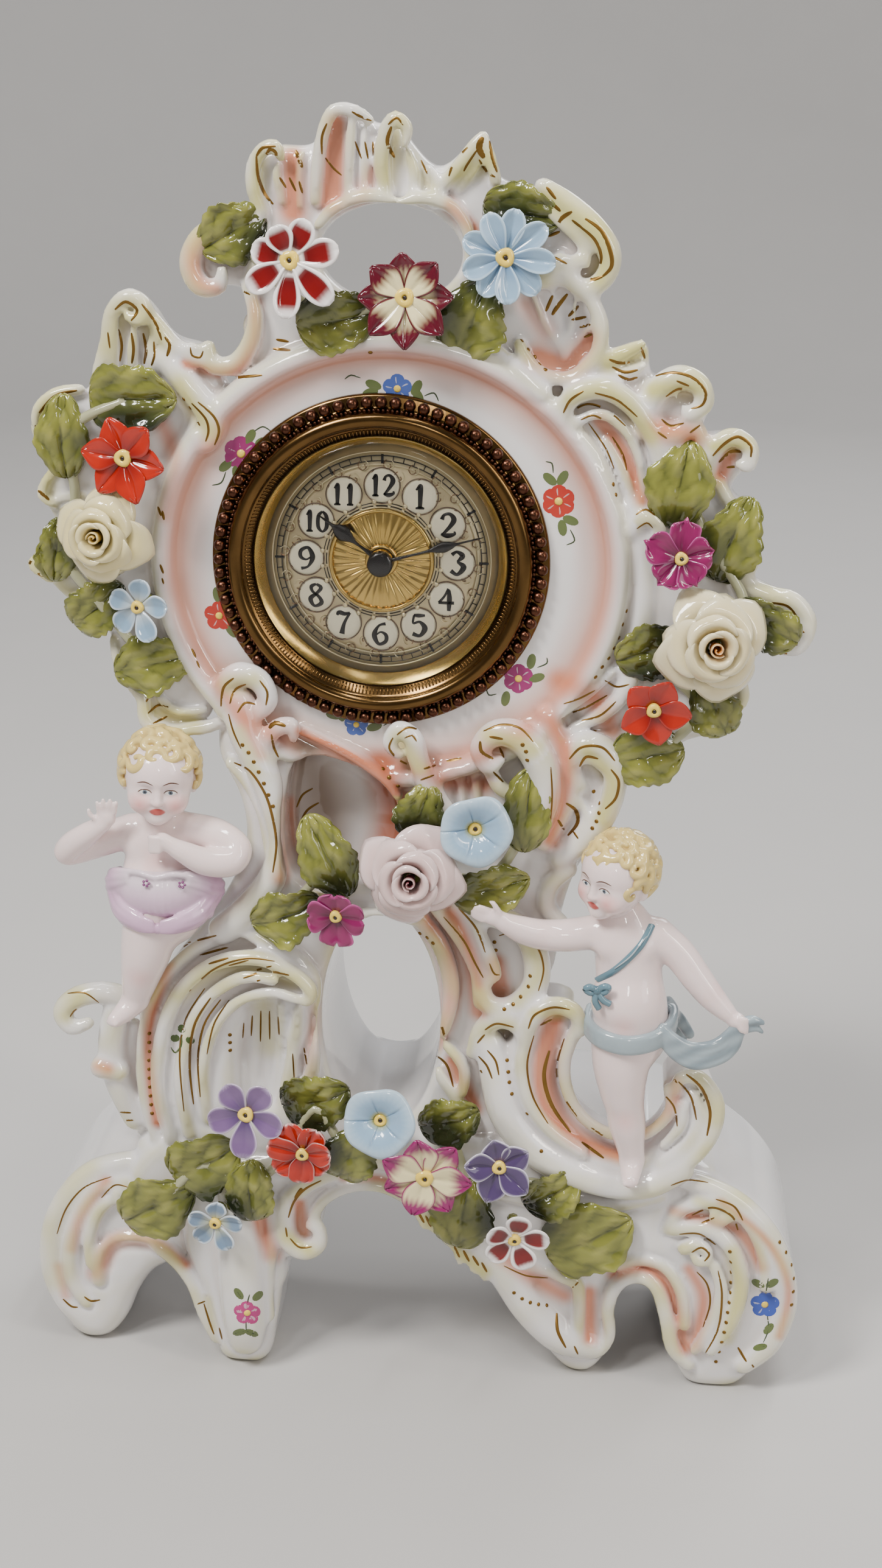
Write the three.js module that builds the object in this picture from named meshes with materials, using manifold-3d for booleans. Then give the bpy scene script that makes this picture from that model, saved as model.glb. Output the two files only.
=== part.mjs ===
// Porcelain mantel clock with two cherubs, applied flowers and a small key-wound movement.
// Millimetres, +Z up, the dial faces -Y. It is laid out with the dial axis at x = 0, the dial's
// own face at y = 0 and the shelf at z = 0, and is centred over its base at the end of the file.
import * as THREE from 'three';
import { mergeVertices } from 'three/addons/utils/BufferGeometryUtils.js';
import Module from 'manifold-3d';

const wasm = await Module();
wasm.setup();

// Driving dimensions of the porcelain case.
const GAP = 0.3;
const DIAL_Z = 300;
const FACE_Y = -3;
const DRUM_BACK_Y = 62;
const BASE_BACK_Y = 70;
const MOULDING_RADIUS = 75;
const MOULDING_STRETCH = 1.03;
const MOULDING_SHIFT_X = 3;
const MOULDING_PROUD = 6;
const DRUM_RADIUS = 61;
const BORE_RADIUS = 46;
const PLINTH_TOP_Z = 80;
const WAIST_TOP_Z = 228;
const CREST_FLOOR_Z = 368;
const CREST_SIDES = [-63, 69];
const WING_THICKNESS = 13;
const CREST_THICKNESS = 11;
const EDGE_ROUND = 2;
const HOLE_CENTRE = [1, 137];
const HOLE_HALF = [20.5, 42];
const PIERCING_CENTRE = [2, 396];
const PIERCING_HALF = [22, 15];

// Driving dimensions of the brass work, dial and hands. Coaxial rounds share one count of sides.
const DIAL_SIDES = 32;
const BEZEL_RADIUS = 54;
const BEZEL_SIGHT_RADIUS = 41;
const BEZEL_PROUD = 4.5;
const BEAD_RADIUS = 1.6;
const FLANGE_DEPTH = 2.5;
const GLASS_THICKNESS = 1.4;
const GLASS_BULGE = 5.5;
const DIAL_THICKNESS = 1;
const DIAL_SIGHT_RADIUS = 36.5;
const MEDALLION_RADIUS = 16.4;
const MEDALLION_THICKNESS = 1.2;
const MINUTE_HAND_LENGTH = 34;
const HOUR_HAND_LENGTH = 25;
const HAND_THICKNESS = 0.6;
const HAND_SPACE = 0.7;
const BOSS_RADIUS = 4.1;
const BOSS_HEIGHT = 3;
const TIME_SHOWN_MINUTES = 10 * 60 + 12.4;

// Driving dimensions of the movement. All arbors lie along Y.
const FRONT_PLATE_Y = 9;
const PLATE_THICKNESS = 1.5;
const PLATE_SPACE = 24;
const PLATE_RADIUS = 35;
const PILLAR_RADIUS = 2;
const PILLAR_CIRCLE = 30.5;
const PILLAR_ANGLES = [-10, -72, 180];
const ARBOR_RADIUS = 1.3;
const ARBOR_CLEARANCE = 0.4;
const WHEEL_THICKNESS = 1.2;
const TOOTH_MODULE = 0.75;
const TIP_CLEARANCE = 0.2;
const BARREL_TEETH = 48;
const CENTRE_PINION_LEAVES = 8;
const CENTRE_TEETH = 48;
const THIRD_PINION_LEAVES = 6;
const THIRD_TEETH = 45;
const ESCAPE_PINION_LEAVES = 6;
const ESCAPE_TEETH = 15;
const ESCAPE_RADIUS = 6;
const CANNON_TEETH = 8;
const MINUTE_WHEEL_TEETH = 24;
const MINUTE_PINION_LEAVES = 8;
const HOUR_TEETH = 32;
const BARREL_WALL_HEIGHT = 9;
const WINDING_ARBOR_RADIUS = 2;
const BALANCE_RADIUS = 8.5;
const KEY_SPAN = 22;
const KNOB_RADIUS = 6;
const BACK_RING_RADIUS = 52;
const BACK_RING_THICKNESS = 2;
const DOOR_THICKNESS = 1.2;
const STRAP_WIDTH = 8;
const STRAP_THICKNESS = 1.5;

// Colours and finishes.
const material = (color, roughness, metalness = 0, extra = {}) =>
  new THREE.MeshStandardMaterial({ color, roughness, metalness, ...extra });
const finishes = {
  porcelain: material(0xf0e6e0, 0.2),
  bisque: material(0xf3e3dc, 0.3),
  brass: material(0x8a6a34, 0.35, 0.9),
  steel: material(0x9a9da2, 0.35, 0.9),
  blued: material(0x14151c, 0.3, 0.6),
  dial: material(0xd9d2b8, 0.5, 0.2),
  gilt: material(0xc9a352, 0.35, 0.8),
  glass: material(0xe8f0f2, 0.05, 0, { transparent: true, opacity: 0.3 }),
  leaf: material(0x6d7336, 0.25),
  red: material(0x8e1f1e, 0.25),
  orange: material(0xc8401f, 0.25),
  cream: material(0xe2dab0, 0.25),
  blue: material(0xa6c4d8, 0.25),
  magenta: material(0x9a2f6a, 0.25),
  lilac: material(0x8a72a6, 0.25),
  rose: material(0xe6cfd2, 0.25),
};

const clock = new THREE.Group();

// Turns a closed three.js geometry into a solid that can be joined and cut.
function solidOf(geometry) {
  const bare = geometry.index ? geometry.toNonIndexed() : geometry.clone();
  for (const name of Object.keys(bare.attributes)) {
    if (name !== 'position') bare.deleteAttribute(name);
  }
  const merged = mergeVertices(bare, 1e-3);
  const corners = merged.index.array;
  const kept = [];
  for (let i = 0; i < corners.length; i += 3) {
    const [a, b, c] = [corners[i], corners[i + 1], corners[i + 2]];
    if (a !== b && b !== c && a !== c) kept.push(a, b, c);
  }
  return new wasm.Manifold(new wasm.Mesh({
    numProp: 3,
    vertProperties: Float32Array.from(merged.attributes.position.array),
    triVerts: Uint32Array.from(kept),
  }));
}

function largestBody(solid) {
  const bodies = solid.decompose();
  bodies.sort((a, b) => b.volume() - a.volume());
  return bodies[0];
}

// Adds one named sub-part. A cut can leave crumbs beside the piece, and only the piece is kept.
function place(name, solid, finish) {
  const piece = largestBody(solid);
  const mesh = piece.getMesh();
  const geometry = new THREE.BufferGeometry();
  geometry.setAttribute('position', new THREE.BufferAttribute(Float32Array.from(mesh.vertProperties), 3));
  geometry.setIndex(Array.from(mesh.triVerts));
  const node = new THREE.Mesh(geometry, finish);
  node.name = name;
  clock.add(node);
  return piece;
}

const join = (...solids) => solids.reduce((whole, next) => whole.add(next));

// Cuts a piece clear of what is already in place, leaving the gap on every side of it.
const inPlace = [];
function seated(piece, gap = GAP) {
  const { min, max } = piece.boundingBox();
  const reach = 2 * gap;
  const size = max.map((high, i) => high - min[i] + 2 * reach);
  const room = solidOf(new THREE.BoxGeometry(...size))
    .translate(max.map((high, i) => (high + min[i]) / 2));
  const steps = [[gap, 0, 0], [-gap, 0, 0], [0, gap, 0], [0, -gap, 0], [0, 0, gap], [0, 0, -gap]];
  let left = piece;
  for (const solid of inPlace) {
    const box = solid.boundingBox();
    if (box.min.some((low, i) => low > max[i] + reach || box.max[i] < min[i] - reach)) continue;
    const near = solid.intersect(room);
    if (near.isEmpty()) continue;
    for (const step of steps) left = left.subtract(near.translate(step));
  }
  return left;
}

// A plate with a smooth closed outline drawn in x and z, from its front y to its back y.
function slab(outline, front, back, round = EDGE_ROUND, stepsPerPoint = 1) {
  const curve = new THREE.CatmullRomCurve3(outline.map(([x, z]) => new THREE.Vector3(x, z, 0)), true);
  const points = curve.getPoints(outline.length * stepsPerPoint).slice(0, -1);
  const shape = new THREE.Shape(points.map((p) => new THREE.Vector2(p.x, p.y)));
  const geometry = new THREE.ExtrudeGeometry(shape, {
    depth: back - front - 2 * round, steps: 1, bevelEnabled: round > 0,
    bevelThickness: round, bevelSize: round, bevelOffset: -round, bevelSegments: 1,
  });
  geometry.rotateX(Math.PI / 2);
  geometry.translate(0, back - round, 0);
  return solidOf(geometry);
}

function ellipse([x, z], [halfX, halfZ], count = 20) {
  return Array.from({ length: count }, (_, i) => {
    const turn = (2 * Math.PI * i) / count;
    return [x + halfX * Math.cos(turn), z + halfZ * Math.sin(turn)];
  });
}

// A tapering rod along a smooth curve. Each stop is [x, y, z, radius], and flat narrows it in y.
function horn(stops, { sides = 6, steps = 2, flat = 1 } = {}) {
  const curve = new THREE.CatmullRomCurve3(stops.map(([x, y, z]) => new THREE.Vector3(x, y, z)), false, 'centripetal');
  const rings = (stops.length - 1) * steps;
  const geometry = new THREE.CylinderGeometry(1, 1, 1, sides, rings);
  const corner = geometry.attributes.position;
  for (let i = 0; i < corner.count; i += 1) {
    const t = Math.min(Math.max(corner.getY(i) + 0.5, 0), 1);
    const centre = curve.getPoint(t);
    const tangent = curve.getTangent(t);
    const across = new THREE.Vector3(0, 1, 0).cross(tangent);
    if (across.lengthSq() < 1e-4) across.set(1, 0, 0);
    across.normalize();
    const depth = new THREE.Vector3().crossVectors(tangent, across).normalize();
    const span = t * (stops.length - 1);
    const index = Math.min(Math.floor(span), stops.length - 2);
    const radius = THREE.MathUtils.lerp(stops[index][3], stops[index + 1][3], span - index);
    const point = centre
      .addScaledVector(across, corner.getX(i) * radius)
      .addScaledVector(depth, -corner.getZ(i) * radius * flat);
    corner.setXYZ(i, point.x, point.y, point.z);
  }
  const solid = solidOf(geometry);
  return solid.volume() > 0 ? solid : solidOf(flipped(geometry));
}

function flipped(geometry) {
  const turned = geometry.clone();
  const index = turned.index.array;
  for (let i = 0; i < index.length; i += 3) [index[i], index[i + 1]] = [index[i + 1], index[i]];
  return turned;
}

function ball([x, y, z], [halfX, halfY, halfZ], sides = 7, rings = 5) {
  const geometry = new THREE.SphereGeometry(1, sides, rings);
  geometry.scale(halfX, halfY, halfZ);
  return solidOf(geometry).translate([x, y, z]);
}

// A turned piece about an axis along Y. The profile is a list of [radius, y] that starts and ends
// on the axis, or closes on itself.
function turned(profile, [x, z] = [0, DIAL_Z], sides = 28) {
  const geometry = new THREE.LatheGeometry(profile.map(([r, y]) => new THREE.Vector2(r, y)), sides);
  const solid = solidOf(geometry);
  const outward = solid.volume() > 0 ? solid : solidOf(flipped(geometry));
  return outward.translate([x, 0, z]);
}

const disc = (radius, front, back, at, sides = 16) =>
  turned([[0, front], [radius, front], [radius, back], [0, back]], at, sides);
const ring = (inner, outer, front, back, at, sides = 28) =>
  turned([[inner, front], [outer, front], [outer, back], [inner, back], [inner, front]], at, sides);

// The porcelain case, built as one casting and then divided where its moulded sections are luted.
const legOuterLeft = [[-97, 75], [-111, 65], [-119, 53], [-124, 39], [-123, 22], [-118, 9], [-110, 0],
  [-100, 0], [-93, 8], [-88, 20], [-82, 29], [-74, 34], [-64, 40], [-66, 75]];
const legInnerLeft = [[-70, 50], [-63, 26], [-60, 10], [-56, 0], [-47, -2], [-39, 0], [-36, 14], [-34, 28],
  [-32, 41], [-40, 84], [-66, 84]];
const hookScroll = [[-42, 44], [-31, 43], [-24, 46], [-20, 52], [-22, 59], [-20, 66], [-11, 73], [1, 75],
  [6, 90], [-44, 92]];
const archRight = [[-2, 76], [9, 72], [16, 65], [25, 57], [34, 47], [45, 35], [62, 44], [70, 92], [0, 92]];
const legInnerRight = [[34, 50], [45, 33], [54, 18], [62, 8], [70, 0], [79, 0], [85, 10], [84, 24], [86, 36],
  [92, 60], [50, 80]];
const legOuterRight = [[84, 38], [93, 41], [101, 37], [105, 24], [108, 10], [113, 0], [122, -2], [132, 0],
  [141, 12], [148, 25], [150, 40], [146, 57], [137, 70], [125, 80], [112, 88], [88, 80]];
const apron = [[-92, 62], [-70, 52], [-44, 56], [-30, 78], [2, 79], [24, 70], [44, 56], [92, 50], [112, 66],
  [108, 88], [60, 96], [-60, 96], [-82, 84]];
const waist = [[-76, 76], [-82, 92], [-84, 108], [-82, 128], [-77, 146], [-69, 159], [-59, 172], [-50, 187],
  [-46, 200], [-48, 218], [-54, 232], [-50, 250], [-25, 244], [0, 242], [27, 244], [66, 250], [78, 226],
  [76, 210], [67, 197], [62, 180], [60, 160], [52, 144], [44, 128], [43, 108], [50, 92], [48, 76]];
const cup = [[56, 149], [48, 139], [42, 126], [41, 112], [47, 100], [58, 89], [72, 80], [90, 75], [104, 83],
  [113, 95], [118, 110], [114, 121], [107, 127], [99, 121], [101, 110], [97, 100], [90, 95], [80, 98],
  [72, 104], [66, 112], [63, 124], [66, 138], [67, 147]];
const leftWing = [[-88, 369], [-84, 378], [-78, 382], [-72, 377], [-66, 369], [-52, 362], [-50, 330], [-60, 300],
  [-56, 262], [-58, 243], [-77, 240], [-79, 250], [-86, 260], [-90, 272], [-100, 280], [-113, 295], [-106, 308],
  [-111, 318], [-108, 327], [-113, 339], [-107, 349], [-94, 352]];
const rightWing = [[60, 362], [70, 368], [81, 371], [84, 361], [97, 362], [102, 354], [100, 344], [110, 344],
  [115, 336], [110, 327], [117, 318], [118, 300], [124, 295], [133, 291], [137, 282], [132, 274], [122, 275],
  [117, 262], [114, 248], [99, 242], [94, 232], [80, 232], [70, 242], [62, 260], [66, 300], [60, 330]];
const crest = [[-44, 371], [-41, 380], [-46, 385], [-57, 385], [-60, 394], [-54, 402], [-40, 407], [-40, 420],
  [-34, 427], [-22, 428], [-17, 438], [-11, 440], [-2, 434], [4, 437], [8, 429], [17, 422], [29, 431],
  [34, 420], [50, 414], [62, 408], [70, 398], [68, 389], [63, 383], [67, 372], [62, 358], [40, 350], [-30, 350]];

function buildCase() {
  const drumOutside = turned([[0, FACE_Y], [66, FACE_Y], [MOULDING_RADIUS - 4, FACE_Y - MOULDING_PROUD],
    [MOULDING_RADIUS, FACE_Y - 2], [MOULDING_RADIUS, 8], [DRUM_RADIUS, 24], [DRUM_RADIUS, DRUM_BACK_Y],
    [0, DRUM_BACK_Y]], [0, 0], 32)
    .scale([MOULDING_STRETCH, 1, 1])
    .translate([MOULDING_SHIFT_X, 0, DIAL_Z - 1]);
  const bore = disc(BORE_RADIUS, FACE_Y - 20, DRUM_BACK_Y + 20, [0, DIAL_Z], DIAL_SIDES);
  const opening = slab(ellipse(HOLE_CENTRE, HOLE_HALF), -60, BASE_BACK_Y + 20, 0, 1);
  const piercing = slab(ellipse(PIERCING_CENTRE, PIERCING_HALF, 14), -60, 60, 0, 1);
  const shoulderGap = slab([[-58, 190], [-47, 196], [-46, 214], [-56, 234], [-64, 236]], -60, 90, 0);
  const niche = slab([[-29, 190], [-28, 232], [0, 226], [8, 206], [2, 190]], -60, 14, 2);
  const legs = join(
    slab(legOuterLeft, 0, BASE_BACK_Y - 6),
    slab(legInnerLeft, -10, 34),
    slab(hookScroll, -9, BASE_BACK_Y - 8),
    slab(archRight, -9, BASE_BACK_Y - 8),
    slab(legInnerRight, -4, BASE_BACK_Y - 6),
    slab(legOuterRight, -11, BASE_BACK_Y - 6),
    slab(apron, -9, BASE_BACK_Y),
  );
  const body = slab(waist, -4, BASE_BACK_Y - 4);
  const frontShell = slab([[-74, 90], [-80, 110], [-78, 132], [-66, 152], [-44, 162], [-22, 152], [-26, 120],
    [-30, 92]], -10, 10);
  const pillar = horn([[-43, -6, 254, 8], [-40, -9, 238, 7], [-34, -10, 222, 6], [-32, -10, 206, 6],
    [-36, -10, 186, 8]]);
  const rightScroll = horn([[68, -4, 236, 7], [74, -5, 222, 5], [68, -4, 208, 6], [56, -3, 196, 6]]);
  const loop = horn([[36, -5, 176, 4], [48, -6, 170, 5], [50, -6, 156, 5], [42, -6, 147, 5], [35, -5, 154, 4]]);
  const goblet = slab(cup, -13, 14);
  const toeScroll = horn([[-84, 4, 112, 6], [-92, 2, 126, 5], [-100, 0, 136, 5], [-108, 0, 134, 4],
    [-107, 0, 128, 3]]);
  const solid = join(drumOutside, legs, body, frontShell, pillar, rightScroll, loop, goblet, toeScroll,
    slab(leftWing, -2, -2 + WING_THICKNESS),
    slab(rightWing, -3, -3 + WING_THICKNESS),
    slab(crest, -2, -2 + CREST_THICKNESS),
    horn([[-48, -2, 366, 5], [-57, -4, 361, 5], [-59, -4, 368, 4]]),
    horn([[56, -3, 411, 5], [64, -4, 400, 6], [61, -5, 391, 5], [56, -5, 397, 3]]),
    horn([[62, -4, 372, 8], [54, -6, 366, 9], [48, -5, 376, 8]]),
  );
  return solid.subtract(bore).subtract(opening).subtract(piercing).subtract(shoulderGap).subtract(niche);
}

// A block that spans the named ranges of x and z, drawn in by half the gap where it meets another.
function block([lowX, highX], [lowZ, highZ], inset = GAP / 2) {
  const geometry = new THREE.BoxGeometry(highX - lowX - 2 * inset, 600, highZ - lowZ - 2 * inset);
  return solidOf(geometry).translate([(lowX + highX) / 2, 0, (lowZ + highZ) / 2]);
}

const FAR = 400;
const shelf = block([-FAR, FAR], [-FAR, 0], 0);
const casting = buildCase().subtract(shelf);
const crestRange = [CREST_SIDES, [CREST_FLOOR_Z, FAR * 2]];
place('case_plinth', casting.intersect(block([-FAR, FAR], [-FAR, PLINTH_TOP_Z])), finishes.porcelain);
place('case_waist', casting.intersect(block([-FAR, FAR], [PLINTH_TOP_Z, WAIST_TOP_Z])), finishes.porcelain);
place('case_drum', casting.intersect(block([-FAR, FAR], [WAIST_TOP_Z, FAR * 2]))
  .subtract(block(...crestRange, -GAP / 2)), finishes.porcelain);
place('case_crest', casting.intersect(block(...crestRange)), finishes.porcelain);

// The cherubs: joined rounded forms, each cut clear of the case it is seated on.
function leftCherub() {
  return join(
    ball([-72, -11, 227], [13, 13, 16]),
    horn([[-72, -10, 216, 6], [-73, -9, 204, 6]]),
    ball([-74, -9, 201], [15, 9, 11]),
    ball([-74, -9, 187], [13, 9, 12]),
    horn([[-84, -9, 206, 6], [-96, -9, 200, 5], [-105, -11, 198, 5], [-98, -15, 206, 4], [-91, -18, 215, 3.5]]),
    horn([[-63, -9, 207, 6], [-49, -11, 198, 5.5], [-58, -17, 194, 5], [-73, -20, 199, 4]]),
    ball([-71, -7, 180], [23, 14, 14]),
    horn([[-73, -12, 174, 11], [-79, -13, 158, 8], [-86, -11, 144, 5.5], [-90, -10, 136, 4.5]]),
    ball([-92, -12, 132], [6, 8, 5]),
  );
}

function rightCherub() {
  return join(
    ball([80, -14, 199], [13, 13, 16]),
    horn([[80, -13, 188, 6], [83, -12, 176, 6]]),
    ball([84, -12, 171], [15, 9, 12]),
    ball([86, -13, 153], [14, 10, 14]),
    horn([[75, -12, 178, 6], [62, -12, 177, 5.5], [50, -15, 179, 5], [42, -19, 184, 4], [36, -20, 189, 3]]),
    horn([[96, -12, 176, 6], [106, -13, 169, 5.5], [115, -15, 158, 5], [124, -16, 148, 3.5]]),
    ball([87, -13, 142], [15, 11, 9]),
    horn([[92, -18, 142, 5], [103, -18, 134, 5], [115, -17, 135, 4.5], [124, -16, 147, 3]]),
    horn([[84, -13, 138, 10], [85, -14, 120, 7.5], [88, -13, 102, 5.5], [90, -12, 90, 4.5]]),
    horn([[88, -4, 138, 8], [87, 2, 120, 6.5], [88, 4, 104, 4], [89, 3, 96, 3.5]]),
    ball([88, -15, 86], [5, 9, 4.5]),
  );
}

inPlace.push(casting);
inPlace.push(place('cherub_left', seated(leftCherub()), finishes.bisque));
inPlace.push(place('cherub_right', seated(rightCherub()), finishes.bisque));

// A blossom turned about its own axis, with the rim drawn in between the petals.
function blossom({ at: [x, y, z], petals, radius, notch = 0.35, cup = 2.5, heart = 0.22, spin = 0,
  stalk = STALK_REACH }) {
  const sides = petals < 6 ? petals * 3 : petals * 2;
  const geometry = new THREE.LatheGeometry([[0, cup + 2.5], [radius, 1.2], [radius, -0.4],
    [heart * radius, cup * 0.4], [0, -2.2]].map(([r, h]) => new THREE.Vector2(r, h)), sides);
  const corner = geometry.attributes.position;
  for (let i = 0; i < corner.count; i += 1) {
    const [px, pz] = [corner.getX(i), corner.getZ(i)];
    const reach = Math.hypot(px, pz) / radius;
    const lobe = Math.abs(Math.cos((Math.atan2(px, pz) * petals) / 2));
    const drawn = reach > 0.6 ? 1 - notch * (1 - lobe) : 1;
    corner.setX(i, px * drawn);
    corner.setZ(i, pz * drawn);
  }
  geometry.rotateY(spin);
  const solid = solidOf(geometry);
  const outward = solid.volume() > 0 ? solid : solidOf(flipped(geometry));
  return outward.add(disc(STALK_RADIUS, 1, stalk, [0, 0], 6)).translate([x, y, z]);
}

const STALK_RADIUS = 2.6;
const STALK_REACH = 42;
const blossoms = [
  { name: 'flower_top_red', at: [-27, -14, 394], petals: 7, radius: 13.7, notch: 0.4, finish: 'red' },
  { name: 'flower_top_burgundy', at: [8, -14, 385], petals: 8, radius: 14.2, finish: 'cream', stalk: 8 },
  { name: 'flower_top_blue', at: [37.5, -14, 397.5], petals: 9, radius: 13.7, notch: 0.3, finish: 'blue' },
  { name: 'flower_left_orange', at: [-78.5, -16, 334], petals: 6, radius: 13.6, notch: 0.4, finish: 'orange' },
  { name: 'rose_left_cream', at: [-87, -16, 309], petals: 5, radius: 15.2, notch: 0.12, cup: 6, finish: 'cream' },
  { name: 'flower_left_blue', at: [-76, -14, 286], petals: 5, radius: 10.4, notch: 0.3, finish: 'blue' },
  { name: 'flower_right_magenta', at: [94.5, -14, 307.5], petals: 5, radius: 11.3, notch: 0.3, finish: 'magenta' },
  { name: 'rose_right_cream', at: [106, -18, 281], petals: 5, radius: 16.5, notch: 0.12, cup: 6, finish: 'cream' },
  { name: 'flower_right_orange', at: [88.5, -16, 259], petals: 5, radius: 11.8, notch: 0.35, finish: 'orange' },
  { name: 'rose_middle_pink', at: [13, -24, 201], petals: 5, radius: 15.4, notch: 0.12, cup: 6, finish: 'rose' },
  { name: 'trumpet_middle_blue', at: [33, -20, 217], petals: 5, radius: 11.2, notch: 0.05, cup: 6, finish: 'blue' },
  { name: 'flower_middle_magenta', at: [-12, -18, 184], petals: 4, radius: 9.8, notch: 0.3, finish: 'magenta' },
  { name: 'flower_low_lilac', at: [-42.5, -22, 110], petals: 5, radius: 13, notch: 0.4, finish: 'lilac' },
  { name: 'flower_low_orange', at: [-23, -24, 97.5], petals: 6, radius: 11.6, notch: 0.3, finish: 'orange' },
  { name: 'trumpet_low_blue', at: [3.5, -24, 111], petals: 5, radius: 12.6, notch: 0.05, cup: 6, finish: 'blue',
    stalk: 8 },
  { name: 'flower_low_star', at: [19, -26, 91], petals: 6, radius: 13.4, notch: 0.35, finish: 'cream' },
  { name: 'flower_low_purple', at: [44, -24, 96], petals: 5, radius: 12, notch: 0.3, finish: 'lilac' },
  { name: 'flower_low_red', at: [50, -26, 70], petals: 5, radius: 11.5, notch: 0.4, finish: 'red' },
  { name: 'flower_low_grey', at: [-54, -22, 67.5], petals: 5, radius: 10.2, notch: 0.3, finish: 'blue' },
];

// A leaf is a thin bent lens. Each row is [x, y, z, length, width, turn in degrees from upright].
const LEAF_THICKNESS = 2.4;
function leaf([x, y, z, length, width, turn]) {
  const geometry = new THREE.SphereGeometry(1, 7, 4);
  const corner = geometry.attributes.position;
  for (let i = 0; i < corner.count; i += 1) {
    const along = corner.getY(i);
    const lean = 0.12 * length * (along * along - 0.4);
    corner.setXYZ(i, corner.getX(i) * width / 2, corner.getZ(i) * LEAF_THICKNESS / 2 + lean * 0.4,
      along * length / 2);
  }
  const solid = solidOf(geometry);
  const outward = solid.volume() > 0 ? solid : solidOf(flipped(geometry));
  return outward.rotate([0, turn, 0]).translate([x, y, z]);
}

// Each spray is its leaves and the stem that runs behind them through the listed points.
const STEM_RADIUS = 2.6;
const sprays = {
  leaves_top: {
    leaves: [[-46, -5, 402, 21, 17, 60], [-14, -7, 377, 23, 18, 80], [28, -7, 378, 24, 20, 20],
      [42, -5, 410, 22, 16, 100]],
    stem: [[-44, -4, 400], [-30, -6, 386], [-14, -6, 377], [8, -6, 385], [27, -6, 379], [36, -5, 394], [42, -5, 408]],
  },
  leaves_left: {
    leaves: [[-78, -7, 351, 26, 20, 90], [-100, -7, 338, 25, 15, 0], [-104, -6, 301, 20, 12, 10],
      [-92, -5, 283, 20, 16, 50], [-74, -7, 264, 24, 18, 75]],
    stem: [[-80, -7, 350], [-98, -7, 340], [-98, -4, 318], [-102, -6, 300], [-90, -6, 283], [-76, -7, 266]],
  },
  leaves_right: {
    leaves: [[94, -7, 329, 26, 19, 10], [111, -7, 312, 27, 18, 20], [123, -9, 286, 22, 14, -60],
      [87, -7, 275, 21, 17, 70], [108, -8, 257, 19, 15, -30], [88, -9, 240, 22, 19, 80]],
    stem: [[94, -6, 328], [106, -6, 308], [116, -7, 290], [106, -6, 272], [92, -6, 270], [104, -7, 256], [92, -8, 242]],
  },
  leaves_middle: {
    leaves: [[15, -13, 218, 20, 15, 15], [50, -13, 221, 27, 15, 5], [38, -12, 193, 25, 15, 75],
      [-16, -13, 202, 29, 17, -25], [-30, -13, 181, 23, 18, 70]],
    stem: [[15, -10, 216], [32, -9, 214], [48, -10, 216], [38, -9, 196], [12, -9, 196], [-14, -10, 196],
      [-28, -11, 183]],
  },
  leaves_low_left: {
    leaves: [[-59, -17, 87, 25, 22, 60], [-42, -19, 77, 23, 16, 0], [-76, -17, 68, 27, 22, 60],
      [-20, -16, 113, 23, 20, 70], [-8, -19, 94, 20, 18, 20]],
    stem: [[-74, -17, 70], [-59, -17, 86], [-44, -18, 80], [-31, -17, 90], [-20, -17, 110], [-9, -18, 97], [3.5, -16, 111]],
  },
  leaves_low_right: {
    leaves: [[26, -13, 106, 20, 18, 70], [32, -13, 69, 25, 20, 10], [62, -16, 82, 20, 17, 60],
      [76, -13, 62, 31, 25, 60]],
    stem: [[25, -10, 104], [31, -10, 86], [33, -10, 74], [48, -12, 82], [62, -14, 82], [74, -11, 65]],
  },
};

for (const [name, { leaves, stem }] of Object.entries(sprays)) {
  const stalk = horn(stem.map((stop) => [...stop, STEM_RADIUS]), { sides: 5, steps: 1 });
  inPlace.push(place(name, seated(join(stalk, ...leaves.map(leaf))), finishes.leaf));
}

// Each blossom is applied over the leaves, so its stalk ends on a leaf, a stem or the case.
for (const spec of blossoms) inPlace.push(place(spec.name, seated(blossom(spec)), finishes[spec.finish]));

// The bezel stands on the case face. Its flange drops into the bore and carries the dial.
const bezelFront = FACE_Y - GAP - BEZEL_PROUD;
const flangeRadius = BORE_RADIUS - GAP;
const glassSeatRadius = BEZEL_SIGHT_RADIUS + 2;
place('bezel', turned([[BEZEL_SIGHT_RADIUS, bezelFront + 2.5], [BEZEL_SIGHT_RADIUS + 3, bezelFront],
  [BEZEL_RADIUS - 2 * BEAD_RADIUS, bezelFront + 2.4], [BEZEL_RADIUS - BEAD_RADIUS, bezelFront + 1.6],
  [BEZEL_RADIUS, FACE_Y - GAP], [flangeRadius, FACE_Y - GAP],
  [flangeRadius, FACE_Y + FLANGE_DEPTH], [glassSeatRadius, FACE_Y + FLANGE_DEPTH],
  [glassSeatRadius, bezelFront + 3.4], [BEZEL_SIGHT_RADIUS, bezelFront + 2.5]], undefined, DIAL_SIDES), finishes.brass);

// The glass is a shallow dome held behind the bezel's inner lip.
const glassRim = BEZEL_SIGHT_RADIUS - GAP;
const glassEdgeY = bezelFront + 3;
place('glass', turned([[0, glassEdgeY - GLASS_BULGE], [0.5 * glassRim, glassEdgeY - 0.8 * GLASS_BULGE],
  [glassRim, glassEdgeY - 0.6], [glassRim, glassEdgeY + GLASS_THICKNESS - 0.6],
  [0.5 * glassRim, glassEdgeY - 0.8 * GLASS_BULGE + GLASS_THICKNESS],
  [0, glassEdgeY - GLASS_BULGE + GLASS_THICKNESS]], undefined, DIAL_SIDES), finishes.glass);

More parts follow.
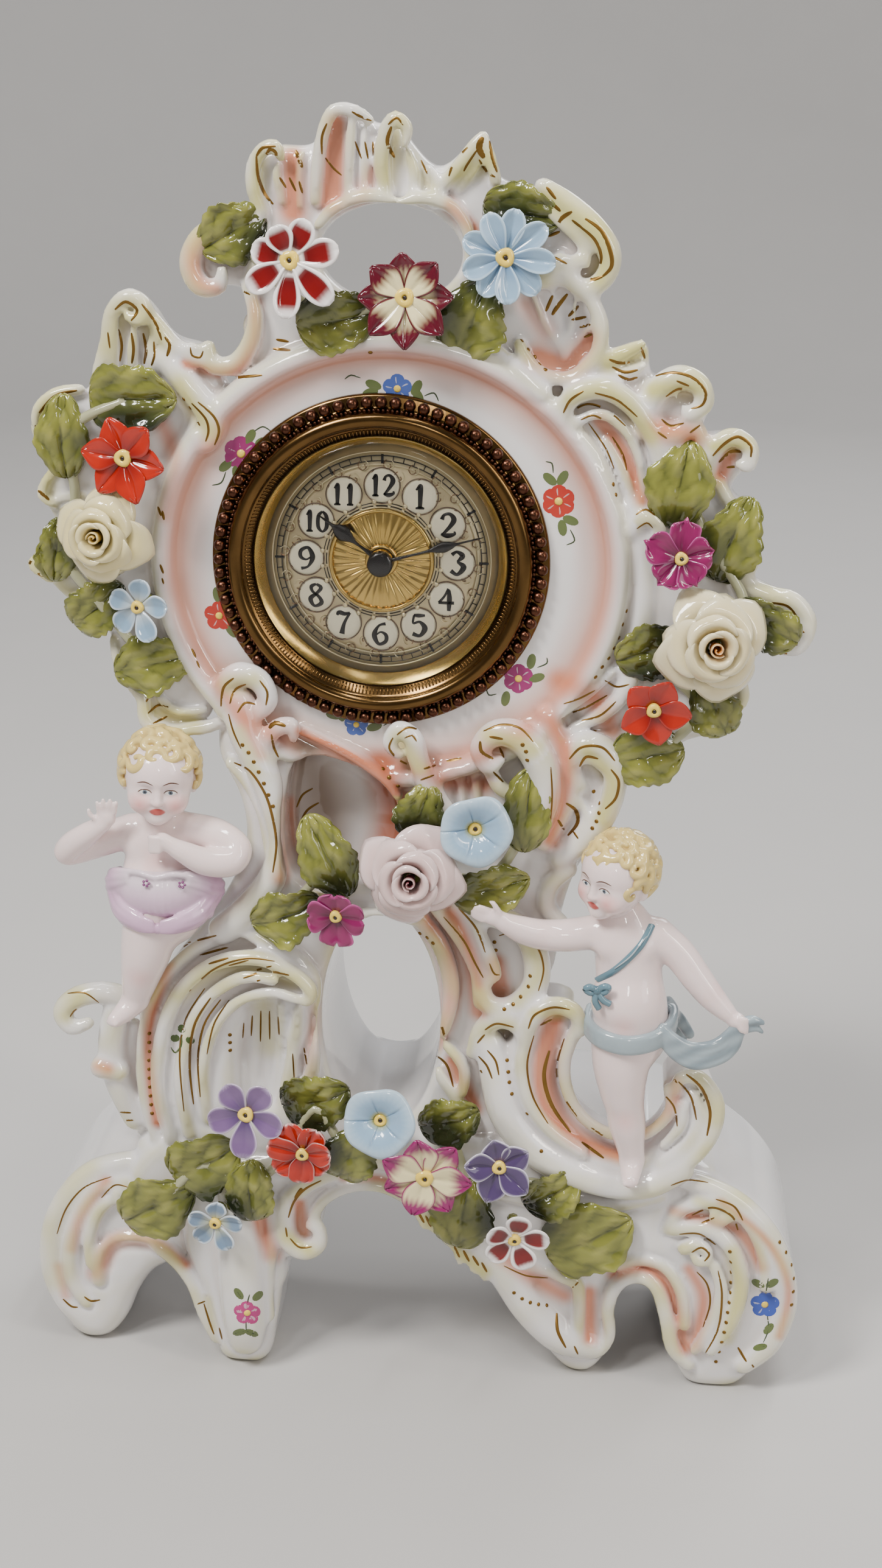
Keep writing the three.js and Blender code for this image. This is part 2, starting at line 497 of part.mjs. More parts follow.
const sightFront = glassEdgeY + GLASS_THICKNESS + 0.1;
place('sight_ring', turned([[BEZEL_SIGHT_RADIUS, sightFront], [glassSeatRadius - GAP, sightFront],
  [glassSeatRadius - GAP, -GAP], [DIAL_SIGHT_RADIUS, -GAP], [DIAL_SIGHT_RADIUS + 0.4, -GAP - 0.8],
  [BEZEL_SIGHT_RADIUS, sightFront]], undefined, DIAL_SIDES), finishes.gilt);

// Motion work: radii follow from the tooth counts, which share one centre distance.
const pitchRadius = (teeth, module = TOOTH_MODULE) => (teeth * module) / 2;
const motionDistance = pitchRadius(CANNON_TEETH + MINUTE_WHEEL_TEETH);
const hourModule = (2 * motionDistance) / (MINUTE_PINION_LEAVES + HOUR_TEETH);
const boreOf = (radius) => radius + ARBOR_CLEARANCE;
const cannonPipe = ARBOR_RADIUS + 0.9;
const hourPipeInner = boreOf(cannonPipe);
const hourPipe = hourPipeInner + 0.9;
const dialHole = boreOf(hourPipe);

// A wheel with straight-flanked teeth, drawn as a star and pierced for its arbor.
function wheel({ at = [0, DIAL_Z], teeth, radius, front, thickness = WHEEL_THICKNESS, hole = 0, depth = 0.9 }) {
  const tip = radius - TIP_CLEARANCE;
  const shape = new THREE.Shape(Array.from({ length: teeth * 2 }, (_, i) => {
    const turn = (Math.PI * i) / teeth;
    const reach = i % 2 ? tip - depth : tip;
    return new THREE.Vector2(reach * Math.cos(turn), reach * Math.sin(turn));
  }));
  const geometry = new THREE.ExtrudeGeometry(shape, { depth: thickness, steps: 1, bevelEnabled: false });
  geometry.rotateX(Math.PI / 2);
  geometry.translate(0, front + thickness, 0);
  const solid = solidOf(geometry).translate([at[0], 0, at[1]]);
  return hole ? solid.subtract(disc(hole, front - 5, front + thickness + 5, at, 16)) : solid;
}

const rotor = (radius, front, back, at) => disc(radius, front, back, at, 8);
const minuteWheelAt = [motionDistance, DIAL_Z];
const cannonFront = FRONT_PLATE_Y - 0.4 - 2 * WHEEL_THICKNESS;
const hourWheelFront = DIAL_THICKNESS + 0.9;

// The dial plate seats behind the bezel flange, and three feet join it to the front plate.
const DIAL_FOOT_CIRCLE = 32;
const DIAL_FOOT_RADIUS = 1.8;
const dialFeet = [80, 200, 320].map((degrees) => {
  const turn = THREE.MathUtils.degToRad(degrees);
  return [DIAL_FOOT_CIRCLE * Math.cos(turn), DIAL_Z + DIAL_FOOT_CIRCLE * Math.sin(turn)];
});
const dialRadius = glassSeatRadius - GAP;
place('dial_plate', dialFeet.reduce((dial, foot) =>
  dial.add(rotor(DIAL_FOOT_RADIUS, DIAL_THICKNESS / 2, FRONT_PLATE_Y - GAP, foot)),
ring(dialHole, dialRadius, 0, DIAL_THICKNESS, undefined, DIAL_SIDES)), finishes.dial);
place('dial_medallion', turned([[dialHole, -GAP - 0.7], [MEDALLION_RADIUS - 1.4, -GAP - 0.5],
  [MEDALLION_RADIUS - 0.7, -GAP - MEDALLION_THICKNESS], [MEDALLION_RADIUS, -GAP - 0.5], [MEDALLION_RADIUS, -GAP],
  [dialHole, -GAP], [dialHole, -GAP - 0.7]], undefined, 24), finishes.gilt);

// Hands. An outline is drawn pointing up, in x and z from the dial axis, then turned to the time.
function hand({ outline, collar, hole, back, minutesPerTurn }) {
  const front = back - HAND_THICKNESS;
  const shape = new THREE.Shape(outline.map(([x, z]) => new THREE.Vector2(x, z)));
  const geometry = new THREE.ExtrudeGeometry(shape, { depth: HAND_THICKNESS, steps: 1, bevelEnabled: false });
  geometry.rotateX(Math.PI / 2);
  geometry.translate(0, back, 0);
  const turn = (360 * (TIME_SHOWN_MINUTES % minutesPerTurn)) / minutesPerTurn;
  return solidOf(geometry)
    .add(disc(collar, front, back, [0, 0], 20))
    .subtract(disc(hole, front - 1, back + 1, [0, 0], 16))
    .rotate([0, turn, 0])
    .translate([0, 0, DIAL_Z]);
}

// A slim stem that swells into a leaf-shaped bulb and runs out to a point.
const handOutline = (length, bulb, bulbAt) => [[-0.7, 0], [-0.5, bulbAt - 3.5], [-bulb, bulbAt - 0.5],
  [-0.6 * bulb, bulbAt + 2], [-0.4, bulbAt + 4.5], [0, length], [0.4, bulbAt + 4.5], [0.6 * bulb, bulbAt + 2],
  [bulb, bulbAt - 0.5], [0.5, bulbAt - 3.5], [0.7, 0]];
const hourHandBack = -GAP - MEDALLION_THICKNESS - HAND_SPACE;
const minuteHandBack = hourHandBack - HAND_THICKNESS - HAND_SPACE;
const bossBack = minuteHandBack - HAND_THICKNESS - GAP / 2;
place('hour_hand', hand({ outline: handOutline(HOUR_HAND_LENGTH, 2.6, 15), collar: hourPipe + 1,
  hole: hourPipe, back: hourHandBack, minutesPerTurn: 720 }), finishes.blued);
place('minute_hand', hand({ outline: handOutline(MINUTE_HAND_LENGTH, 1.8, 20), collar: cannonPipe + 1.4,
  hole: cannonPipe, back: minuteHandBack, minutesPerTurn: 60 }), finishes.blued);
place('hand_boss', turned([[0, bossBack - BOSS_HEIGHT], [0.6 * BOSS_RADIUS, bossBack - 0.8 * BOSS_HEIGHT],
  [BOSS_RADIUS, bossBack - 0.2 * BOSS_HEIGHT], [BOSS_RADIUS, bossBack], [0, bossBack]], undefined, 20),
finishes.blued);

// Pipes end at the hand they carry, and each runs in the clearance of the one outside it.
place('hour_wheel', wheel({ teeth: HOUR_TEETH, radius: pitchRadius(HOUR_TEETH, hourModule), front: hourWheelFront })
  .add(disc(hourPipe, hourHandBack + GAP / 2, hourWheelFront + WHEEL_THICKNESS, undefined, 16))
  .subtract(disc(hourPipeInner, hourHandBack - 5, hourWheelFront + 8, undefined, 16)), finishes.brass);
place('cannon_pinion', wheel({ teeth: CANNON_TEETH, radius: pitchRadius(CANNON_TEETH), front: cannonFront,
  thickness: 2 * WHEEL_THICKNESS, depth: 0.6 })
  .add(disc(cannonPipe, minuteHandBack + GAP / 2, cannonFront + WHEEL_THICKNESS, undefined, 16))
  .subtract(disc(ARBOR_RADIUS + GAP, minuteHandBack - 5, FRONT_PLATE_Y + 5, undefined, 16)), finishes.steel);
place('minute_wheel', wheel({ at: minuteWheelAt, teeth: MINUTE_WHEEL_TEETH,
  radius: pitchRadius(MINUTE_WHEEL_TEETH), front: cannonFront + 0.4 })
  .add(wheel({ at: minuteWheelAt, teeth: MINUTE_PINION_LEAVES,
    radius: pitchRadius(MINUTE_PINION_LEAVES, hourModule), front: hourWheelFront, depth: 0.5,
    thickness: cannonFront + 0.6 - hourWheelFront }))
  .subtract(disc(boreOf(0.8), 0, FRONT_PLATE_Y, minuteWheelAt, 12)), finishes.brass);

// The train. Each wheel stands at its mesh distance from the one before, in the named direction.
const backPlateY = FRONT_PLATE_Y + PLATE_THICKNESS + PLATE_SPACE;
const polar = ([x, z], distance, degrees) => {
  const turn = THREE.MathUtils.degToRad(degrees);
  return [x + distance * Math.cos(turn), z + distance * Math.sin(turn)];
};
const centreAt = [0, DIAL_Z];
const barrelAt = polar(centreAt, pitchRadius(BARREL_TEETH + CENTRE_PINION_LEAVES), 225);
const thirdAt = polar(centreAt, pitchRadius(CENTRE_TEETH + THIRD_PINION_LEAVES), 60);
const escapeAt = polar(thirdAt, pitchRadius(THIRD_TEETH + ESCAPE_PINION_LEAVES), 150);
const leverAt = polar(escapeAt, ESCAPE_RADIUS + 3.4, 200);
const balanceAt = polar(leverAt, 12, 217);
const pillars = PILLAR_ANGLES.map((degrees) => polar(centreAt, PILLAR_CIRCLE, degrees));

const barrelFront = FRONT_PLATE_Y + PLATE_THICKNESS + 1;
const centreWheelFront = barrelFront + WHEEL_THICKNESS + BARREL_WALL_HEIGHT + 1;
const thirdWheelFront = centreWheelFront + 4;
const escapeFront = barrelFront + 1.5;
const trainFront = FRONT_PLATE_Y + PLATE_THICKNESS + GAP;
const trainBack = backPlateY - GAP;

const arborHoles = (front, back, rows) => rows.map(([at, radius]) => disc(boreOf(radius), front, back, at, 10));
const plateHoles = [[centreAt, ARBOR_RADIUS], [barrelAt, WINDING_ARBOR_RADIUS], [thirdAt, ARBOR_RADIUS / 2],
  [escapeAt, ARBOR_RADIUS / 2], [leverAt, ARBOR_RADIUS / 2], [balanceAt, ARBOR_RADIUS / 2]];

function plate(front) {
  const blank = disc(PLATE_RADIUS, front, front + PLATE_THICKNESS, centreAt, 24);
  return arborHoles(front - 5, front + PLATE_THICKNESS + 5, plateHoles)
    .reduce((left, hole) => left.subtract(hole), blank);
}

// The front plate carries the minute wheel's post, and the back plate its three riveted pillars.
place('front_plate', plate(FRONT_PLATE_Y).add(rotor(0.8, hourWheelFront + 0.4, FRONT_PLATE_Y + 0.5, minuteWheelAt)),
  finishes.brass);
place('back_plate', pillars.reduce((left, at) =>
  left.add(rotor(PILLAR_RADIUS, FRONT_PLATE_Y + PLATE_THICKNESS + GAP, backPlateY + 0.5, at)), plate(backPlateY)),
finishes.brass);

// Arbors run through the plates where they carry something outside, and end in pivots elsewhere.
const knobFront = backPlateY + PLATE_THICKNESS + 3;
const pivoted = (at) => join(rotor(ARBOR_RADIUS, trainFront, trainBack, at),
  rotor(ARBOR_RADIUS / 2, FRONT_PLATE_Y, backPlateY + PLATE_THICKNESS, at));
place('centre_wheel', join(
  rotor(ARBOR_RADIUS, minuteHandBack + GAP, knobFront + 4, centreAt),
  wheel({ teeth: CENTRE_TEETH, radius: pitchRadius(CENTRE_TEETH), front: centreWheelFront }),
  wheel({ teeth: CENTRE_PINION_LEAVES, radius: pitchRadius(CENTRE_PINION_LEAVES), front: barrelFront - 0.4,
    thickness: 2, depth: 0.6 }),
), finishes.brass);
place('barrel', wheel({ at: barrelAt, teeth: BARREL_TEETH, radius: pitchRadius(BARREL_TEETH), front: barrelFront })
  .add(disc(pitchRadius(BARREL_TEETH) - 2, barrelFront, barrelFront + WHEEL_THICKNESS + BARREL_WALL_HEIGHT, barrelAt))
  .subtract(disc(boreOf(WINDING_ARBOR_RADIUS), 0, 60, barrelAt, 16)), finishes.brass);
place('third_wheel', join(pivoted(thirdAt),
  wheel({ at: thirdAt, teeth: THIRD_TEETH, radius: pitchRadius(THIRD_TEETH), front: thirdWheelFront }),
  wheel({ at: thirdAt, teeth: THIRD_PINION_LEAVES, radius: pitchRadius(THIRD_PINION_LEAVES), thickness: 2.4,
    front: centreWheelFront - 0.6, depth: 0.5 })), finishes.brass);
place('escape_wheel', join(pivoted(escapeAt),
  wheel({ at: escapeAt, teeth: ESCAPE_TEETH, radius: ESCAPE_RADIUS, front: escapeFront, depth: 1.4 }),
  wheel({ at: escapeAt, teeth: ESCAPE_PINION_LEAVES, radius: pitchRadius(ESCAPE_PINION_LEAVES), thickness: 2.4,
    front: thirdWheelFront - 0.6, depth: 0.5 })), finishes.brass);

// The lever reaches from the escape wheel's edge to the roller on the balance staff.
const LEVER_HALF_WIDTH = 0.8;
const ROLLER_RADIUS = 2;
const leverTurn = Math.atan2(balanceAt[1] - leverAt[1], balanceAt[0] - leverAt[0]);
const leverBar = solidOf(new THREE.BoxGeometry(12 - ROLLER_RADIUS - 0.6, WHEEL_THICKNESS, 2 * LEVER_HALF_WIDTH))
  .translate([(12 - ROLLER_RADIUS - 0.6) / 2, escapeFront + WHEEL_THICKNESS / 2, 0])
  .rotate([0, -THREE.MathUtils.radToDeg(leverTurn), 0])
  .translate([leverAt[0], 0, leverAt[1]]);
place('pallet_lever', join(pivoted(leverAt), leverBar, disc(2, escapeFront, escapeFront + WHEEL_THICKNESS, leverAt, 12)),
  finishes.steel);

const balanceFront = escapeFront + 6;
const balanceSpoke = solidOf(new THREE.BoxGeometry(2 * BALANCE_RADIUS - 1, 1, 1.6))
  .translate([balanceAt[0], balanceFront + 0.6, balanceAt[1]]);
place('balance_wheel', join(pivoted(balanceAt), balanceSpoke,
  ring(BALANCE_RADIUS - 1.4, BALANCE_RADIUS, balanceFront, balanceFront + WHEEL_THICKNESS, balanceAt, 24),
  disc(ROLLER_RADIUS, escapeFront, escapeFront + WHEEL_THICKNESS, balanceAt, 12)), finishes.gilt);

// The hairspring is a flat spiral ribbon around the balance staff.
const HAIRSPRING_TURNS = 3;
const HAIRSPRING_INNER = ARBOR_RADIUS + GAP;
const HAIRSPRING_PITCH = 1.2;
const HAIRSPRING_RIBBON = 0.3;
const STEPS_PER_TURN = 10;
const hairspringSteps = HAIRSPRING_TURNS * STEPS_PER_TURN;
const spiral = (offset) => Array.from({ length: hairspringSteps + 1 }, (_, i) => {
  const turn = (2 * Math.PI * i) / STEPS_PER_TURN;
  const reach = HAIRSPRING_INNER + (HAIRSPRING_PITCH * i) / STEPS_PER_TURN + offset;
  return new THREE.Vector2(reach * Math.cos(turn), reach * Math.sin(turn));
});
const hairspring = new THREE.ExtrudeGeometry(
  new THREE.Shape([...spiral(HAIRSPRING_RIBBON), ...spiral(0).reverse()]),
  { depth: 0.8, steps: 1, bevelEnabled: false },
);
hairspring.rotateX(Math.PI / 2);
hairspring.translate(balanceAt[0], balanceFront + 5, balanceAt[1]);
place('hairspring', solidOf(hairspring), finishes.steel);

// Winding and setting, reached through the back door.
const ratchetFront = backPlateY + PLATE_THICKNESS + 0.5;
const keyFront = ratchetFront + 6;
place('winding_arbor', join(
  rotor(WINDING_ARBOR_RADIUS, FRONT_PLATE_Y, keyFront + 6, barrelAt),
  wheel({ at: barrelAt, teeth: 18, radius: 7, front: ratchetFront, depth: 1 }),
), finishes.steel);
const keyWings = slab(ellipse([barrelAt[0], barrelAt[1]], [KEY_SPAN / 2, 5.5], 12), keyFront + 5, keyFront + 7, 0, 1);
place('winding_key', disc(3.6, keyFront, keyFront + 7, barrelAt, 12).add(keyWings)
  .subtract(disc(WINDING_ARBOR_RADIUS + GAP, keyFront - 1, keyFront + 6 + GAP, barrelAt, 12)), finishes.brass);
place('set_knob', wheel({ teeth: 16, radius: KNOB_RADIUS, front: knobFront, thickness: 4, depth: 0.5 })
  .subtract(disc(ARBOR_RADIUS + GAP, knobFront - 1, knobFront + 8, centreAt, 12))
  .add(disc(KNOB_RADIUS - 1, knobFront + 4 + GAP, knobFront + 5, centreAt, 16))
  .add(ring(ARBOR_RADIUS + 2 * GAP, KNOB_RADIUS - 1, knobFront + 3.5, knobFront + 4.5, centreAt, 16)), finishes.brass);
const regulatorBack = backPlateY + PLATE_THICKNESS + GAP + 0.8;
const regulatorArm = solidOf(new THREE.BoxGeometry(9, 0.8, 1.4))
  .translate([balanceAt[0] - 3, regulatorBack - 0.4, balanceAt[1]]);
place('regulator_lever', regulatorArm
  .add(disc(2.4, regulatorBack - 0.8, regulatorBack, balanceAt, 16))
  .subtract(disc(boreOf(ARBOR_RADIUS / 2), regulatorBack - 3, regulatorBack + 1, balanceAt, 12)), finishes.steel);

// Two straps tie the bezel to the back ring along the bore, and hold the whole set in the case.
const backRingFront = DRUM_BACK_Y + GAP;
const strapReach = BORE_RADIUS - GAP - 0.6;
for (const [name, side] of [['strap_left', -1], ['strap_right', 1]]) {
  const strap = solidOf(new THREE.BoxGeometry(STRAP_THICKNESS, backRingFront - FACE_Y - FLANGE_DEPTH - 2 * GAP,
    STRAP_WIDTH));
  place(name, strap.translate([side * (strapReach - STRAP_THICKNESS / 2),
    (backRingFront + FACE_Y + FLANGE_DEPTH) / 2, DIAL_Z]), finishes.steel);
}
const doorRadius = BORE_RADIUS - 4;
const doorHingeX = -(BACK_RING_RADIUS - 2);
const doorHingeY = backRingFront + BACK_RING_THICKNESS + 1.6;
const knuckle = (low, high) => {
  const pin = new THREE.CylinderGeometry(1.3, 1.3, high - low, 12);
  pin.rotateX(Math.PI / 2);
  return solidOf(pin).translate([doorHingeX, doorHingeY, DIAL_Z + (low + high) / 2]);
};
const knuckleFoot = (low, high, y) => solidOf(new THREE.BoxGeometry(2, 2.4, high - low))
  .translate([doorHingeX, y, DIAL_Z + (low + high) / 2]);
place('back_ring', join(ring(strapReach - 2 * STRAP_THICKNESS, BACK_RING_RADIUS, backRingFront,
  backRingFront + BACK_RING_THICKNESS, undefined, DIAL_SIDES),
knuckle(-9, -4), knuckle(4, 9), knuckleFoot(-9, -4, doorHingeY - 1.2), knuckleFoot(4, 9, doorHingeY - 1.2)),
finishes.brass);
const doorFront = backRingFront + BACK_RING_THICKNESS + GAP;
const doorLeaf = solidOf(new THREE.BoxGeometry(doorRadius * 0.5, DOOR_THICKNESS, 7))
  .translate([doorHingeX + doorRadius * 0.25 + 0.6, doorFront + 1 + DOOR_THICKNESS / 2, DIAL_Z]);
place('back_door', join(disc(doorRadius + 3, doorFront, doorFront + DOOR_THICKNESS, undefined, 28),
  doorLeaf, knuckle(-3.6, 3.6), disc(3, doorFront, doorFront + 6, [doorRadius - 4, DIAL_Z], 12)), finishes.brass);

// The origin goes to the middle of the base, on the shelf.
const box = new THREE.Box3().setFromObject(clock);
clock.position.set(-(box.min.x + box.max.x) / 2, -(box.min.y + box.max.y) / 2, -box.min.z);
clock.updateMatrixWorld(true);

export default clock;
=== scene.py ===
"""Porcelain mantel clock with two cherubs and applied flowers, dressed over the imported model.

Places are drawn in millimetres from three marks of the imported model: x from the dial's axis,
y from the dial's face (towards the back is positive) and z from the shelf.
"""
import math

import bpy
import numpy as np
import openvdb
from mathutils import Matrix, Vector
from mathutils.bvhtree import BVHTree


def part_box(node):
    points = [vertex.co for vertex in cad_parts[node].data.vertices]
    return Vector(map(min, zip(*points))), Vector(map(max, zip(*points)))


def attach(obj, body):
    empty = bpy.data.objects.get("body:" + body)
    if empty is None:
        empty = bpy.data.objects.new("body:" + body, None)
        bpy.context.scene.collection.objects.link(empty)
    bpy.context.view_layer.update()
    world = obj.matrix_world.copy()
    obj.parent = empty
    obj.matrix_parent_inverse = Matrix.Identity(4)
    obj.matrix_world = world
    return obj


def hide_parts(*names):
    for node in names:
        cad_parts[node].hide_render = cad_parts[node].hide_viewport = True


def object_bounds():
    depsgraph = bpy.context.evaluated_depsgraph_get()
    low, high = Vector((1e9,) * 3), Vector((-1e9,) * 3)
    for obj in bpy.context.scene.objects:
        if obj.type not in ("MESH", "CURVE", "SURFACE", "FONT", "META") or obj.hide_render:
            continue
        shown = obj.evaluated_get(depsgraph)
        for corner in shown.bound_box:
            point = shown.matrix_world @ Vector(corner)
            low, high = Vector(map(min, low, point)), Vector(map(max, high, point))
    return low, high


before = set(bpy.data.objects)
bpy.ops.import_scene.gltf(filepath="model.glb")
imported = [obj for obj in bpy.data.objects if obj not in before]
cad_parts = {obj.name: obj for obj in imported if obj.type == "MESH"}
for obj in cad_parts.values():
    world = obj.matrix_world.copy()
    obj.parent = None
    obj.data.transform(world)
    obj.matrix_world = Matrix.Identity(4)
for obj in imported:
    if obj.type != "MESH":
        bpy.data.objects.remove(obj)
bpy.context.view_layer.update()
RNG = np.random.default_rng(7)

MM = 0.001
DIAL_LOW, DIAL_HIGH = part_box("dial_plate")
MARKS = np.array([(DIAL_LOW.x + DIAL_HIGH.x) / 2, DIAL_LOW.y, 0.0]) / MM
DIAL_Z = 300.0
FACE_Y = -3.0
CASE = "case"
TINY = 1e-9

# Cells farther out than this need no distance of their own.
CASE_STEP, CASE_STEP_QUICK = 1.15, 1.5
FAR = 30.0


# Camera. The eye stands above and right of the dial, and looks down at it.
EYE = np.array([68.02, -681.92, 473.22])
EYE_DOWN = math.radians(20.0)
EYE_TURN = math.radians(4.0)
EYE_ROLL = math.radians(1.0)
FOCAL_PIXELS = 3600.0
IMAGE_HEIGHT = 2576.0
SENSOR = 36.0


def to_frame(points):
    """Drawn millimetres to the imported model's metres."""
    return (np.asarray(points, float) + MARKS) * MM


def seen(x, z, y=0.0):
    """The place at depth y on the line of sight through (x, z) of the dial's plane."""
    t = (y - EYE[1]) / (0.0 - EYE[1])
    return np.array([EYE[0] + (x - EYE[0]) * t, y, EYE[2] + (z - EYE[2]) * t])


def make_camera():
    """The photograph's eye, direction and focal length."""
    ahead = Vector((-math.sin(EYE_TURN), math.cos(EYE_TURN), 0.0))
    right = Vector((math.cos(EYE_TURN), math.sin(EYE_TURN), 0.0))
    up = Vector((0.0, 0.0, 1.0))
    forward = ahead * math.cos(EYE_DOWN) - up * math.sin(EYE_DOWN)
    down = -ahead * math.sin(EYE_DOWN) - up * math.cos(EYE_DOWN)
    across = right * math.cos(EYE_ROLL) - down * math.sin(EYE_ROLL)
    upward = -(right * math.sin(EYE_ROLL) + down * math.cos(EYE_ROLL))
    data = bpy.data.cameras.new("camera")
    data.sensor_width = SENSOR
    data.lens = FOCAL_PIXELS / IMAGE_HEIGHT * SENSOR
    data.clip_start = 0.02
    camera = bpy.data.objects.new("camera", data)
    turn = Matrix((across, upward, -forward)).transposed().to_4x4()
    camera.matrix_world = Matrix.Translation(Vector(to_frame(EYE))) @ turn
    bpy.context.scene.collection.objects.link(camera)
    bpy.context.scene.camera = camera


def linear(red, green, blue):
    """A colour read as 0 to 255 values, as the linear values that shaders take."""
    def one(value):
        v = value / 255.0
        return v / 12.92 if v <= 0.04045 else ((v + 0.055) / 1.055) ** 2.4
    return np.array([one(red), one(green), one(blue)])


# Colours of the glaze and the enamels.
WHITE = linear(222, 219, 218)
BACK_WHITE = linear(218, 217, 218)
PINK = linear(200, 122, 90)
TERRACOTTA = linear(176, 96, 66)
YELLOW = linear(196, 190, 120)
# Painted shade for walls inside openings and for sides that turn away.
BEIGE_SHADE = linear(196, 182, 165)
# Painted shade for the hollows of the case.
HOLLOW_SHADE = linear(158, 134, 116)
# Painted shade for the niche.
NICHE_SHADE = linear(146, 128, 114)
GOLD = linear(126, 94, 40)
# Painted highlight for the crests of a leaf's lumps.
LEAF_HIGHLIGHT = linear(172, 168, 92)
LEAF_LIGHT = linear(128, 130, 58)
LEAF_DARK = linear(62, 68, 30)
# Painted shadow for leaves next to the flowers.
LEAF_SHADOW = linear(20, 27, 18)
SKIN = linear(234, 214, 212)

# What shaders share. A Mix node's colour sockets have no names of their own.
COAT_ROUGHNESS, COATED_SPECULAR = 0.05, 0.12
SKIN_DEPTHS, SKIN_SCALE = (0.004, 0.003, 0.002), 0.5
GLASS_IOR = 1.18
MOTTLE_SCALE, MOTTLE_LIFT = 0.25, 0.4
MIX_A, MIX_B, MIX_RESULT = 6, 7, 2


def shader(name, base, roughness=0.3, metallic=0.0, coat=0.0, bump=0.0, bump_size=400.0, mottle=0.0,
           attribute=None, subsurface=0.0, transmission=0.0):
    """A procedural surface: an even or painted colour with broad mottling and a fine bump."""
    material = bpy.data.materials.new(name)
    material.use_nodes = True
    nodes, links = material.node_tree.nodes, material.node_tree.links
    surface = nodes["Principled BSDF"]
    settings = {"Base Color": (*base, 1.0), "Roughness": roughness, "Metallic": metallic, "Coat Weight": coat,
                "Coat Roughness": COAT_ROUGHNESS}
    if coat:
        settings["Specular IOR Level"] = COATED_SPECULAR
    if subsurface:
        settings.update({"Subsurface Weight": subsurface, "Subsurface Radius": SKIN_DEPTHS,
                         "Subsurface Scale": SKIN_SCALE})
    if transmission:
        settings.update({"Transmission Weight": transmission, "IOR": GLASS_IOR})
    for socket, value in settings.items():
        surface.inputs[socket].default_value = value
    place = nodes.new("ShaderNodeTexCoord")

    def noise(scale, detail):
        node = nodes.new("ShaderNodeTexNoise")
        node.inputs["Scale"].default_value = scale
        node.inputs["Detail"].default_value = detail
        links.new(place.outputs["Object"], node.inputs["Vector"])
        return node.outputs["Fac"]

    if bump:
        height = nodes.new("ShaderNodeBump")
        height.inputs["Strength"].default_value = 1.0
        height.inputs["Distance"].default_value = bump * MM
        links.new(noise(bump_size, 4.0), height.inputs["Height"])
        links.new(height.outputs["Normal"], surface.inputs["Normal"])
    if attribute or mottle:
        span = nodes.new("ShaderNodeMapRange")
        span.inputs["To Min"].default_value = 1.0 - mottle
        span.inputs["To Max"].default_value = 1.0 + mottle * MOTTLE_LIFT
        links.new(noise(bump_size * MOTTLE_SCALE, 3.0), span.inputs["Value"])
        tone = nodes.new("ShaderNodeMix")
        tone.data_type = "RGBA"
        tone.blend_type = "MULTIPLY"
        tone.inputs["Factor"].default_value = 1.0
        tone.inputs[MIX_A].default_value = (*base, 1.0)
        if attribute:
            paint = nodes.new("ShaderNodeVertexColor")
            paint.layer_name = attribute
            links.new(paint.outputs["Color"], tone.inputs[MIX_A])
        links.new(span.outputs["Result"], tone.inputs[MIX_B])
        links.new(tone.outputs[MIX_RESULT], surface.inputs["Base Color"])
    return material


PAINT = "paint"
PLAIN = (1.0, 1.0, 1.0)
PORCELAIN = shader("porcelain", WHITE, 0.22, coat=1.0, bump=0.02, bump_size=260, mottle=0.05, attribute=PAINT,
                   subsurface=0.12)
ENAMEL = shader("enamel", WHITE, 0.25, coat=1.0, bump=0.05, bump_size=500, mottle=0.12, attribute=PAINT)
FLESH = shader("flesh", SKIN, 0.26, coat=1.0, bump=0.02, bump_size=400, mottle=0.04, attribute=PAINT,
               subsurface=0.2)
GILT_LINE = shader("gilt_line", GOLD, 0.35, metallic=0.75, bump=0.02, bump_size=900, mottle=0.35)
PAINTED = shader("painted_flower", WHITE, 0.3, coat=0.6, mottle=0.15, bump_size=900, attribute=PAINT)
BRONZE = shader("bronze", linear(90, 58, 44), 0.3, metallic=1.0, bump=0.03, bump_size=700, mottle=0.6)
POLISHED = shader("polished", linear(106, 80, 46), 0.2, metallic=1.0, bump=0.02, bump_size=400, mottle=0.5)
GILT = shader("gilt", linear(196, 166, 96), 0.24, metallic=1.0, bump=0.01, bump_size=500, mottle=0.2)
BRASS = shader("brass", linear(182, 154, 92), 0.3, metallic=1.0, bump=0.02, bump_size=600, mottle=0.2)
STEEL = shader("steel", linear(176, 178, 182), 0.3, metallic=1.0, bump=0.02, bump_size=600, mottle=0.15)
BLUED = shader("blued", linear(34, 52, 96), 0.22, metallic=1.0, bump=0.01, bump_size=700, mottle=0.2)
SILVERED = shader("silvered", linear(210, 200, 168), 0.38, metallic=0.75, bump=0.03, bump_size=900,
                  mottle=0.2, attribute=PAINT)
DIAL_PAINT = shader("dial_paint", WHITE, 0.35, bump=0.01, bump_size=900, mottle=0.06, attribute=PAINT)
BLACKED = shader("blacked", linear(22, 19, 19), 0.25, metallic=0.0, bump=0.01, bump_size=700, mottle=0.2)
GLASS = shader("glass", (1, 1, 1), 0.0, transmission=1.0, bump=0.002, bump_size=80)


def smooth(points, per_span=6, closed=False):
    """A smooth curve through the points, of any number of columns."""
    p = np.asarray(points, float)
    count = len(p)
    rows = []
    for i in range(count if closed else count - 1):
        near = [(i + k) % count if closed else min(max(i + k, 0), count - 1) for k in (-1, 0, 1, 2)]
        a, b, c, d = p[near]
        t = np.linspace(0, 1, per_span, endpoint=False)[:, None]
        rows.append(0.5 * (2 * b + (c - a) * t + (2 * a - 5 * b + 4 * c - d) * t ** 2
                           + (3 * b - a - 3 * c + d) * t ** 3))
    if not closed:
        rows.append(p[-1:])
    return np.vstack(rows)


def unit(rows):
    """The rows, each brought to a length of 1."""
    return rows / np.maximum(np.linalg.norm(rows, axis=-1, keepdims=True), TINY)


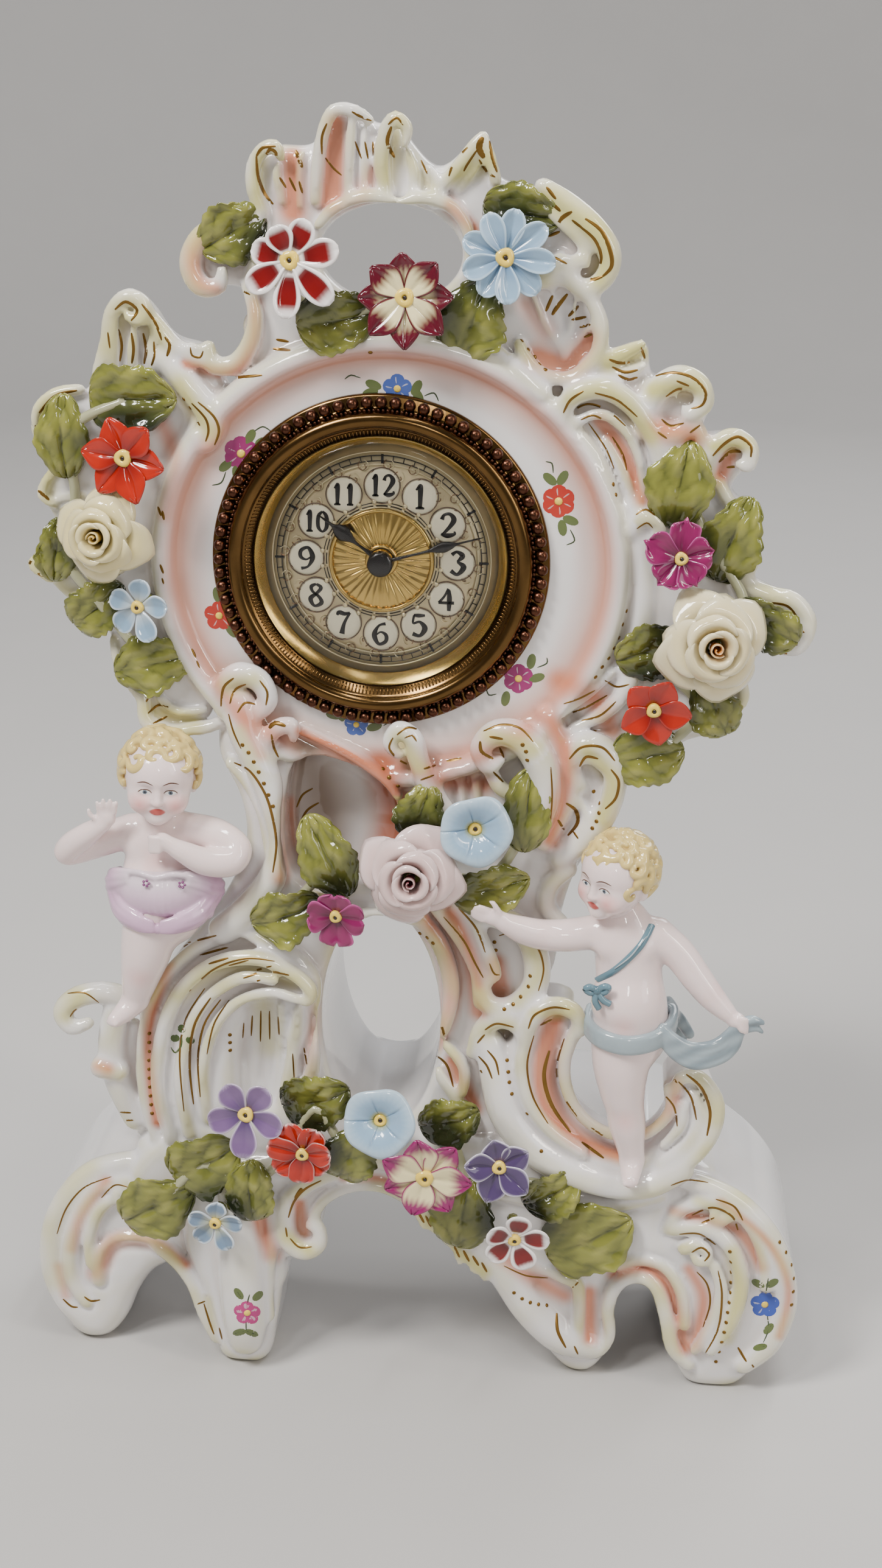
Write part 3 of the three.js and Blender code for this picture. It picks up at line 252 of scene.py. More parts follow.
def outline_distance(outline, x, z):
    """Signed distances in the plane from grid points to a closed outline, negative inside."""
    best = np.full(np.broadcast(x, z).shape, 1e9)
    inside = np.zeros(best.shape, bool)
    for (ax, az), (bx, bz) in zip(outline, np.roll(outline, -1, axis=0)):
        ex, ez = bx - ax, bz - az
        t = np.clip(((x - ax) * ex + (z - az) * ez) / max(ex * ex + ez * ez, TINY), 0, 1)
        best = np.minimum(best, (x - ax - t * ex) ** 2 + (z - az - t * ez) ** 2)
        if ez != 0:
            inside ^= ((az > z) != (bz > z)) & (x < ex * (z - az) / ez + ax)
    return np.where(inside, -1.0, 1.0) * np.sqrt(best)


class Clay:
    """A block of signed distances in drawn millimetres, negative inside, that is built up and carved."""

    def __init__(self, low, high, step):
        self.low = np.asarray(low, float)
        self.step = step
        self.count = [int(math.ceil((h - l) / step)) + 1 for l, h in zip(low, high)]
        self.values = np.full(self.count, FAR, np.float32)

    def window(self, low, high):
        """The slices of the block between two corners, and the places of their cells along each axis."""
        spans, axes = [], []
        for axis in range(3):
            first = max(int((low[axis] - self.low[axis]) / self.step), 0)
            last = min(int((high[axis] - self.low[axis]) / self.step) + 2, self.count[axis])
            spans.append(slice(first, max(last, first)))
            shape = [1, 1, 1]
            shape[axis] = -1
            axes.append((self.low[axis] + self.step * np.arange(first, max(last, first))).reshape(shape))
        return tuple(spans), axes

    def merge(self, window, distance, blend, carve=False):
        """Joins a form to the block, or carves it out, with a rounded meeting line."""
        sign = -1.0 if carve else 1.0
        a, b = sign * self.values[window], np.asarray(distance, np.float32)
        mix = np.clip(blend - np.abs(a - b), 0, None) / max(blend, 1e-6)
        self.values[window] = sign * (np.minimum(a, b) - mix * mix * blend * 0.25)

    def sweep(self, stops, blend=1.5, carve=False, flat=1.0, per_span=6):
        """A rounded rod through stops of x, y, z and radius. flat under 1 narrows it in depth."""
        path = smooth(stops, per_span)
        reach = path[:, 3].max() + blend + 2 * self.step
        window, _ = self.window(path[:, :3].min(0) - reach, path[:, :3].max(0) + reach)
        if any(s.stop <= s.start for s in window):
            return
        near = np.full([s.stop - s.start for s in window], FAR, np.float32)
        for a, b in zip(path[:-1], path[1:]):
            part, (px, py, pz) = self.window(np.minimum(a, b)[:3] - reach, np.maximum(a, b)[:3] + reach)
            local = tuple(slice(p.start - w.start, p.stop - w.start) for p, w in zip(part, window))
            edge = b[:3] - a[:3]
            along = (px - a[0]) * edge[0] + (py - a[1]) * edge[1] + (pz - a[2]) * edge[2]
            t = np.clip(along / max(edge @ edge, TINY), 0, 1)
            apart = np.sqrt((px - a[0] - t * edge[0]) ** 2 + ((py - a[1] - t * edge[1]) / flat) ** 2
                            + (pz - a[2] - t * edge[2]) ** 2)
            near[local] = np.minimum(near[local], apart - (a[3] + t * (b[3] - a[3])))
        self.merge(window, near, blend, carve)

    def slab(self, outline, front, back, edge=3.0, swell=0.0, swell_width=12.0, blend=1.5, carve=False):
        """A plate with a closed smooth outline in x and z, rounded edges and a swelling front."""
        curve = smooth(outline, 5, closed=True)
        margin = blend + 2 * self.step
        low = [curve[:, 0].min() - margin, front - swell - margin, curve[:, 1].min() - margin]
        high = [curve[:, 0].max() + margin, back + margin, curve[:, 1].max() + margin]
        window, (x, y, z) = self.window(low, high)
        plane = outline_distance(curve, x[:, 0, :], z[0, :, :])[:, None, :]
        rise = np.clip(-plane / swell_width, 0, 1)
        face = front - swell * (1 - (1 - rise) ** 2)
        deep = np.maximum(face - y, y - back) + edge
        wide = plane + edge
        outside = np.hypot(np.maximum(wide, 0), np.maximum(deep, 0))
        self.merge(window, np.minimum(np.maximum(wide, deep), 0) + outside - edge, blend, carve)

    def egg(self, centre, half, blend=1.5, carve=False):
        """An ellipsoid."""
        c, h = np.asarray(centre, float), np.asarray(half, float)
        reach = h + blend + 2 * self.step
        window, (x, y, z) = self.window(c - reach, c + reach)
        scaled = np.sqrt(((x - c[0]) / h[0]) ** 2 + ((y - c[1]) / h[1]) ** 2 + ((z - c[2]) / h[2]) ** 2)
        self.merge(window, (scaled - 1) * h.min(), blend, carve)

    def turned(self, profile, centre, stretch=1.0, blend=1.0, carve=False):
        """A solid of revolution about a line along y. The profile is a closed list of radius and y."""
        curve = np.asarray(profile, float)
        margin = 3
        reach = curve[:, 0].max() * stretch + margin
        low = [centre[0] - reach, curve[:, 1].min() - margin, centre[1] - reach]
        high = [centre[0] + reach, curve[:, 1].max() + margin, centre[1] + reach]
        window, (x, y, z) = self.window(low, high)
        radius = np.hypot((x - centre[0]) / stretch, z - centre[1])
        self.merge(window, outline_distance(curve, radius, y), blend, carve)

    def soften(self, times=1):
        """Evens out the whole block a little."""
        for _ in range(times):
            for axis in range(3):
                v = np.moveaxis(self.values, axis, 0)
                v[1:-1] = 0.25 * (v[:-2] + v[2:]) + 0.5 * v[1:-1]

    def surface(self):
        """Points in drawn millimetres and the faces of the skin."""
        grid = openvdb.FloatGrid(FAR)
        grid.copyFromArray(np.ascontiguousarray(self.values))
        points, triangles, quads = grid.convertToPolygons(isovalue=0.0, adaptivity=0.0)
        faces = [tuple(face) for face in triangles.tolist() + quads.tolist()]
        return points * self.step + self.low, faces


def spiral(centre, radius, start, turns, y, thickness):
    """Stops of a volute that winds clockwise in to its eye. start is the first angle in degrees."""
    rows = []
    for t in np.linspace(0, 1, 9):
        angle = math.radians(start) - 2 * math.pi * turns * t
        r = radius * (1 - 0.85 * t)
        x, z = centre[0] + r * math.cos(angle), centre[1] + r * math.sin(angle)
        rows.append([x, z, y - 1.5 * t, thickness * (1 - 0.35 * t)])
    return rows


def stops(rows):
    """Rows of x and z as seen against the dial's plane, depth and radius, as true places."""
    return np.array([[*seen(x, z, y), r] for x, z, y, r in rows])


# Outlines of the porcelain, true x and z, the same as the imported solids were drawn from.
LEG_OUTER_LEFT = [(-97, 75), (-111, 65), (-119, 53), (-124, 39), (-123, 22), (-118, 9), (-110, 0), (-100, 0),
                  (-93, 8), (-88, 20), (-82, 29), (-74, 34), (-64, 40), (-66, 75)]
LEG_INNER_LEFT = [(-70, 50), (-63, 26), (-60, 10), (-56, 0), (-47, -2), (-39, 0), (-36, 14), (-34, 28),
                  (-32, 41), (-40, 84), (-66, 84)]
HOOK_SCROLL = [(-42, 44), (-31, 43), (-24, 46), (-20, 52), (-22, 59), (-20, 66), (-11, 73), (1, 75), (6, 90),
               (-44, 92)]
ARCH_RIGHT = [(-2, 76), (9, 72), (16, 65), (25, 57), (34, 47), (45, 35), (62, 44), (70, 92), (0, 92)]
LEG_INNER_RIGHT = [(34, 50), (45, 33), (54, 18), (62, 8), (70, 0), (79, 0), (85, 10), (84, 24), (86, 36),
                   (92, 60), (50, 80)]
LEG_OUTER_RIGHT = [(84, 38), (93, 41), (101, 37), (105, 24), (108, 10), (113, 0), (122, -2), (132, 0),
                   (141, 12), (148, 25), (150, 40), (146, 57), (137, 70), (125, 80), (112, 88), (88, 80)]
APRON = [(-92, 62), (-70, 52), (-44, 56), (-30, 78), (2, 79), (24, 70), (44, 56), (92, 50), (112, 66),
         (108, 88), (60, 96), (-60, 96), (-82, 84)]
WAIST = [(-76, 76), (-82, 92), (-84, 108), (-82, 128), (-77, 146), (-69, 159), (-59, 172), (-50, 187),
         (-46, 200),
         (-48, 218), (-54, 232), (-50, 250), (-25, 244), (0, 242), (27, 244), (66, 250), (78, 226),
         (76, 210), (67, 197), (62, 180), (60, 160),
         (52, 144), (44, 128), (43, 108), (50, 92), (48, 76)]
CUP = [(56, 149), (48, 139), (42, 126), (41, 112), (47, 100), (58, 89), (72, 80), (90, 75), (104, 83),
       (113, 95),
       (118, 110), (114, 121), (107, 127), (99, 121), (101, 110), (97, 100), (90, 95), (80, 98), (72, 104),
       (66, 112), (63, 124), (66, 138), (67, 147)]
LEFT_WING = [(-88, 369), (-84, 378), (-78, 382), (-72, 377), (-66, 369), (-52, 362), (-50, 330), (-60, 300),
             (-56, 262), (-58, 243), (-77, 240), (-79, 250), (-86, 260), (-90, 272), (-100, 280), (-113, 295),
             (-106, 308), (-111, 318), (-108, 327), (-113, 339), (-107, 349), (-94, 352)]
RIGHT_WING = [(60, 362), (70, 368), (81, 371), (84, 361), (97, 362), (102, 354), (100, 344), (110, 344),
              (115, 336),
              (110, 327), (117, 318), (118, 300), (124, 295), (133, 291), (137, 282), (132, 274), (122, 275),
              (117, 262), (114, 248), (99, 242), (94, 232), (80, 232), (70, 242), (62, 260), (66, 300),
              (60, 330)]
CREST = [(-44, 371), (-41, 380), (-46, 385), (-57, 385), (-60, 394), (-54, 402), (-40, 407), (-40, 420),
         (-34, 427),
         (-22, 428), (-17, 438), (-11, 440), (-2, 434), (4, 437), (8, 429), (17, 422), (29, 431), (34, 420),
         (50, 414), (62, 408), (70, 398), (68, 389), (63, 383), (67, 372), (62, 358), (40, 350), (-30, 350)]
FRONT_SHELL = [(-74, 90), (-80, 110), (-78, 132), (-66, 152), (-44, 162), (-22, 152), (-26, 120), (-30, 92)]
SHOULDER_GAP = [(-58, 190), (-47, 196), (-46, 214), (-56, 234), (-64, 236)]
NICHE = [(-29, 190), (-28, 232), (0, 226), (8, 206), (2, 190)]
HOLE_CENTRE, HOLE_HALF = (1, 137), (20.5, 42)
PIERCING_CENTRE, PIERCING_HALF = (2, 396), (22, 15)
RING_CENTRE, RING_STRETCH = (3, 299), 1.03
BACK_Y = 70.0
THROUGH = (-60, 140)
BORE = 46.2

# Ridges finer than this radius get a groove beside them, this much wider than they are.
FINE_RIDGE, GROOVE_REACH = 3.5, 1.0
# How wide a groove counts as a hollow, and how strongly painted shade darkens it.
HOLLOW_WIDTH, HOLLOW_SHADE_STRENGTH = 3.0, 0.62
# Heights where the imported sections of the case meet, and the crest's sides.
PLINTH_TOP, WAIST_TOP, DRUM_TOP = 80, 228, 368
CREST_LEFT, CREST_RIGHT = -63, 69


def oval(centre, half):
    """A closed outline from its centre and its half width and height."""
    turn = np.linspace(0, 2 * math.pi, 28, endpoint=False)
    return np.stack([centre[0] + half[0] * np.cos(turn), centre[1] + half[1] * np.sin(turn)], 1)


def raised(profile, y):
    """A profile of radius and height, moved to depth y."""
    return [(radius, y + height) for radius, height in profile]


def build_masses(clay):
    """The large forms of the case, before any scroll is laid on."""
    clay.slab(LEG_OUTER_LEFT, 0, BACK_Y - 6, edge=6, swell=3)
    clay.slab(LEG_INNER_LEFT, -8, 34, edge=6, swell=4)
    clay.slab(HOOK_SCROLL, -7, BACK_Y - 8, edge=3, swell=2)
    clay.slab(ARCH_RIGHT, -7, BACK_Y - 8, edge=3, swell=2)
    clay.slab(LEG_INNER_RIGHT, -3, BACK_Y - 6, edge=5, swell=3)
    clay.slab(LEG_OUTER_RIGHT, -7, BACK_Y - 6, edge=6, swell=3, swell_width=20)
    clay.slab(APRON, -6, BACK_Y, edge=4, swell=2, swell_width=20)
    clay.slab(WAIST, -3, BACK_Y - 4, edge=5, swell=1)
    clay.slab(FRONT_SHELL, -8, 10, edge=4)
    clay.slab(CUP, -11, 14, edge=5, swell=2, swell_width=8)
    clay.slab(LEFT_WING, -1, 11, edge=3, swell=1.5)
    clay.slab(RIGHT_WING, -2, 10, edge=3, swell=1.5)
    clay.slab(CREST, -1, 9, edge=3, swell=1)
    moulding = raised([(0, 0), (62, 0), (66, -1), (69, -5.2), (71.5, -6), (74, -4.5), (75, -1)], FACE_Y)
    clay.turned(moulding + [(74.5, 8), (66, 18), (61.5, 26), (61, 60), (59, 62), (0, 62)],
                RING_CENTRE, RING_STRETCH, blend=2)


def pierce(clay):
    """The openings that go through, and the bore that takes the movement."""
    clay.slab(oval(HOLE_CENTRE, HOLE_HALF), *THROUGH, edge=0.5, blend=3, carve=True)
    clay.slab(oval(PIERCING_CENTRE, PIERCING_HALF), -60, 60, edge=0.5, blend=2.5, carve=True)
    clay.slab(SHOULDER_GAP, *THROUGH, edge=0.5, carve=True)
    clay.slab(NICHE, -60, 14, edge=3, blend=2.5, carve=True)
    clay.turned([(0, -30), (BORE, -30), (BORE, 90), (0, 90)], (0, DIAL_Z), blend=0.4, carve=True)


# Ridges and curls. Each row is x, z, depth and radius, with x and z as seen against the dial's plane.
CREST_RIDGES = [
    [(-37, 407, -3, 2), (-40, 414, -4, 2.4), (-40, 421, -4, 2.4), (-37, 426, -5, 2.4), (-33, 427, -6, 2.2),
     (-31, 423, -6, 1.8)],
    [(-31, 410, -2, 1.4), (-33, 419, -3, 1.5), (-32, 423, -3, 1)],
    [(-26, 409, -3, 1.3), (-26, 419, -3, 1.5), (-25, 426, -3, 1.3)],
    [(-21, 411, -3, 1.8), (-20, 424, -4, 2.2), (-18, 433, -5, 2.3), (-15, 438, -5, 2.2), (-9, 438, -5, 2),
     (-4, 435, -4, 1.6)],
    [(-11, 413, -3, 1.6), (-11, 424, -4, 1.8), (-10, 435, -4, 1.6)],
    [(-6, 413, -3, 1.4), (-6, 424, -3, 1.5), (-6, 433, -3, 1.2)],
    [(1, 412, -3, 2), (-1, 422, -4, 2.4), (0, 431, -5, 2.4), (3, 436, -6, 2.4), (7, 433, -6, 2),
     (6, 428, -6, 1.5)],
    [(8, 412, -3, 1.6), (9, 420, -3, 1.8), (7, 427, -3, 1.4)],
    [(15, 411, -2, 1.6), (16, 417, -3, 1.8), (13, 423, -3, 1.3)],
    [(17, 416, -3, 2), (23, 423, -4, 2.4), (28, 430, -4, 2), (30, 432, -4, 1)],
    [(30, 432, -4, 1.4), (32, 425, -4, 2), (34, 418, -3, 2)],
    [(22, 415, -2, 1.4), (27, 421, -3, 1.4), (30, 427, -3, 1)],
    [(-20, 404, -4, 2), (-14, 410, -4, 2.2), (-4, 413, -5, 2.2), (4, 411, -5, 2), (12, 413, -5, 2.2),
     (21, 410, -4, 2.2), (26, 402, -4, 2), (25, 392, -4, 2)],
    [(-47, 405, -3, 3), (-56, 400, -3, 3.6), (-60, 392, -4, 3.6), (-57, 385, -5, 3.4), (-51, 385, -6, 2.6),
     (-50, 390, -6, 2)],
    [(-41, 406, -2, 4), (-38, 396, -2, 4), (-41, 386, -2, 3.4)],
    [(48, 417, -3, 3), (56, 412, -4, 3.6), (64, 405, -5, 4), (69, 398, -5, 3.6), (68, 391, -5, 3.2),
     (62, 387, -5, 3), (57, 391, -6, 2.6), (59, 396, -6, 2)],
    [(47, 412, -4, 2), (55, 406, -5, 2.2), (61, 400, -5, 2), (62, 394, -6, 1.6)],
    [(50, 391, -4, 4), (54, 394, -5, 4)],
    [(44, 387, -4, 2), (53, 390, -5, 2.2), (62, 386, -5, 2.4), (67, 377, -5, 2.6), (66, 367, -5, 2.6),
     (58, 360, -5, 2.4), (48, 362, -5, 2.2), (42, 370, -4, 2)],
    [(56, 366, -3, 1), (50, 376, -3, 1.2), (46, 385, -4, 1.2)],
    [(56, 366, -3, 1), (54, 377, -3, 1.2), (52, 387, -4, 1.2)],
    [(56, 366, -3, 1), (58, 376, -3, 1.2), (59, 384, -4, 1.2)],
    [(56, 366, -3, 1), (61, 372, -3, 1.2), (64, 377, -4, 1.2)],
    [(35, 368, -4, 2), (42, 362, -5, 2.6), (50, 355, -6, 3)],
    [(64, 364, -3, 3), (72, 367, -4, 2.8), (80, 371, -4, 1.8)],
    [(68, 361, -3, 2), (76, 362, -4, 2), (82, 365, -4, 1.2)],
]
SHOULDER_RIDGES = [
    [*spiral((-59, 365), 4.5, 20, 0.9, -4, 2.4)][::-1] + [(-54, 361, -4, 3), (-47, 361, -4, 3.2),
                                                          (-42, 367, -4, 3),
                                                         (-40, 376, -4, 2.6), (-42, 384, -3, 2)],
    [(-91, 343, -2, 2), (-90, 356, -3, 2.4), (-87, 367, -4, 2.4), (-85, 376, -5, 2.6), (-80, 381, -6, 2.8),
     (-75, 379, -6, 2.6), (-76, 374, -7, 2.2), (-80, 375, -7, 1.8)],
    [(-75, 379, -5, 2), (-70, 372, -4, 2.6), (-65, 366, -4, 3), (-58, 364, -3, 2)],
    [(-85, 352, -3, 1.6), (-85, 364, -4, 1.8), (-84, 373, -5, 1.4)],
    [(-79, 353, -3, 1.6), (-79, 364, -4, 1.8), (-78, 372, -5, 1.4)],
    [(-73, 355, -3, 1.6), (-73, 364, -4, 1.8), (-72, 371, -4, 1.4)],
    [(-68, 362, -3, 4), (-62, 355, -4, 4.4), (-56, 348, -5, 4), (-53, 341, -6, 3.2), (-56, 335, -6, 2.6),
     (-59, 338, -7, 2)],
    [(-62, 352, -5, 2), (-57, 344, -6, 2), (-57, 339, -6, 1.4)],
    [(-96, 352, -2, 2), (-104, 350, -2, 2.4), (-110, 345, -3, 2), (-111, 339, -3, 1.4)],
    [(-99, 342, -2, 1.6), (-108, 336, -2, 1.6), (-110, 331, -2, 1.2)],
    [(-98, 330, -2, 1.6), (-106, 325, -2, 1.8), (-110, 318, -3, 1.8), (-106, 314, -3, 1.4)],
    [(-96, 318, -2, 1.6), (-104, 317, -2, 1.4)],
    [(-97, 306, -2, 1.6), (-104, 305, -2, 1.6), (-107, 300, -2, 1.4), (-114, 295, -3, 2), (-108, 290, -3, 2)],
    [(-94, 295, -2, 1.4), (-104, 294, -2, 1.6)],
    [(-92, 287, -2, 1.4), (-101, 283, -3, 1.8), (-94, 277, -3, 1.6)],
    [(-88, 270, -2, 2), (-86, 260, -3, 2.2), (-80, 251, -3, 2)],
    [(-79, 250, -3, 2), (-78, 242, -4, 2.6), (-70, 239, -4, 2.6), (-58, 241, -3, 2.4), (-50, 245, -3, 2)],
    [(-74, 251, -3, 1.4), (-68, 246, -4, 1.6), (-58, 247, -3, 1.4)],
]
RIGHT_WING_RIDGES = [
    [(56, 349, -6, 2.6), (60, 355, -7, 3.4), (69, 357, -7, 3.6), (78, 352, -7, 3.4), (85, 342, -6, 3),
     (88, 330, -5, 2.6), (88, 318, -4, 2)],
    [(60, 346, -6, 1.8), (68, 349, -7, 2), (76, 344, -6, 1.8), (81, 334, -5, 1.6), (83, 322, -4, 1.4)],
    [(62, 343, -5, 1.6), (68, 335, -5, 1.8), (74, 322, -4, 1.6)],
    [(70, 341, -4, 1.6), (76, 331, -4, 1.8), (80, 320, -4, 1.4)],
    [(82, 345, -3, 3), (84, 355, -4, 4), (91, 361, -5, 4), (98, 359, -6, 3.6), (100, 353, -6, 3),
     (95, 350, -7, 2.6), (92, 354, -7, 2)],
    [(84, 347, -4, 3), (90, 343, -5, 3.4), (97, 346, -5, 3), (100, 342, -5, 2.4)],
    [(86, 341, -4, 3), (93, 338, -4, 3), (99, 337, -4, 2.6)],
    [(102, 330, -3, 3), (103, 338, -4, 3.4), (109, 343, -5, 3.2), (115, 340, -5, 2.8), (115, 334, -6, 2.2),
     (111, 335, -6, 1.8)],
    [(106, 328, -3, 2.4), (110, 322, -3, 2.4), (116, 317, -3, 2)],
    [(79, 312, -5, 2.6), (83, 317, -6, 3), (88, 314, -6, 2.4), (87, 309, -6, 1.8)],
    [(118, 305, -2, 3), (116, 297, -2, 3), (124, 293, -3, 3.2), (132, 291, -4, 3.2), (137, 284, -4, 3),
     (134, 276, -5, 2.8), (127, 276, -5, 2.2)],
    [(126, 289, -4, 1.4), (132, 284, -4, 1.4), (129, 279, -5, 1.2)],
    [(116, 266, -2, 2.4), (118, 258, -3, 2.2), (113, 252, -3, 2)],
    [(72, 250, -5, 2.4), (78, 256, -6, 2.8), (82, 264, -6, 2.4), (80, 268, -6, 1.6)],
    [(60, 252, -4, 2), (68, 258, -5, 2), (76, 266, -5, 1.6)],
    [(64, 246, -4, 2), (72, 250, -4, 2)],
    [(81, 320, -3, 4), (84, 300, -2, 4), (84, 280, -2, 4), (80, 262, -2, 4)],
]
MIDDLE_RIDGES = [
    [(-52, 247, -6, 3), (-52, 255, -8, 3.6), (-47, 260, -9, 4), (-40, 258, -9, 3.8), (-37, 251, -9, 3.2),
     (-41, 246, -9, 2.4)],
    [(-47, 250, -8, 5.4), (-45, 240, -9, 5.8), (-40, 228, -10, 5.4), (-35, 214, -10, 5), (-33, 200, -9, 4.6),
     (-37, 187, -8, 5), (-45, 176, -7, 5.4), (-54, 168, -5, 5)],
    [(-39, 236, -9, 2.6), (-34, 242, -10, 3), (-29, 243, -10, 2.4), (-29, 238, -10, 1.8)],
    [(-50, 229, -5, 2.4), (-44, 222, -6, 2.6), (-39, 211, -7, 2.6), (-37, 198, -7, 2.4)],
    [(-27, 204, -8, 3.4), (-25, 213, -9, 4), (-20, 220, -10, 3.6), (-16, 216, -10, 2.8), (-19, 211, -10, 2)],
    [(-27, 242, -6, 2), (-14, 236, -6, 2.2), (-2, 229, -6, 2.2), (6, 219, -6, 2)],
    [(24, 212, -8, 3.4), (17, 222, -9, 3.8), (13, 232, -10, 3.6), (11, 240, -11, 3.4), (6, 243, -11, 3),
     (3, 238, -11, 2.6), (6, 234, -11, 2)],
    [(20, 233, -4, 1.4), (21, 225, -4, 1.6), (23, 217, -4, 1.4)],
    [(26, 233, -4, 1.4), (27, 225, -4, 1.6), (28, 218, -4, 1.4)],
    [(31, 232, -4, 1.4), (32, 225, -4, 1.6), (33, 218, -4, 1.4)],
    [(52, 208, -8, 4), (55, 220, -9, 5), (53, 233, -10, 5.4), (46, 242, -11, 5.2), (38, 243, -11, 4.4),
     (33, 237, -11, 3.6), (36, 231, -11, 2.8), (40, 234, -11, 2)],
    [(36, 231, -9, 2.4), (40, 224, -9, 2.8), (46, 221, -9, 2.2)],
    [(54, 250, -5, 3), (60, 240, -5, 3.4), (63, 228, -5, 3.2), (60, 215, -5, 3), (55, 205, -5, 3)],
    [(66, 226, -5, 3), (63, 233, -6, 3.4), (67, 240, -7, 4), (74, 239, -7, 4), (78, 230, -7, 4),
     (76, 218, -6, 4), (70, 208, -5, 4), (61, 200, -4, 4)],
    [(67, 236, -7, 2.4), (72, 234, -8, 2), (71, 230, -8, 1.6)],
    [(60, 214, -5, 2.4), (65, 220, -6, 2.6), (69, 214, -6, 2.2), (65, 207, -5, 2)],
    [(64, 196, -4, 3), (58, 190, -4, 3), (57, 182, -4, 3), (62, 176, -4, 3)],
    [(-24, 184, -6, 3), (-12, 176, -7, 3), (0, 176, -7, 3), (14, 176, -7, 3)],
]
WAIST_RIDGES = [
    [(-74, 86, -6, 2.4), (-78, 106, -8, 2.6), (-76, 127, -9, 2.8), (-69, 144, -10, 2.8), (-57, 155, -11, 2.8),
     (-42, 158, -12, 2.8), (-30, 153, -13, 2.6), (-23, 146, -13, 2.6), (-25, 142, -13, 2)],
    [(-67, 88, -7, 2.2), (-70, 108, -9, 2.4), (-67, 127, -10, 2.4), (-60, 141, -11, 2.4),
     (-48, 150, -12, 2.4), (-36, 150, -13, 2)],
    [(-60, 94, -7, 2), (-62, 112, -9, 2.2), (-58, 129, -10, 2.2), (-50, 140, -11, 2.2), (-38, 145, -12, 2.2),
     (-28, 143, -13, 2)],
    [(-47, 98, -2, 1.4), (-47, 118, -3, 1.6), (-45, 138, -8, 1.6)],
    [(-41, 100, -2, 1.4), (-41, 120, -3, 1.6), (-39, 141, -9, 1.6)],
    [(-35, 103, -2, 1.4), (-35, 122, -3, 1.6), (-34, 141, -9, 1.6)],
    [(-29, 106, -3, 1.4), (-29, 122, -4, 1.6), (-28, 140, -9, 1.6)],
    [(-79, 86, -2, 2.4), (-83, 106, -3, 2.6), (-82, 128, -4, 2.6), (-76, 146, -4, 2.6), (-64, 160, -4, 2.6),
     (-50, 167, -5, 2.6)],
    [(-84, 90, 4, 3), (-88, 110, 3, 3), (-86, 130, 3, 3)],
    [(-88, 94, 12, 3), (-92, 112, 11, 3), (-90, 130, 11, 3)],
    [(-82, 138, -1, 3.4), (-94, 142, -3, 4), (-105, 140, -4, 4), (-111, 134, -5, 3.6), (-108, 128, -6, 3),
     (-102, 130, -6, 2.4)],
    [(-86, 94, 2, 5), (-92, 108, 0, 5), (-94, 122, -1, 5), (-92, 136, -2, 4.6)],
    [(-92, 112, -3, 4), (-98, 113, -4, 4.2)],
    [(-48, 170, -6, 3), (-38, 164, -7, 3.2), (-28, 158, -7, 3.2), (-21, 147, -7, 3), (-20, 132, -7, 2.8),
     (-23, 116, -6, 2.6), (-26, 106, -5, 2.4)],
    [(12, 178, -6, 3), (21, 166, -7, 3.2), (25, 151, -7, 3.2), (23, 136, -7, 2.8), (18, 124, -6, 2.4),
     (26, 110, -6, 2.4), (34, 98, -6, 2.6)],
    [(20, 180, -8, 3), (29, 168, -9, 3.2), (34, 156, -10, 3), (35, 145, -9, 2.6)],
    [(27, 182, -9, 3), (34, 170, -10, 3.2), (39, 160, -10, 2.6), (41, 155, -10, 1.8)],
    [(36, 178, -8, 3.6), (46, 175, -9, 4.2), (53, 166, -9, 4.6), (54, 153, -9, 4.6), (47, 144, -9, 4.4),
     (39, 144, -10, 3.6), (36, 151, -10, 2.8), (40, 156, -10, 2.2)],
    [(33, 126, -8, 2.6), (36, 135, -9, 3.4), (43, 140, -10, 4), (50, 136, -10, 3.6), (49, 129, -9, 2.8)],
    [(39, 130, -8, 5), (42, 115, -9, 6), (46, 102, -10, 6.4), (55, 90, -11, 6.2), (67, 82, -12, 5.6),
     (82, 77, -12, 5), (96, 77, -12, 4.6), (108, 84, -12, 4)],
    [(24, 128, -6, 2), (30, 120, -7, 2.4), (30, 110, -7, 2)],
    [(51, 133, -13, 3), (54, 141, -14, 3.6), (61, 145, -14, 3.6), (68, 143, -14, 3), (70, 136, -14, 2.4)],
    [(52, 136, -13, 2.4), (50, 122, -13, 2.6), (53, 108, -13, 2.8), (61, 97, -13, 2.8), (72, 89, -13, 2.6)],
    [(69, 138, -13, 2.4), (65, 124, -13, 2.4), (67, 111, -13, 2.4), (74, 101, -13, 2.4), (85, 96, -13, 2.2),
     (95, 98, -12, 2.2), (102, 107, -12, 2.2), (101, 116, -12, 2)],
    [(98, 80, -12, 2.6), (110, 88, -13, 3), (117, 99, -13, 3), (118, 111, -13, 3), (112, 120, -13, 2.8),
     (105, 120, -13, 2.4), (104, 115, -13, 1.8)],
    [(100, 86, -12, 1.8), (109, 94, -13, 2), (113, 105, -13, 2), (110, 114, -13, 1.6)],
    [(100, 93, -12, 1.6), (106, 101, -13, 1.8), (107, 110, -13, 1.4)],
]
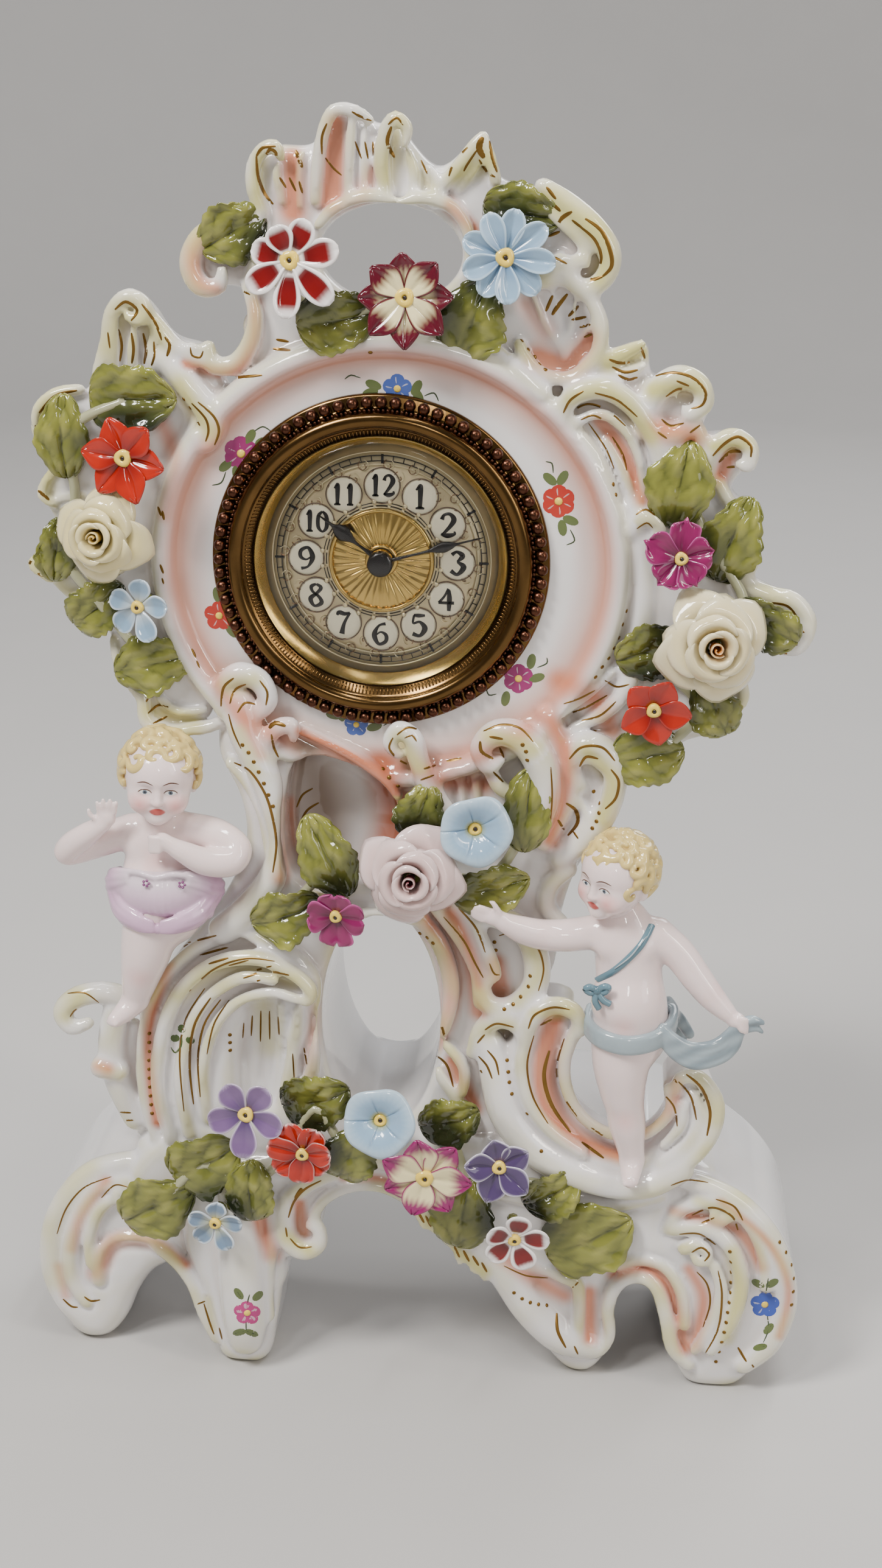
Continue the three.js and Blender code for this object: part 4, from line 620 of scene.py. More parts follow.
BASE_RIDGES = [
    [(-88, 76, 0, 4), (-102, 71, 0, 4.4), (-112, 60, 0, 4.6), (-118, 46, 1, 4.6), (-119, 30, 2, 4.6),
     (-114, 16, 2, 4.6), (-106, 9, 2, 4)],
    [(-90, 69, -3, 2.6), (-101, 64, -3, 3), (-108, 53, -3, 3), (-112, 40, -3, 3), (-112, 26, -2, 3),
     (-107, 16, -2, 2.6)],
    [(-93, 62, -4, 2.2), (-101, 55, -4, 2.6), (-105, 43, -4, 2.4), (-105, 32, -4, 2)],
    [*spiral((-93, 62), 5, 60, 0.8, -5, 2.2)],
    [(-102, 26, -2, 3), (-101, 36, -3, 3.2), (-93, 43, -3, 3.2), (-83, 43, -3, 3.2), (-74, 37, -4, 3.2),
     (-67, 27, -6, 3.2), (-63, 14, -7, 3), (-59, 4, -7, 2.6)],
    [(-52, 66, -9, 7), (-50, 48, -10, 8), (-49, 30, -11, 8.4), (-48, 14, -11, 8), (-48, 5, -10, 6.6)],
    [(-38, 62, -9, 3), (-38, 46, -10, 3), (-40, 30, -10, 2.4), (-39, 14, -9, 2)],
    [(-14, 76, -8, 3), (-26, 70, -9, 3.6), (-33, 60, -10, 4), (-33, 49, -11, 4), (-27, 43, -11, 3.8),
     (-21, 46, -11, 3.2), (-21, 53, -11, 2.4), (-25, 53, -11, 1.8)],
    [(-23, 56, -9, 2), (-19, 64, -9, 2.2), (-10, 70, -9, 2.4), (1, 71, -9, 2.4), (11, 66, -9, 2.2),
     (19, 58, -9, 2), (26, 50, -9, 2)],
    [(11, 67, -9, 1.8), (15, 61, -10, 2), (17, 55, -10, 1.4)],
    [(15, 66, -9, 1.8), (19, 60, -10, 2), (21, 54, -10, 1.4)],
    [(26, 52, -9, 1.6), (29, 47, -10, 2), (30, 41, -10, 1.4)],
    [(30, 49, -9, 1.6), (34, 43, -10, 2), (35, 38, -10, 1.4)],
    [(35, 45, -9, 1.6), (38, 40, -10, 2), (39, 35, -9, 1.4)],
    [(24, 68, -7, 5), (36, 54, -7, 6), (46, 40, -6, 6.4), (56, 25, -5, 7), (67, 14, -4, 7), (77, 11, -3, 6)],
    [(44, 50, -7, 2), (54, 42, -8, 2.4), (64, 38, -8, 2.6), (72, 36, -8, 2.6), (74, 26, -7, 2.6),
     (74, 14, -6, 2.6), (80, 7, -5, 2.6), (85, 14, -5, 2.4), (84, 26, -6, 2.6), (87, 36, -7, 2.8),
     (94, 40, -8, 2.8), (101, 36, -9, 2.8), (105, 24, -10, 2.8), (108, 11, -10, 2.8), (114, 4, -9, 2.6)],
    [(86, 44, -7, 2.2), (95, 47, -8, 2.4), (104, 44, -9, 2.4), (110, 34, -10, 2.4), (112, 20, -10, 2.2)],
    [(100, 82, -8, 3), (114, 79, -9, 3.6), (128, 72, -9, 4), (139, 60, -9, 4.2), (145, 46, -9, 4.4),
     (147, 31, -8, 4.4), (143, 16, -8, 4.4), (134, 6, -8, 4)],
    [*spiral((121, 67), 6, 120, 0.9, -11, 2.6)][::-1] + [(108, 68, -10, 2.6), (104, 60, -9, 2.4)],
    [(112, 74, -9, 2), (122, 72, -10, 2.4), (132, 64, -11, 2.6), (138, 52, -11, 2.6), (140, 38, -11, 2.4)],
    [(106, 60, -10, 2.6), (118, 61, -11, 3), (127, 53, -12, 3), (131, 40, -12, 3), (129, 25, -12, 3),
     (122, 11, -11, 2.8)],
    [*spiral((115, 49), 6, 150, 0.9, -12, 2.4)][::-1],
    [(121, 46, -12, 2.2), (124, 36, -12, 2.4), (122, 22, -12, 2.4), (116, 10, -11, 2)],
    [(-70, 72, -7, 3), (-40, 78, -8, 3), (-10, 82, -8, 3), (20, 78, -8, 3), (50, 70, -8, 3), (80, 68, -8, 3),
     (100, 74, -8, 3)],
]
HOLLOWS = [
    [(-29, 409, -9, 5), (-28, 418, -9, 4.6), (-28, 424, -9, 3)],
    [(-15, 414, -9, 4.4), (-15, 424, -9, 4), (-14, 433, -9, 3)],
    [(55, 366, -10, 6), (54, 375, -10, 6), (53, 383, -9, 4)],
    [(106, 332, -8, 2.6), (109, 337, -8, 2.4)],
    [(90, 349, -9, 2.6), (95, 355, -9, 2)],
    [(-44, 100, -12, 9), (-43, 116, -13, 11), (-42, 132, -14, 8)],
    [(61, 141, -19, 3.6), (58, 130, -19, 3.8), (58, 116, -19, 4), (63, 104, -19, 4), (73, 95, -19, 3.4),
     (86, 90, -18, 3)],
    [(-98, 30, -7, 4), (-96, 37, -7, 4), (-86, 38, -7, 4)],
    [(-29, 60, -14, 3), (-28, 52, -15, 3)],
    [(-68, 95, -13, 2), (-70, 112, -15, 2.2), (-66, 130, -15, 2.2), (-56, 144, -16, 2), (-44, 151, -16, 1.6)],
    [(52, 46, -12, 3), (62, 33, -12, 4), (66, 28, -11, 3)],
    [(79, 30, -11, 3.6), (79, 18, -10, 3.6), (80, 12, -9, 2.6)],
    [(28, 178, -12, 2), (32, 164, -13, 2.2), (34, 152, -13, 2)],
    [(45, 168, -13, 2.6), (46, 160, -13, 3), (44, 152, -13, 2.4)],
    [(116, 40, -16, 2.4), (118, 28, -16, 2.6), (114, 16, -15, 2.2)],
    [(66, 214, -9, 3), (70, 224, -10, 3), (70, 230, -10, 2.4)],
    [(44, 232, -15, 2.6), (47, 226, -15, 3), (47, 216, -14, 3)],
]


def build_case_clay():
    """The whole case: its masses, scrolls with a groove beside each fine one, hollows and openings."""
    clay = Clay((-132, -36, -2), (158, 74, 444), CASE_STEP)
    build_masses(clay)
    families = (CREST_RIDGES, SHOULDER_RIDGES, RIGHT_WING_RIDGES, MIDDLE_RIDGES, WAIST_RIDGES, BASE_RIDGES)
    ridges = [stops(rows) for family in families for rows in family]
    for ridge in ridges:
        if ridge[:, 3].max() < FINE_RIDGE:
            clay.sweep(ridge + [0, 0, 0, GROOVE_REACH], blend=1.2, carve=True)
    for ridge in ridges:
        clay.sweep(ridge, blend=1.3)
    for rows in HOLLOWS:
        clay.sweep(stops(rows), blend=2.2, carve=True)
    pierce(clay)
    height = clay.low[2] + clay.step * np.arange(clay.count[2])
    clay.values = np.maximum(clay.values, -height[None, None, :].astype(np.float32))
    clay.soften()
    return clay


def make_mesh(name, points, faces, colours=None, normals=None):
    """A mesh of drawn points. Colours are one row for each point."""
    mesh = bpy.data.meshes.new(name)
    mesh.from_pydata(to_frame(points).tolist(), [], [list(f) for f in faces])
    mesh.shade_smooth()
    layer = mesh.color_attributes.new(PAINT, "FLOAT_COLOR", "POINT")
    rows = np.ones((len(mesh.vertices), 4), np.float32)
    rows[:, :3] = colours
    layer.data.foreach_set("color", rows.ravel())
    if normals is not None:
        mesh.normals_split_custom_set_from_vertices(normals.tolist())
    return mesh


def add_piece(name, mesh, material, body=CASE, replaces=()):
    """Puts a piece in the scene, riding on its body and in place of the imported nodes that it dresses."""
    piece = bpy.data.objects.new(name, mesh)
    mesh.materials.append(material)
    bpy.context.scene.collection.objects.link(piece)
    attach(piece, body)
    if replaces:
        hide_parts(*replaces)


# Airbrushed tints, and painted shade in the niche, inside the opening and on sides that turn away. Each row
# is a colour, strength, and stops of x, z and half width as seen.
TINTS = [
    (PINK, 0.85, [(-28, 408, 8), (-28, 424, 6)]),
    (PINK, 0.95, [(-16, 411, 7), (-15, 434, 5)]),
    (PINK, 0.5, [(-8, 411, 6), (-4, 420, 5)]),
    (PINK, 0.9, [(-52, 404, 5), (-59, 396, 6), (-58, 386, 6), (-52, 384, 4)]),
    (PINK, 0.9, [(20, 411, 4), (27, 404, 4)]),
    (PINK, 0.8, [(48, 366, 7), (58, 364, 8), (64, 372, 6)]),
    (PINK, 0.45, [(44, 382, 6), (50, 374, 6)]),
    (PINK, 0.9, [(-62, 361, 3), (-48, 359, 4), (-41, 368, 4), (-40, 380, 4)]),
    (PINK, 0.9, [(68, 347, 4), (76, 337, 4), (82, 322, 4)]),
    (PINK, 0.9, [(84, 345, 7), (98, 343, 7)]),
    (PINK, 0.9, [(106, 330, 5), (109, 338, 4)]),
    (PINK, 0.7, [(58, 262, 7), (70, 256, 8), (76, 246, 6)]),
    (PINK, 0.85, [(56, 248, 6), (62, 232, 6), (57, 206, 6)]),
    (PINK, 0.5, [(-72, 345, 5), (-66, 330, 5), (-70, 312, 4)]),
    # Painted shade inside the niche.
    (NICHE_SHADE, 0.9, [(-24, 234, 10), (-20, 212, 16), (-22, 190, 12)]),
    (TERRACOTTA, 0.95, [(0, 230, 9), (5, 214, 12), (1, 196, 11)]),
    (TERRACOTTA, 0.7, [(20, 226, 8), (34, 225, 8)]),
    (PINK, 0.9, [(-27, 241, 3), (-3, 229, 3), (5, 219, 3)]),
    (PINK, 0.8, [(-31, 216, 4), (-31, 200, 5), (-34, 188, 5)]),
    (PINK, 0.5, [(-46, 245, 5), (-40, 232, 4)]),
    (PINK, 0.8, [(14, 178, 6), (23, 162, 6), (25, 146, 6), (20, 128, 5)]),
    (PINK, 0.85, [(24, 178, 6), (32, 160, 6), (35, 142, 6)]),
    (PINK, 0.8, [(26, 122, 5), (34, 104, 5)]),
    (PINK, 0.85, [(40, 160, 6), (42, 150, 6)]),
    (PINK, 0.9, [(-73, 154, 4), (-81, 128, 4), (-79, 92, 4)]),
    (PINK, 0.5, [(-22, 140, 4), (-24, 112, 4)]),
    (PINK, 0.95, [(61, 141, 6), (57, 122, 6), (60, 106, 6), (70, 94, 6), (86, 88, 5)]),
    (PINK, 0.8, [(104, 118, 4), (101, 106, 5), (90, 97, 5)]),
    (TERRACOTTA, 0.45, [(61, 134, 9), (62, 112, 9), (76, 97, 8), (92, 96, 7)]),
    (PINK, 0.9, [(-96, 112, 5), (-99, 113, 5)]),
    (PINK, 0.7, [(-98, 67, 4), (-108, 52, 4), (-112, 38, 4)]),
    (PINK, 0.8, [(-103, 28, 6), (-96, 42, 6), (-82, 43, 5), (-70, 34, 4)]),
    (PINK, 0.5, [(-117, 30, 4), (-115, 18, 4)]),
    (PINK, 0.75, [(-44, 60, 6), (-38, 40, 6)]),
    (PINK, 0.85, [(-28, 62, 4), (-27, 50, 5)]),
    (PINK, 0.7, [(-12, 74, 3.5), (4, 73, 3.5), (14, 64, 4)]),
    (PINK, 0.65, [(46, 44, 6), (58, 36, 7), (68, 30, 6)]),
    (PINK, 0.8, [(77, 32, 5), (78, 12, 5)]),
    (PINK, 0.75, [(86, 40, 5), (98, 43, 5), (108, 30, 5), (112, 10, 5)]),
    (PINK, 0.7, [(106, 67, 4), (128, 61, 4), (138, 46, 4)]),
    (PINK, 0.8, [(122, 72, 3), (140, 56, 3), (148, 38, 3), (146, 18, 3)]),
    (PINK, 0.7, [(112, 44, 4), (118, 32, 5), (116, 12, 5)]),
    # Painted shade inside the opening and on sides that turn away.
    (BEIGE_SHADE, 0.7, [(-14, 168, 10), (-18, 140, 9), (-8, 112, 9)]),
    (BEIGE_SHADE, 0.6, [(60, 196, 7), (57, 182, 8)]),
    (BEIGE_SHADE, 0.5, [(-84, 60, 8), (-70, 70, 8)]),
    (YELLOW, 0.7, [(-39, 410, 5), (-38, 424, 4)]),
    (YELLOW, 0.6, [(1, 418, 5), (4, 434, 4)]),
    (YELLOW, 0.5, [(8, 424, 5), (14, 416, 4)]),
    (YELLOW, 0.7, [(22, 420, 6), (31, 424, 6)]),
    (YELLOW, 0.75, [(50, 413, 8), (66, 402, 8), (66, 390, 7)]),
    (YELLOW, 0.85, [(70, 365, 6), (80, 369, 6)]),
    (YELLOW, 0.7, [(58, 353, 5), (70, 356, 5), (84, 342, 4)]),
    (YELLOW, 0.8, [(84, 357, 6), (98, 358, 6)]),
    (YELLOW, 0.8, [(104, 340, 4), (114, 341, 4)]),
    (YELLOW, 0.6, [(-87, 366, 8), (-79, 378, 8), (-70, 368, 8)]),
    (YELLOW, 0.7, [(-64, 354, 6), (-55, 340, 6)]),
    (YELLOW, 0.6, [(-108, 346, 7), (-108, 320, 6), (-111, 296, 7), (-98, 282, 6)]),
    (YELLOW, 0.7, [(-77, 246, 7), (-62, 243, 5)]),
    (YELLOW, 0.6, [(-50, 256, 6), (-42, 258, 6)]),
    (YELLOW, 0.45, [(-47, 240, 4), (-42, 226, 4)]),
    (YELLOW, 0.65, [(6, 240, 6), (13, 230, 5)]),
    (YELLOW, 0.65, [(36, 242, 6), (50, 238, 7)]),
    (YELLOW, 0.75, [(68, 238, 6), (77, 228, 5), (74, 214, 5)]),
    (YELLOW, 0.6, [(-70, 142, 5), (-52, 154, 6), (-30, 150, 6)]),
    (YELLOW, 0.45, [(-40, 140, 8), (-38, 124, 7)]),
    (YELLOW, 0.55, [(50, 170, 5), (55, 158, 5), (48, 146, 5)]),
    (YELLOW, 0.55, [(38, 134, 6), (46, 137, 5)]),
    (YELLOW, 0.65, [(54, 142, 4), (66, 143, 4)]),
    (YELLOW, 0.4, [(112, 118, 5), (117, 104, 5)]),
    (YELLOW, 0.6, [(-104, 140, 5), (-110, 132, 5)]),
    (YELLOW, 0.7, [(-32, 48, 5), (-25, 43, 5)]),
    (YELLOW, 0.6, [(14, 62, 4), (19, 57, 4)]),
    (YELLOW, 0.75, [(29, 46, 5), (39, 38, 5)]),
    (YELLOW, 0.5, [(114, 72, 4), (126, 66, 4)]),
    (YELLOW, 0.65, [(127, 52, 5), (130, 36, 5), (127, 16, 5)]),
    (YELLOW, 0.35, [(-104, 72, 7), (-118, 48, 7), (-118, 24, 7)]),
    (YELLOW, 0.5, [(-62, 20, 3), (-60, 8, 3)]),
]
RING_TINTS = [(PINK, 0.8, 66.5, 6.5), (PINK, 0.3, 61.0, 6.0), (YELLOW, 0.35, 73.5, 3.0)]


def read_block(values, clay, points):
    """The value of a block at each point, evened out between its cells."""
    place = np.clip((points - clay.low) / clay.step, 0, np.array(clay.count) - 1.001)
    cell = place.astype(int)
    part = place - cell
    total = np.zeros(len(points))
    for corner in range(8):
        shift = np.array([corner & 1, corner >> 1 & 1, corner >> 2 & 1])
        total += np.prod(np.where(shift, part, 1 - part), axis=1) * values[tuple((cell + shift).T)]
    return total


def hollowness(clay, points):
    """How deep each point lies in a hollow: 1 in a narrow groove, -1 on a sharp edge."""
    wide = Clay(clay.low, clay.low + clay.step * np.array(clay.count), clay.step)
    wide.values = np.clip(clay.values, -4, 4)
    wide.soften(int(round((HOLLOW_WIDTH / clay.step) ** 2)))
    return np.clip(-read_block(wide.values, clay, points) / 0.9, -1, 1)


def ease(share):
    """Turns an even fade from 0 to 1 into a soft one."""
    return share * share * (3 - 2 * share)


def airbrush(x, z, rows):
    """How strongly each point is tinted by a stroke through stops of x, z and half width."""
    best = np.zeros(len(x))
    path = smooth(rows, 5)
    for a, b in zip(path[:-1], path[1:]):
        ex, ez = b[0] - a[0], b[1] - a[1]
        s = np.clip(((x - a[0]) * ex + (z - a[1]) * ez) / max(ex * ex + ez * ez, TINY), 0, 1)
        apart = np.hypot(x - a[0] - s * ex, z - a[1] - s * ez)
        best = np.maximum(best, 1 - apart / (a[2] + s * (b[2] - a[2])))
    return ease(best)


def paint_case(points, normals, hollow):
    """The colour of each point of the case, with painted shade in its hollows and recesses."""
    colours = np.tile(WHITE, (len(points), 1))
    depth, forward = points[:, 1], -normals[:, 1]
    t = (0.0 - EYE[1]) / (depth - EYE[1])
    x = EYE[0] + (points[:, 0] - EYE[0]) * t
    z = EYE[2] + (points[:, 2] - EYE[2]) * t
    facing = np.clip(0.35 + forward * 1.2, 0, 1) * np.clip((22 - depth) / 10, 0, 1)
    ring = np.hypot((points[:, 0] - RING_CENTRE[0]) / RING_STRETCH, points[:, 2] - RING_CENTRE[1])
    for colour, strength, radius, half in RING_TINTS:
        near = np.clip(1 - np.abs(ring - radius) / half, 0, 1) * (depth < 0)
        colours = blend(colours, colour, strength * ease(near))
    for colour, strength, rows in TINTS:
        reach = max(row[2] for row in rows) + 1
        low, high = np.min(rows, axis=0) - 2 * reach, np.max(rows, axis=0) + 2 * reach
        near = np.flatnonzero((x > low[0]) & (x < high[0]) & (z > low[1]) & (z < high[1]) & (facing > 0))
        deepen = 1.25 + 0.35 * hollow[near] * (colour is not YELLOW)
        weight = deepen * strength * airbrush(x[near], z[near], rows) * facing[near]
        colours[near] = blend(colours[near], colour, np.clip(weight, 0, 0.95))
    patchy = 0.55 + 0.45 * np.sin(x * 0.21 + 1.3 * np.sin(z * 0.13)) * np.sin(z * 0.17 + 2)
    edge = np.clip(-hollow * 1.5 - 0.15, 0, 1) * (ring > 77) * np.clip((16 - depth) / 8, 0, 1)
    colours = blend(colours, YELLOW, 0.75 * edge * patchy)
    # Painted shade in the hollows, stronger where they face forward.
    hollow_shade = np.clip(hollow, 0, 1) ** 1.3 * np.clip(0.6 + forward, 0, 1)
    colours = blend(colours, HOLLOW_SHADE, HOLLOW_SHADE_STRENGTH * hollow_shade)
    return blend(colours, BACK_WHITE, (depth - 20) / 20)


def find_sections(middles):
    """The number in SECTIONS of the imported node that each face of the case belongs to."""
    x, z = middles[:, 0], middles[:, 2]
    crest = (z >= DRUM_TOP) & (x >= CREST_LEFT) & (x <= CREST_RIGHT)
    return np.where(z < PLINTH_TOP, 0, np.where(z < WAIST_TOP, 1, np.where(crest, 3, 2)))


SECTIONS = ("case_plinth", "case_waist", "case_drum", "case_crest")


def make_case():
    """The whole porcelain skin in one go, shared out to a piece for each section of the case."""
    clay = build_case_clay()
    points, faces = clay.surface()
    whole = bpy.data.meshes.new("whole")
    whole.from_pydata(to_frame(points).tolist(), [], faces)
    normals = np.empty(len(points) * 3, np.float32)
    whole.vertex_normals.foreach_get("vector", normals)
    bpy.data.meshes.remove(whole)
    normals = normals.reshape(-1, 3)
    colours = paint_case(points, normals, hollowness(clay, points))
    section = find_sections(np.array([points[list(face)].mean(0) for face in faces]))
    for number, node in enumerate(SECTIONS):
        chosen = [faces[i] for i in np.flatnonzero(section == number)]
        used, where = np.unique(np.concatenate(chosen), return_inverse=True)
        local = np.split(where, np.cumsum([len(face) for face in chosen])[:-1])
        name = node + "_glazed"
        mesh = make_mesh(name, points[used], local, colours[used], normals[used])
        add_piece(name, mesh, PORCELAIN, replaces=(node,))
    return skin_tree(points, faces)


def skin_tree(points, faces):
    """A search tree of a skin, for lines of sight."""
    return BVHTree.FromPolygons([tuple(p) for p in points.tolist()], faces)


class Shape:
    """Points, faces and colours that grow into one mesh."""

    def __init__(self):
        self.points, self.faces, self.colours, self.count = [], [], [], 0

    def add(self, points, faces, colours=PLAIN):
        points = np.asarray(points, float).reshape(-1, 3)
        self.faces.extend(tuple(int(i) + self.count for i in face) for face in faces)
        self.points.append(points)
        self.colours.append(np.broadcast_to(np.asarray(colours, float).reshape(-1, 3), points.shape))
        self.count += len(points)

    def finish(self, name, material, slot, body=CASE, replaces=()):
        """Puts the shape in the scene as a piece."""
        mesh = make_mesh(name, np.vstack(self.points), self.faces, np.vstack(self.colours))
        add_piece(name, mesh, material, body, replaces)


class Flower(Shape):
    """A shape that is drawn in its own a, b and height towards the viewer, and stood in its place."""

    def __init__(self, at, pitch, yaw):
        super().__init__()
        self.place = (at, 0, pitch, yaw)

    def add(self, points, faces, colours=PLAIN):
        super().add(stand(points, *self.place), faces, colours)

    def add_stalk(self, heights, radius):
        """A short rod that bends a little on its way back through three heights to what carries it."""
        top, middle, end = heights
        self.add(*tube(smooth([[0, 0, top], [0.5, 0, middle], [0, 0, end]], 3), radius), LEAF_LIGHT)


def grid_faces(rows, columns, wrap=False):
    """The faces of a grid of points. wrap joins the last column to the first."""
    faces = []
    for i in range(rows - 1):
        for j in range(columns if wrap else columns - 1):
            k = (j + 1) % columns
            faces.append((i * columns + j, (i + 1) * columns + j, (i + 1) * columns + k, i * columns + k))
    return faces


def end_caps(rows, columns):
    """The two faces that close the ends of a wrapped grid."""
    last = (rows - 1) * columns
    return [tuple(range(columns)), tuple(range(last + columns - 1, last - 1, -1))]


def sheet(surface, rows, columns, thickness, colour):
    """A bent sheet with two sides and a rounded rim. surface and colour take u of 0..1 and v of -1..1."""
    u = np.linspace(0, 1, rows)[:, None] + np.zeros((1, columns))
    v = np.sin(np.linspace(-math.pi / 2, math.pi / 2, columns))[None, :] + np.zeros((rows, 1))
    middle = surface(u, v)
    normal = unit(np.cross(np.gradient(middle, axis=0), np.gradient(middle, axis=1)))
    rim = np.sqrt(np.clip(1 - np.abs(v) ** 5, 0, 1)) * np.sqrt(np.clip(1 - np.abs(2 * u - 1) ** 9, 0, 1))
    half = thickness / 2 * np.maximum(rim, 0.2)[:, :, None]
    points = np.concatenate([(middle + normal * half).reshape(-1, 3),
                             (middle - normal * half).reshape(-1, 3)])
    faces = grid_faces(rows, columns)
    under = rows * columns
    faces += [(a + under, d + under, c + under, b + under) for a, b, c, d in grid_faces(rows, columns)]
    for i in range(rows - 1):
        a, b = i * columns, (i + 1) * columns
        faces.append((a, a + under, b + under, b))
        a, b = a + columns - 1, b + columns - 1
        faces.append((b, b + under, a + under, a))
    for j in range(columns - 1):
        faces.append((j + 1, j + 1 + under, j + under, j))
        k = (rows - 1) * columns + j
        faces.append((k, k + under, k + 1 + under, k + 1))
    tones = colour(u, v).reshape(-1, 3)
    return points, faces, np.concatenate([tones, tones])


def stand(points, at, spin=0.0, pitch=0.0, yaw=0.0):
    """Local a, b and height towards the viewer, turned by spin, leaned back by pitch and aside by yaw."""
    a, b, h = np.moveaxis(np.asarray(points, float), -1, 0)
    c, s = math.cos(math.radians(spin)), math.sin(math.radians(spin))
    a, b = a * c - b * s, a * s + b * c
    c, s = math.cos(math.radians(pitch)), math.sin(math.radians(pitch))
    b, h = b * c + h * s, h * c - b * s
    c, s = math.cos(math.radians(yaw)), math.sin(math.radians(yaw))
    a, h = a * c + h * s, h * c - a * s
    return np.stack([at[0] + a, at[1] - h, at[2] + b], -1)


def ball(radius, centre=(0, 0, 0), squash=1.0, rows=7, columns=12):
    """Points and faces of a small bead. The third axis is the squashed one."""
    polar = np.linspace(0, math.pi, rows)[:, None]
    turn = np.linspace(0, 2 * math.pi, columns, endpoint=False)[None, :]
    points = np.stack([radius * np.sin(polar) * np.cos(turn), radius * np.sin(polar) * np.sin(turn),
                       radius * squash * np.cos(polar) + 0 * turn], -1) + np.asarray(centre, float)
    return points, grid_faces(rows, columns, wrap=True)


# A direction that no rod follows.
ASKEW = (0.13, 1.0, 0.21)


def tube(path, radii, sides=8):
    """Points and faces of a rod along a path, closed at both ends."""
    path = np.asarray(path, float)
    ahead = unit(np.gradient(path, axis=0))
    side = unit(np.cross(ahead, ASKEW))
    other = np.cross(ahead, side)
    turn = np.linspace(0, 2 * math.pi, sides, endpoint=False)[None, :, None]
    radii = np.broadcast_to(np.asarray(radii, float), (len(path),))[:, None, None]
    points = path[:, None] + radii * (np.cos(turn) * side[:, None] + np.sin(turn) * other[:, None])
    return points, grid_faces(len(path), sides, wrap=True) + end_caps(len(path), sides)


def blend(a, b, t):
    """Colours that go from a, where t is 0 or less, to b, where it is 1 or more."""
    t = np.clip(t, 0, 1)[..., None]
    return np.asarray(a) * (1 - t) + np.asarray(b) * t


def petal_outline(root, full, swell, fade, length, fall, tip=0.5, least=0.01):
    """Half of the width along a petal, from its root at 0 to its tip at 1."""
    def width(u):
        body = root + (1 - root) * np.sin(math.pi / 2 * np.clip(u / full, 0, 1)) ** swell
        return body * np.clip(1 - np.clip((u - fade) / length, 0, 1) ** fall, least, 1) ** tip
    return width


spoon = petal_outline(0.22, 0.66, 1.3, 0.62, 0.39, 2)
broad = petal_outline(0.34, 0.55, 1, 0.6, 0.41, 2.4)
pointed = petal_outline(0.3, 0.52, 1.1, 0.5, 0.52, 1.9, tip=1, least=0.03)
notched = petal_outline(0.26, 0.7, 1, 0.72, 0.29, 2.6)


class Petal:
    """How one kind of petal is formed and painted. Widths and the border are shares of the petal's own."""

    def __init__(self, outline, width, cup, crease, ripple, heart, body, edge, border, streaks=0.1, notch=0.0,
                 rim=0.0, sides=1.0):
        self.outline, self.width, self.cup, self.crease, self.ripple = outline, width, cup, crease, ripple
        self.heart, self.body, self.edge, self.border = heart, body, edge, border
        self.streaks, self.notch, self.rim, self.sides = streaks, notch, rim, sides


DEEP_RED, BRIGHT_RED, ORANGE = linear(70, 6, 10), linear(112, 12, 14), linear(170, 34, 14)
SNOW, CREAM, BUTTER = linear(232, 226, 224), linear(226, 214, 164), linear(232, 200, 84)
SKY, DEEP_SKY, BURGUNDY = linear(140, 170, 196), linear(92, 124, 158), linear(84, 12, 30)
MAGENTA, DEEP_MAGENTA, LILAC = linear(124, 26, 80), linear(84, 8, 50), linear(112, 86, 128)
VIOLET, SMOKE, FRINGE = linear(74, 58, 96), linear(108, 130, 154), linear(132, 28, 90)
DARK = linear(36, 26, 22)
THROAT, BELL_LIP = linear(150, 156, 92), linear(184, 204, 216)
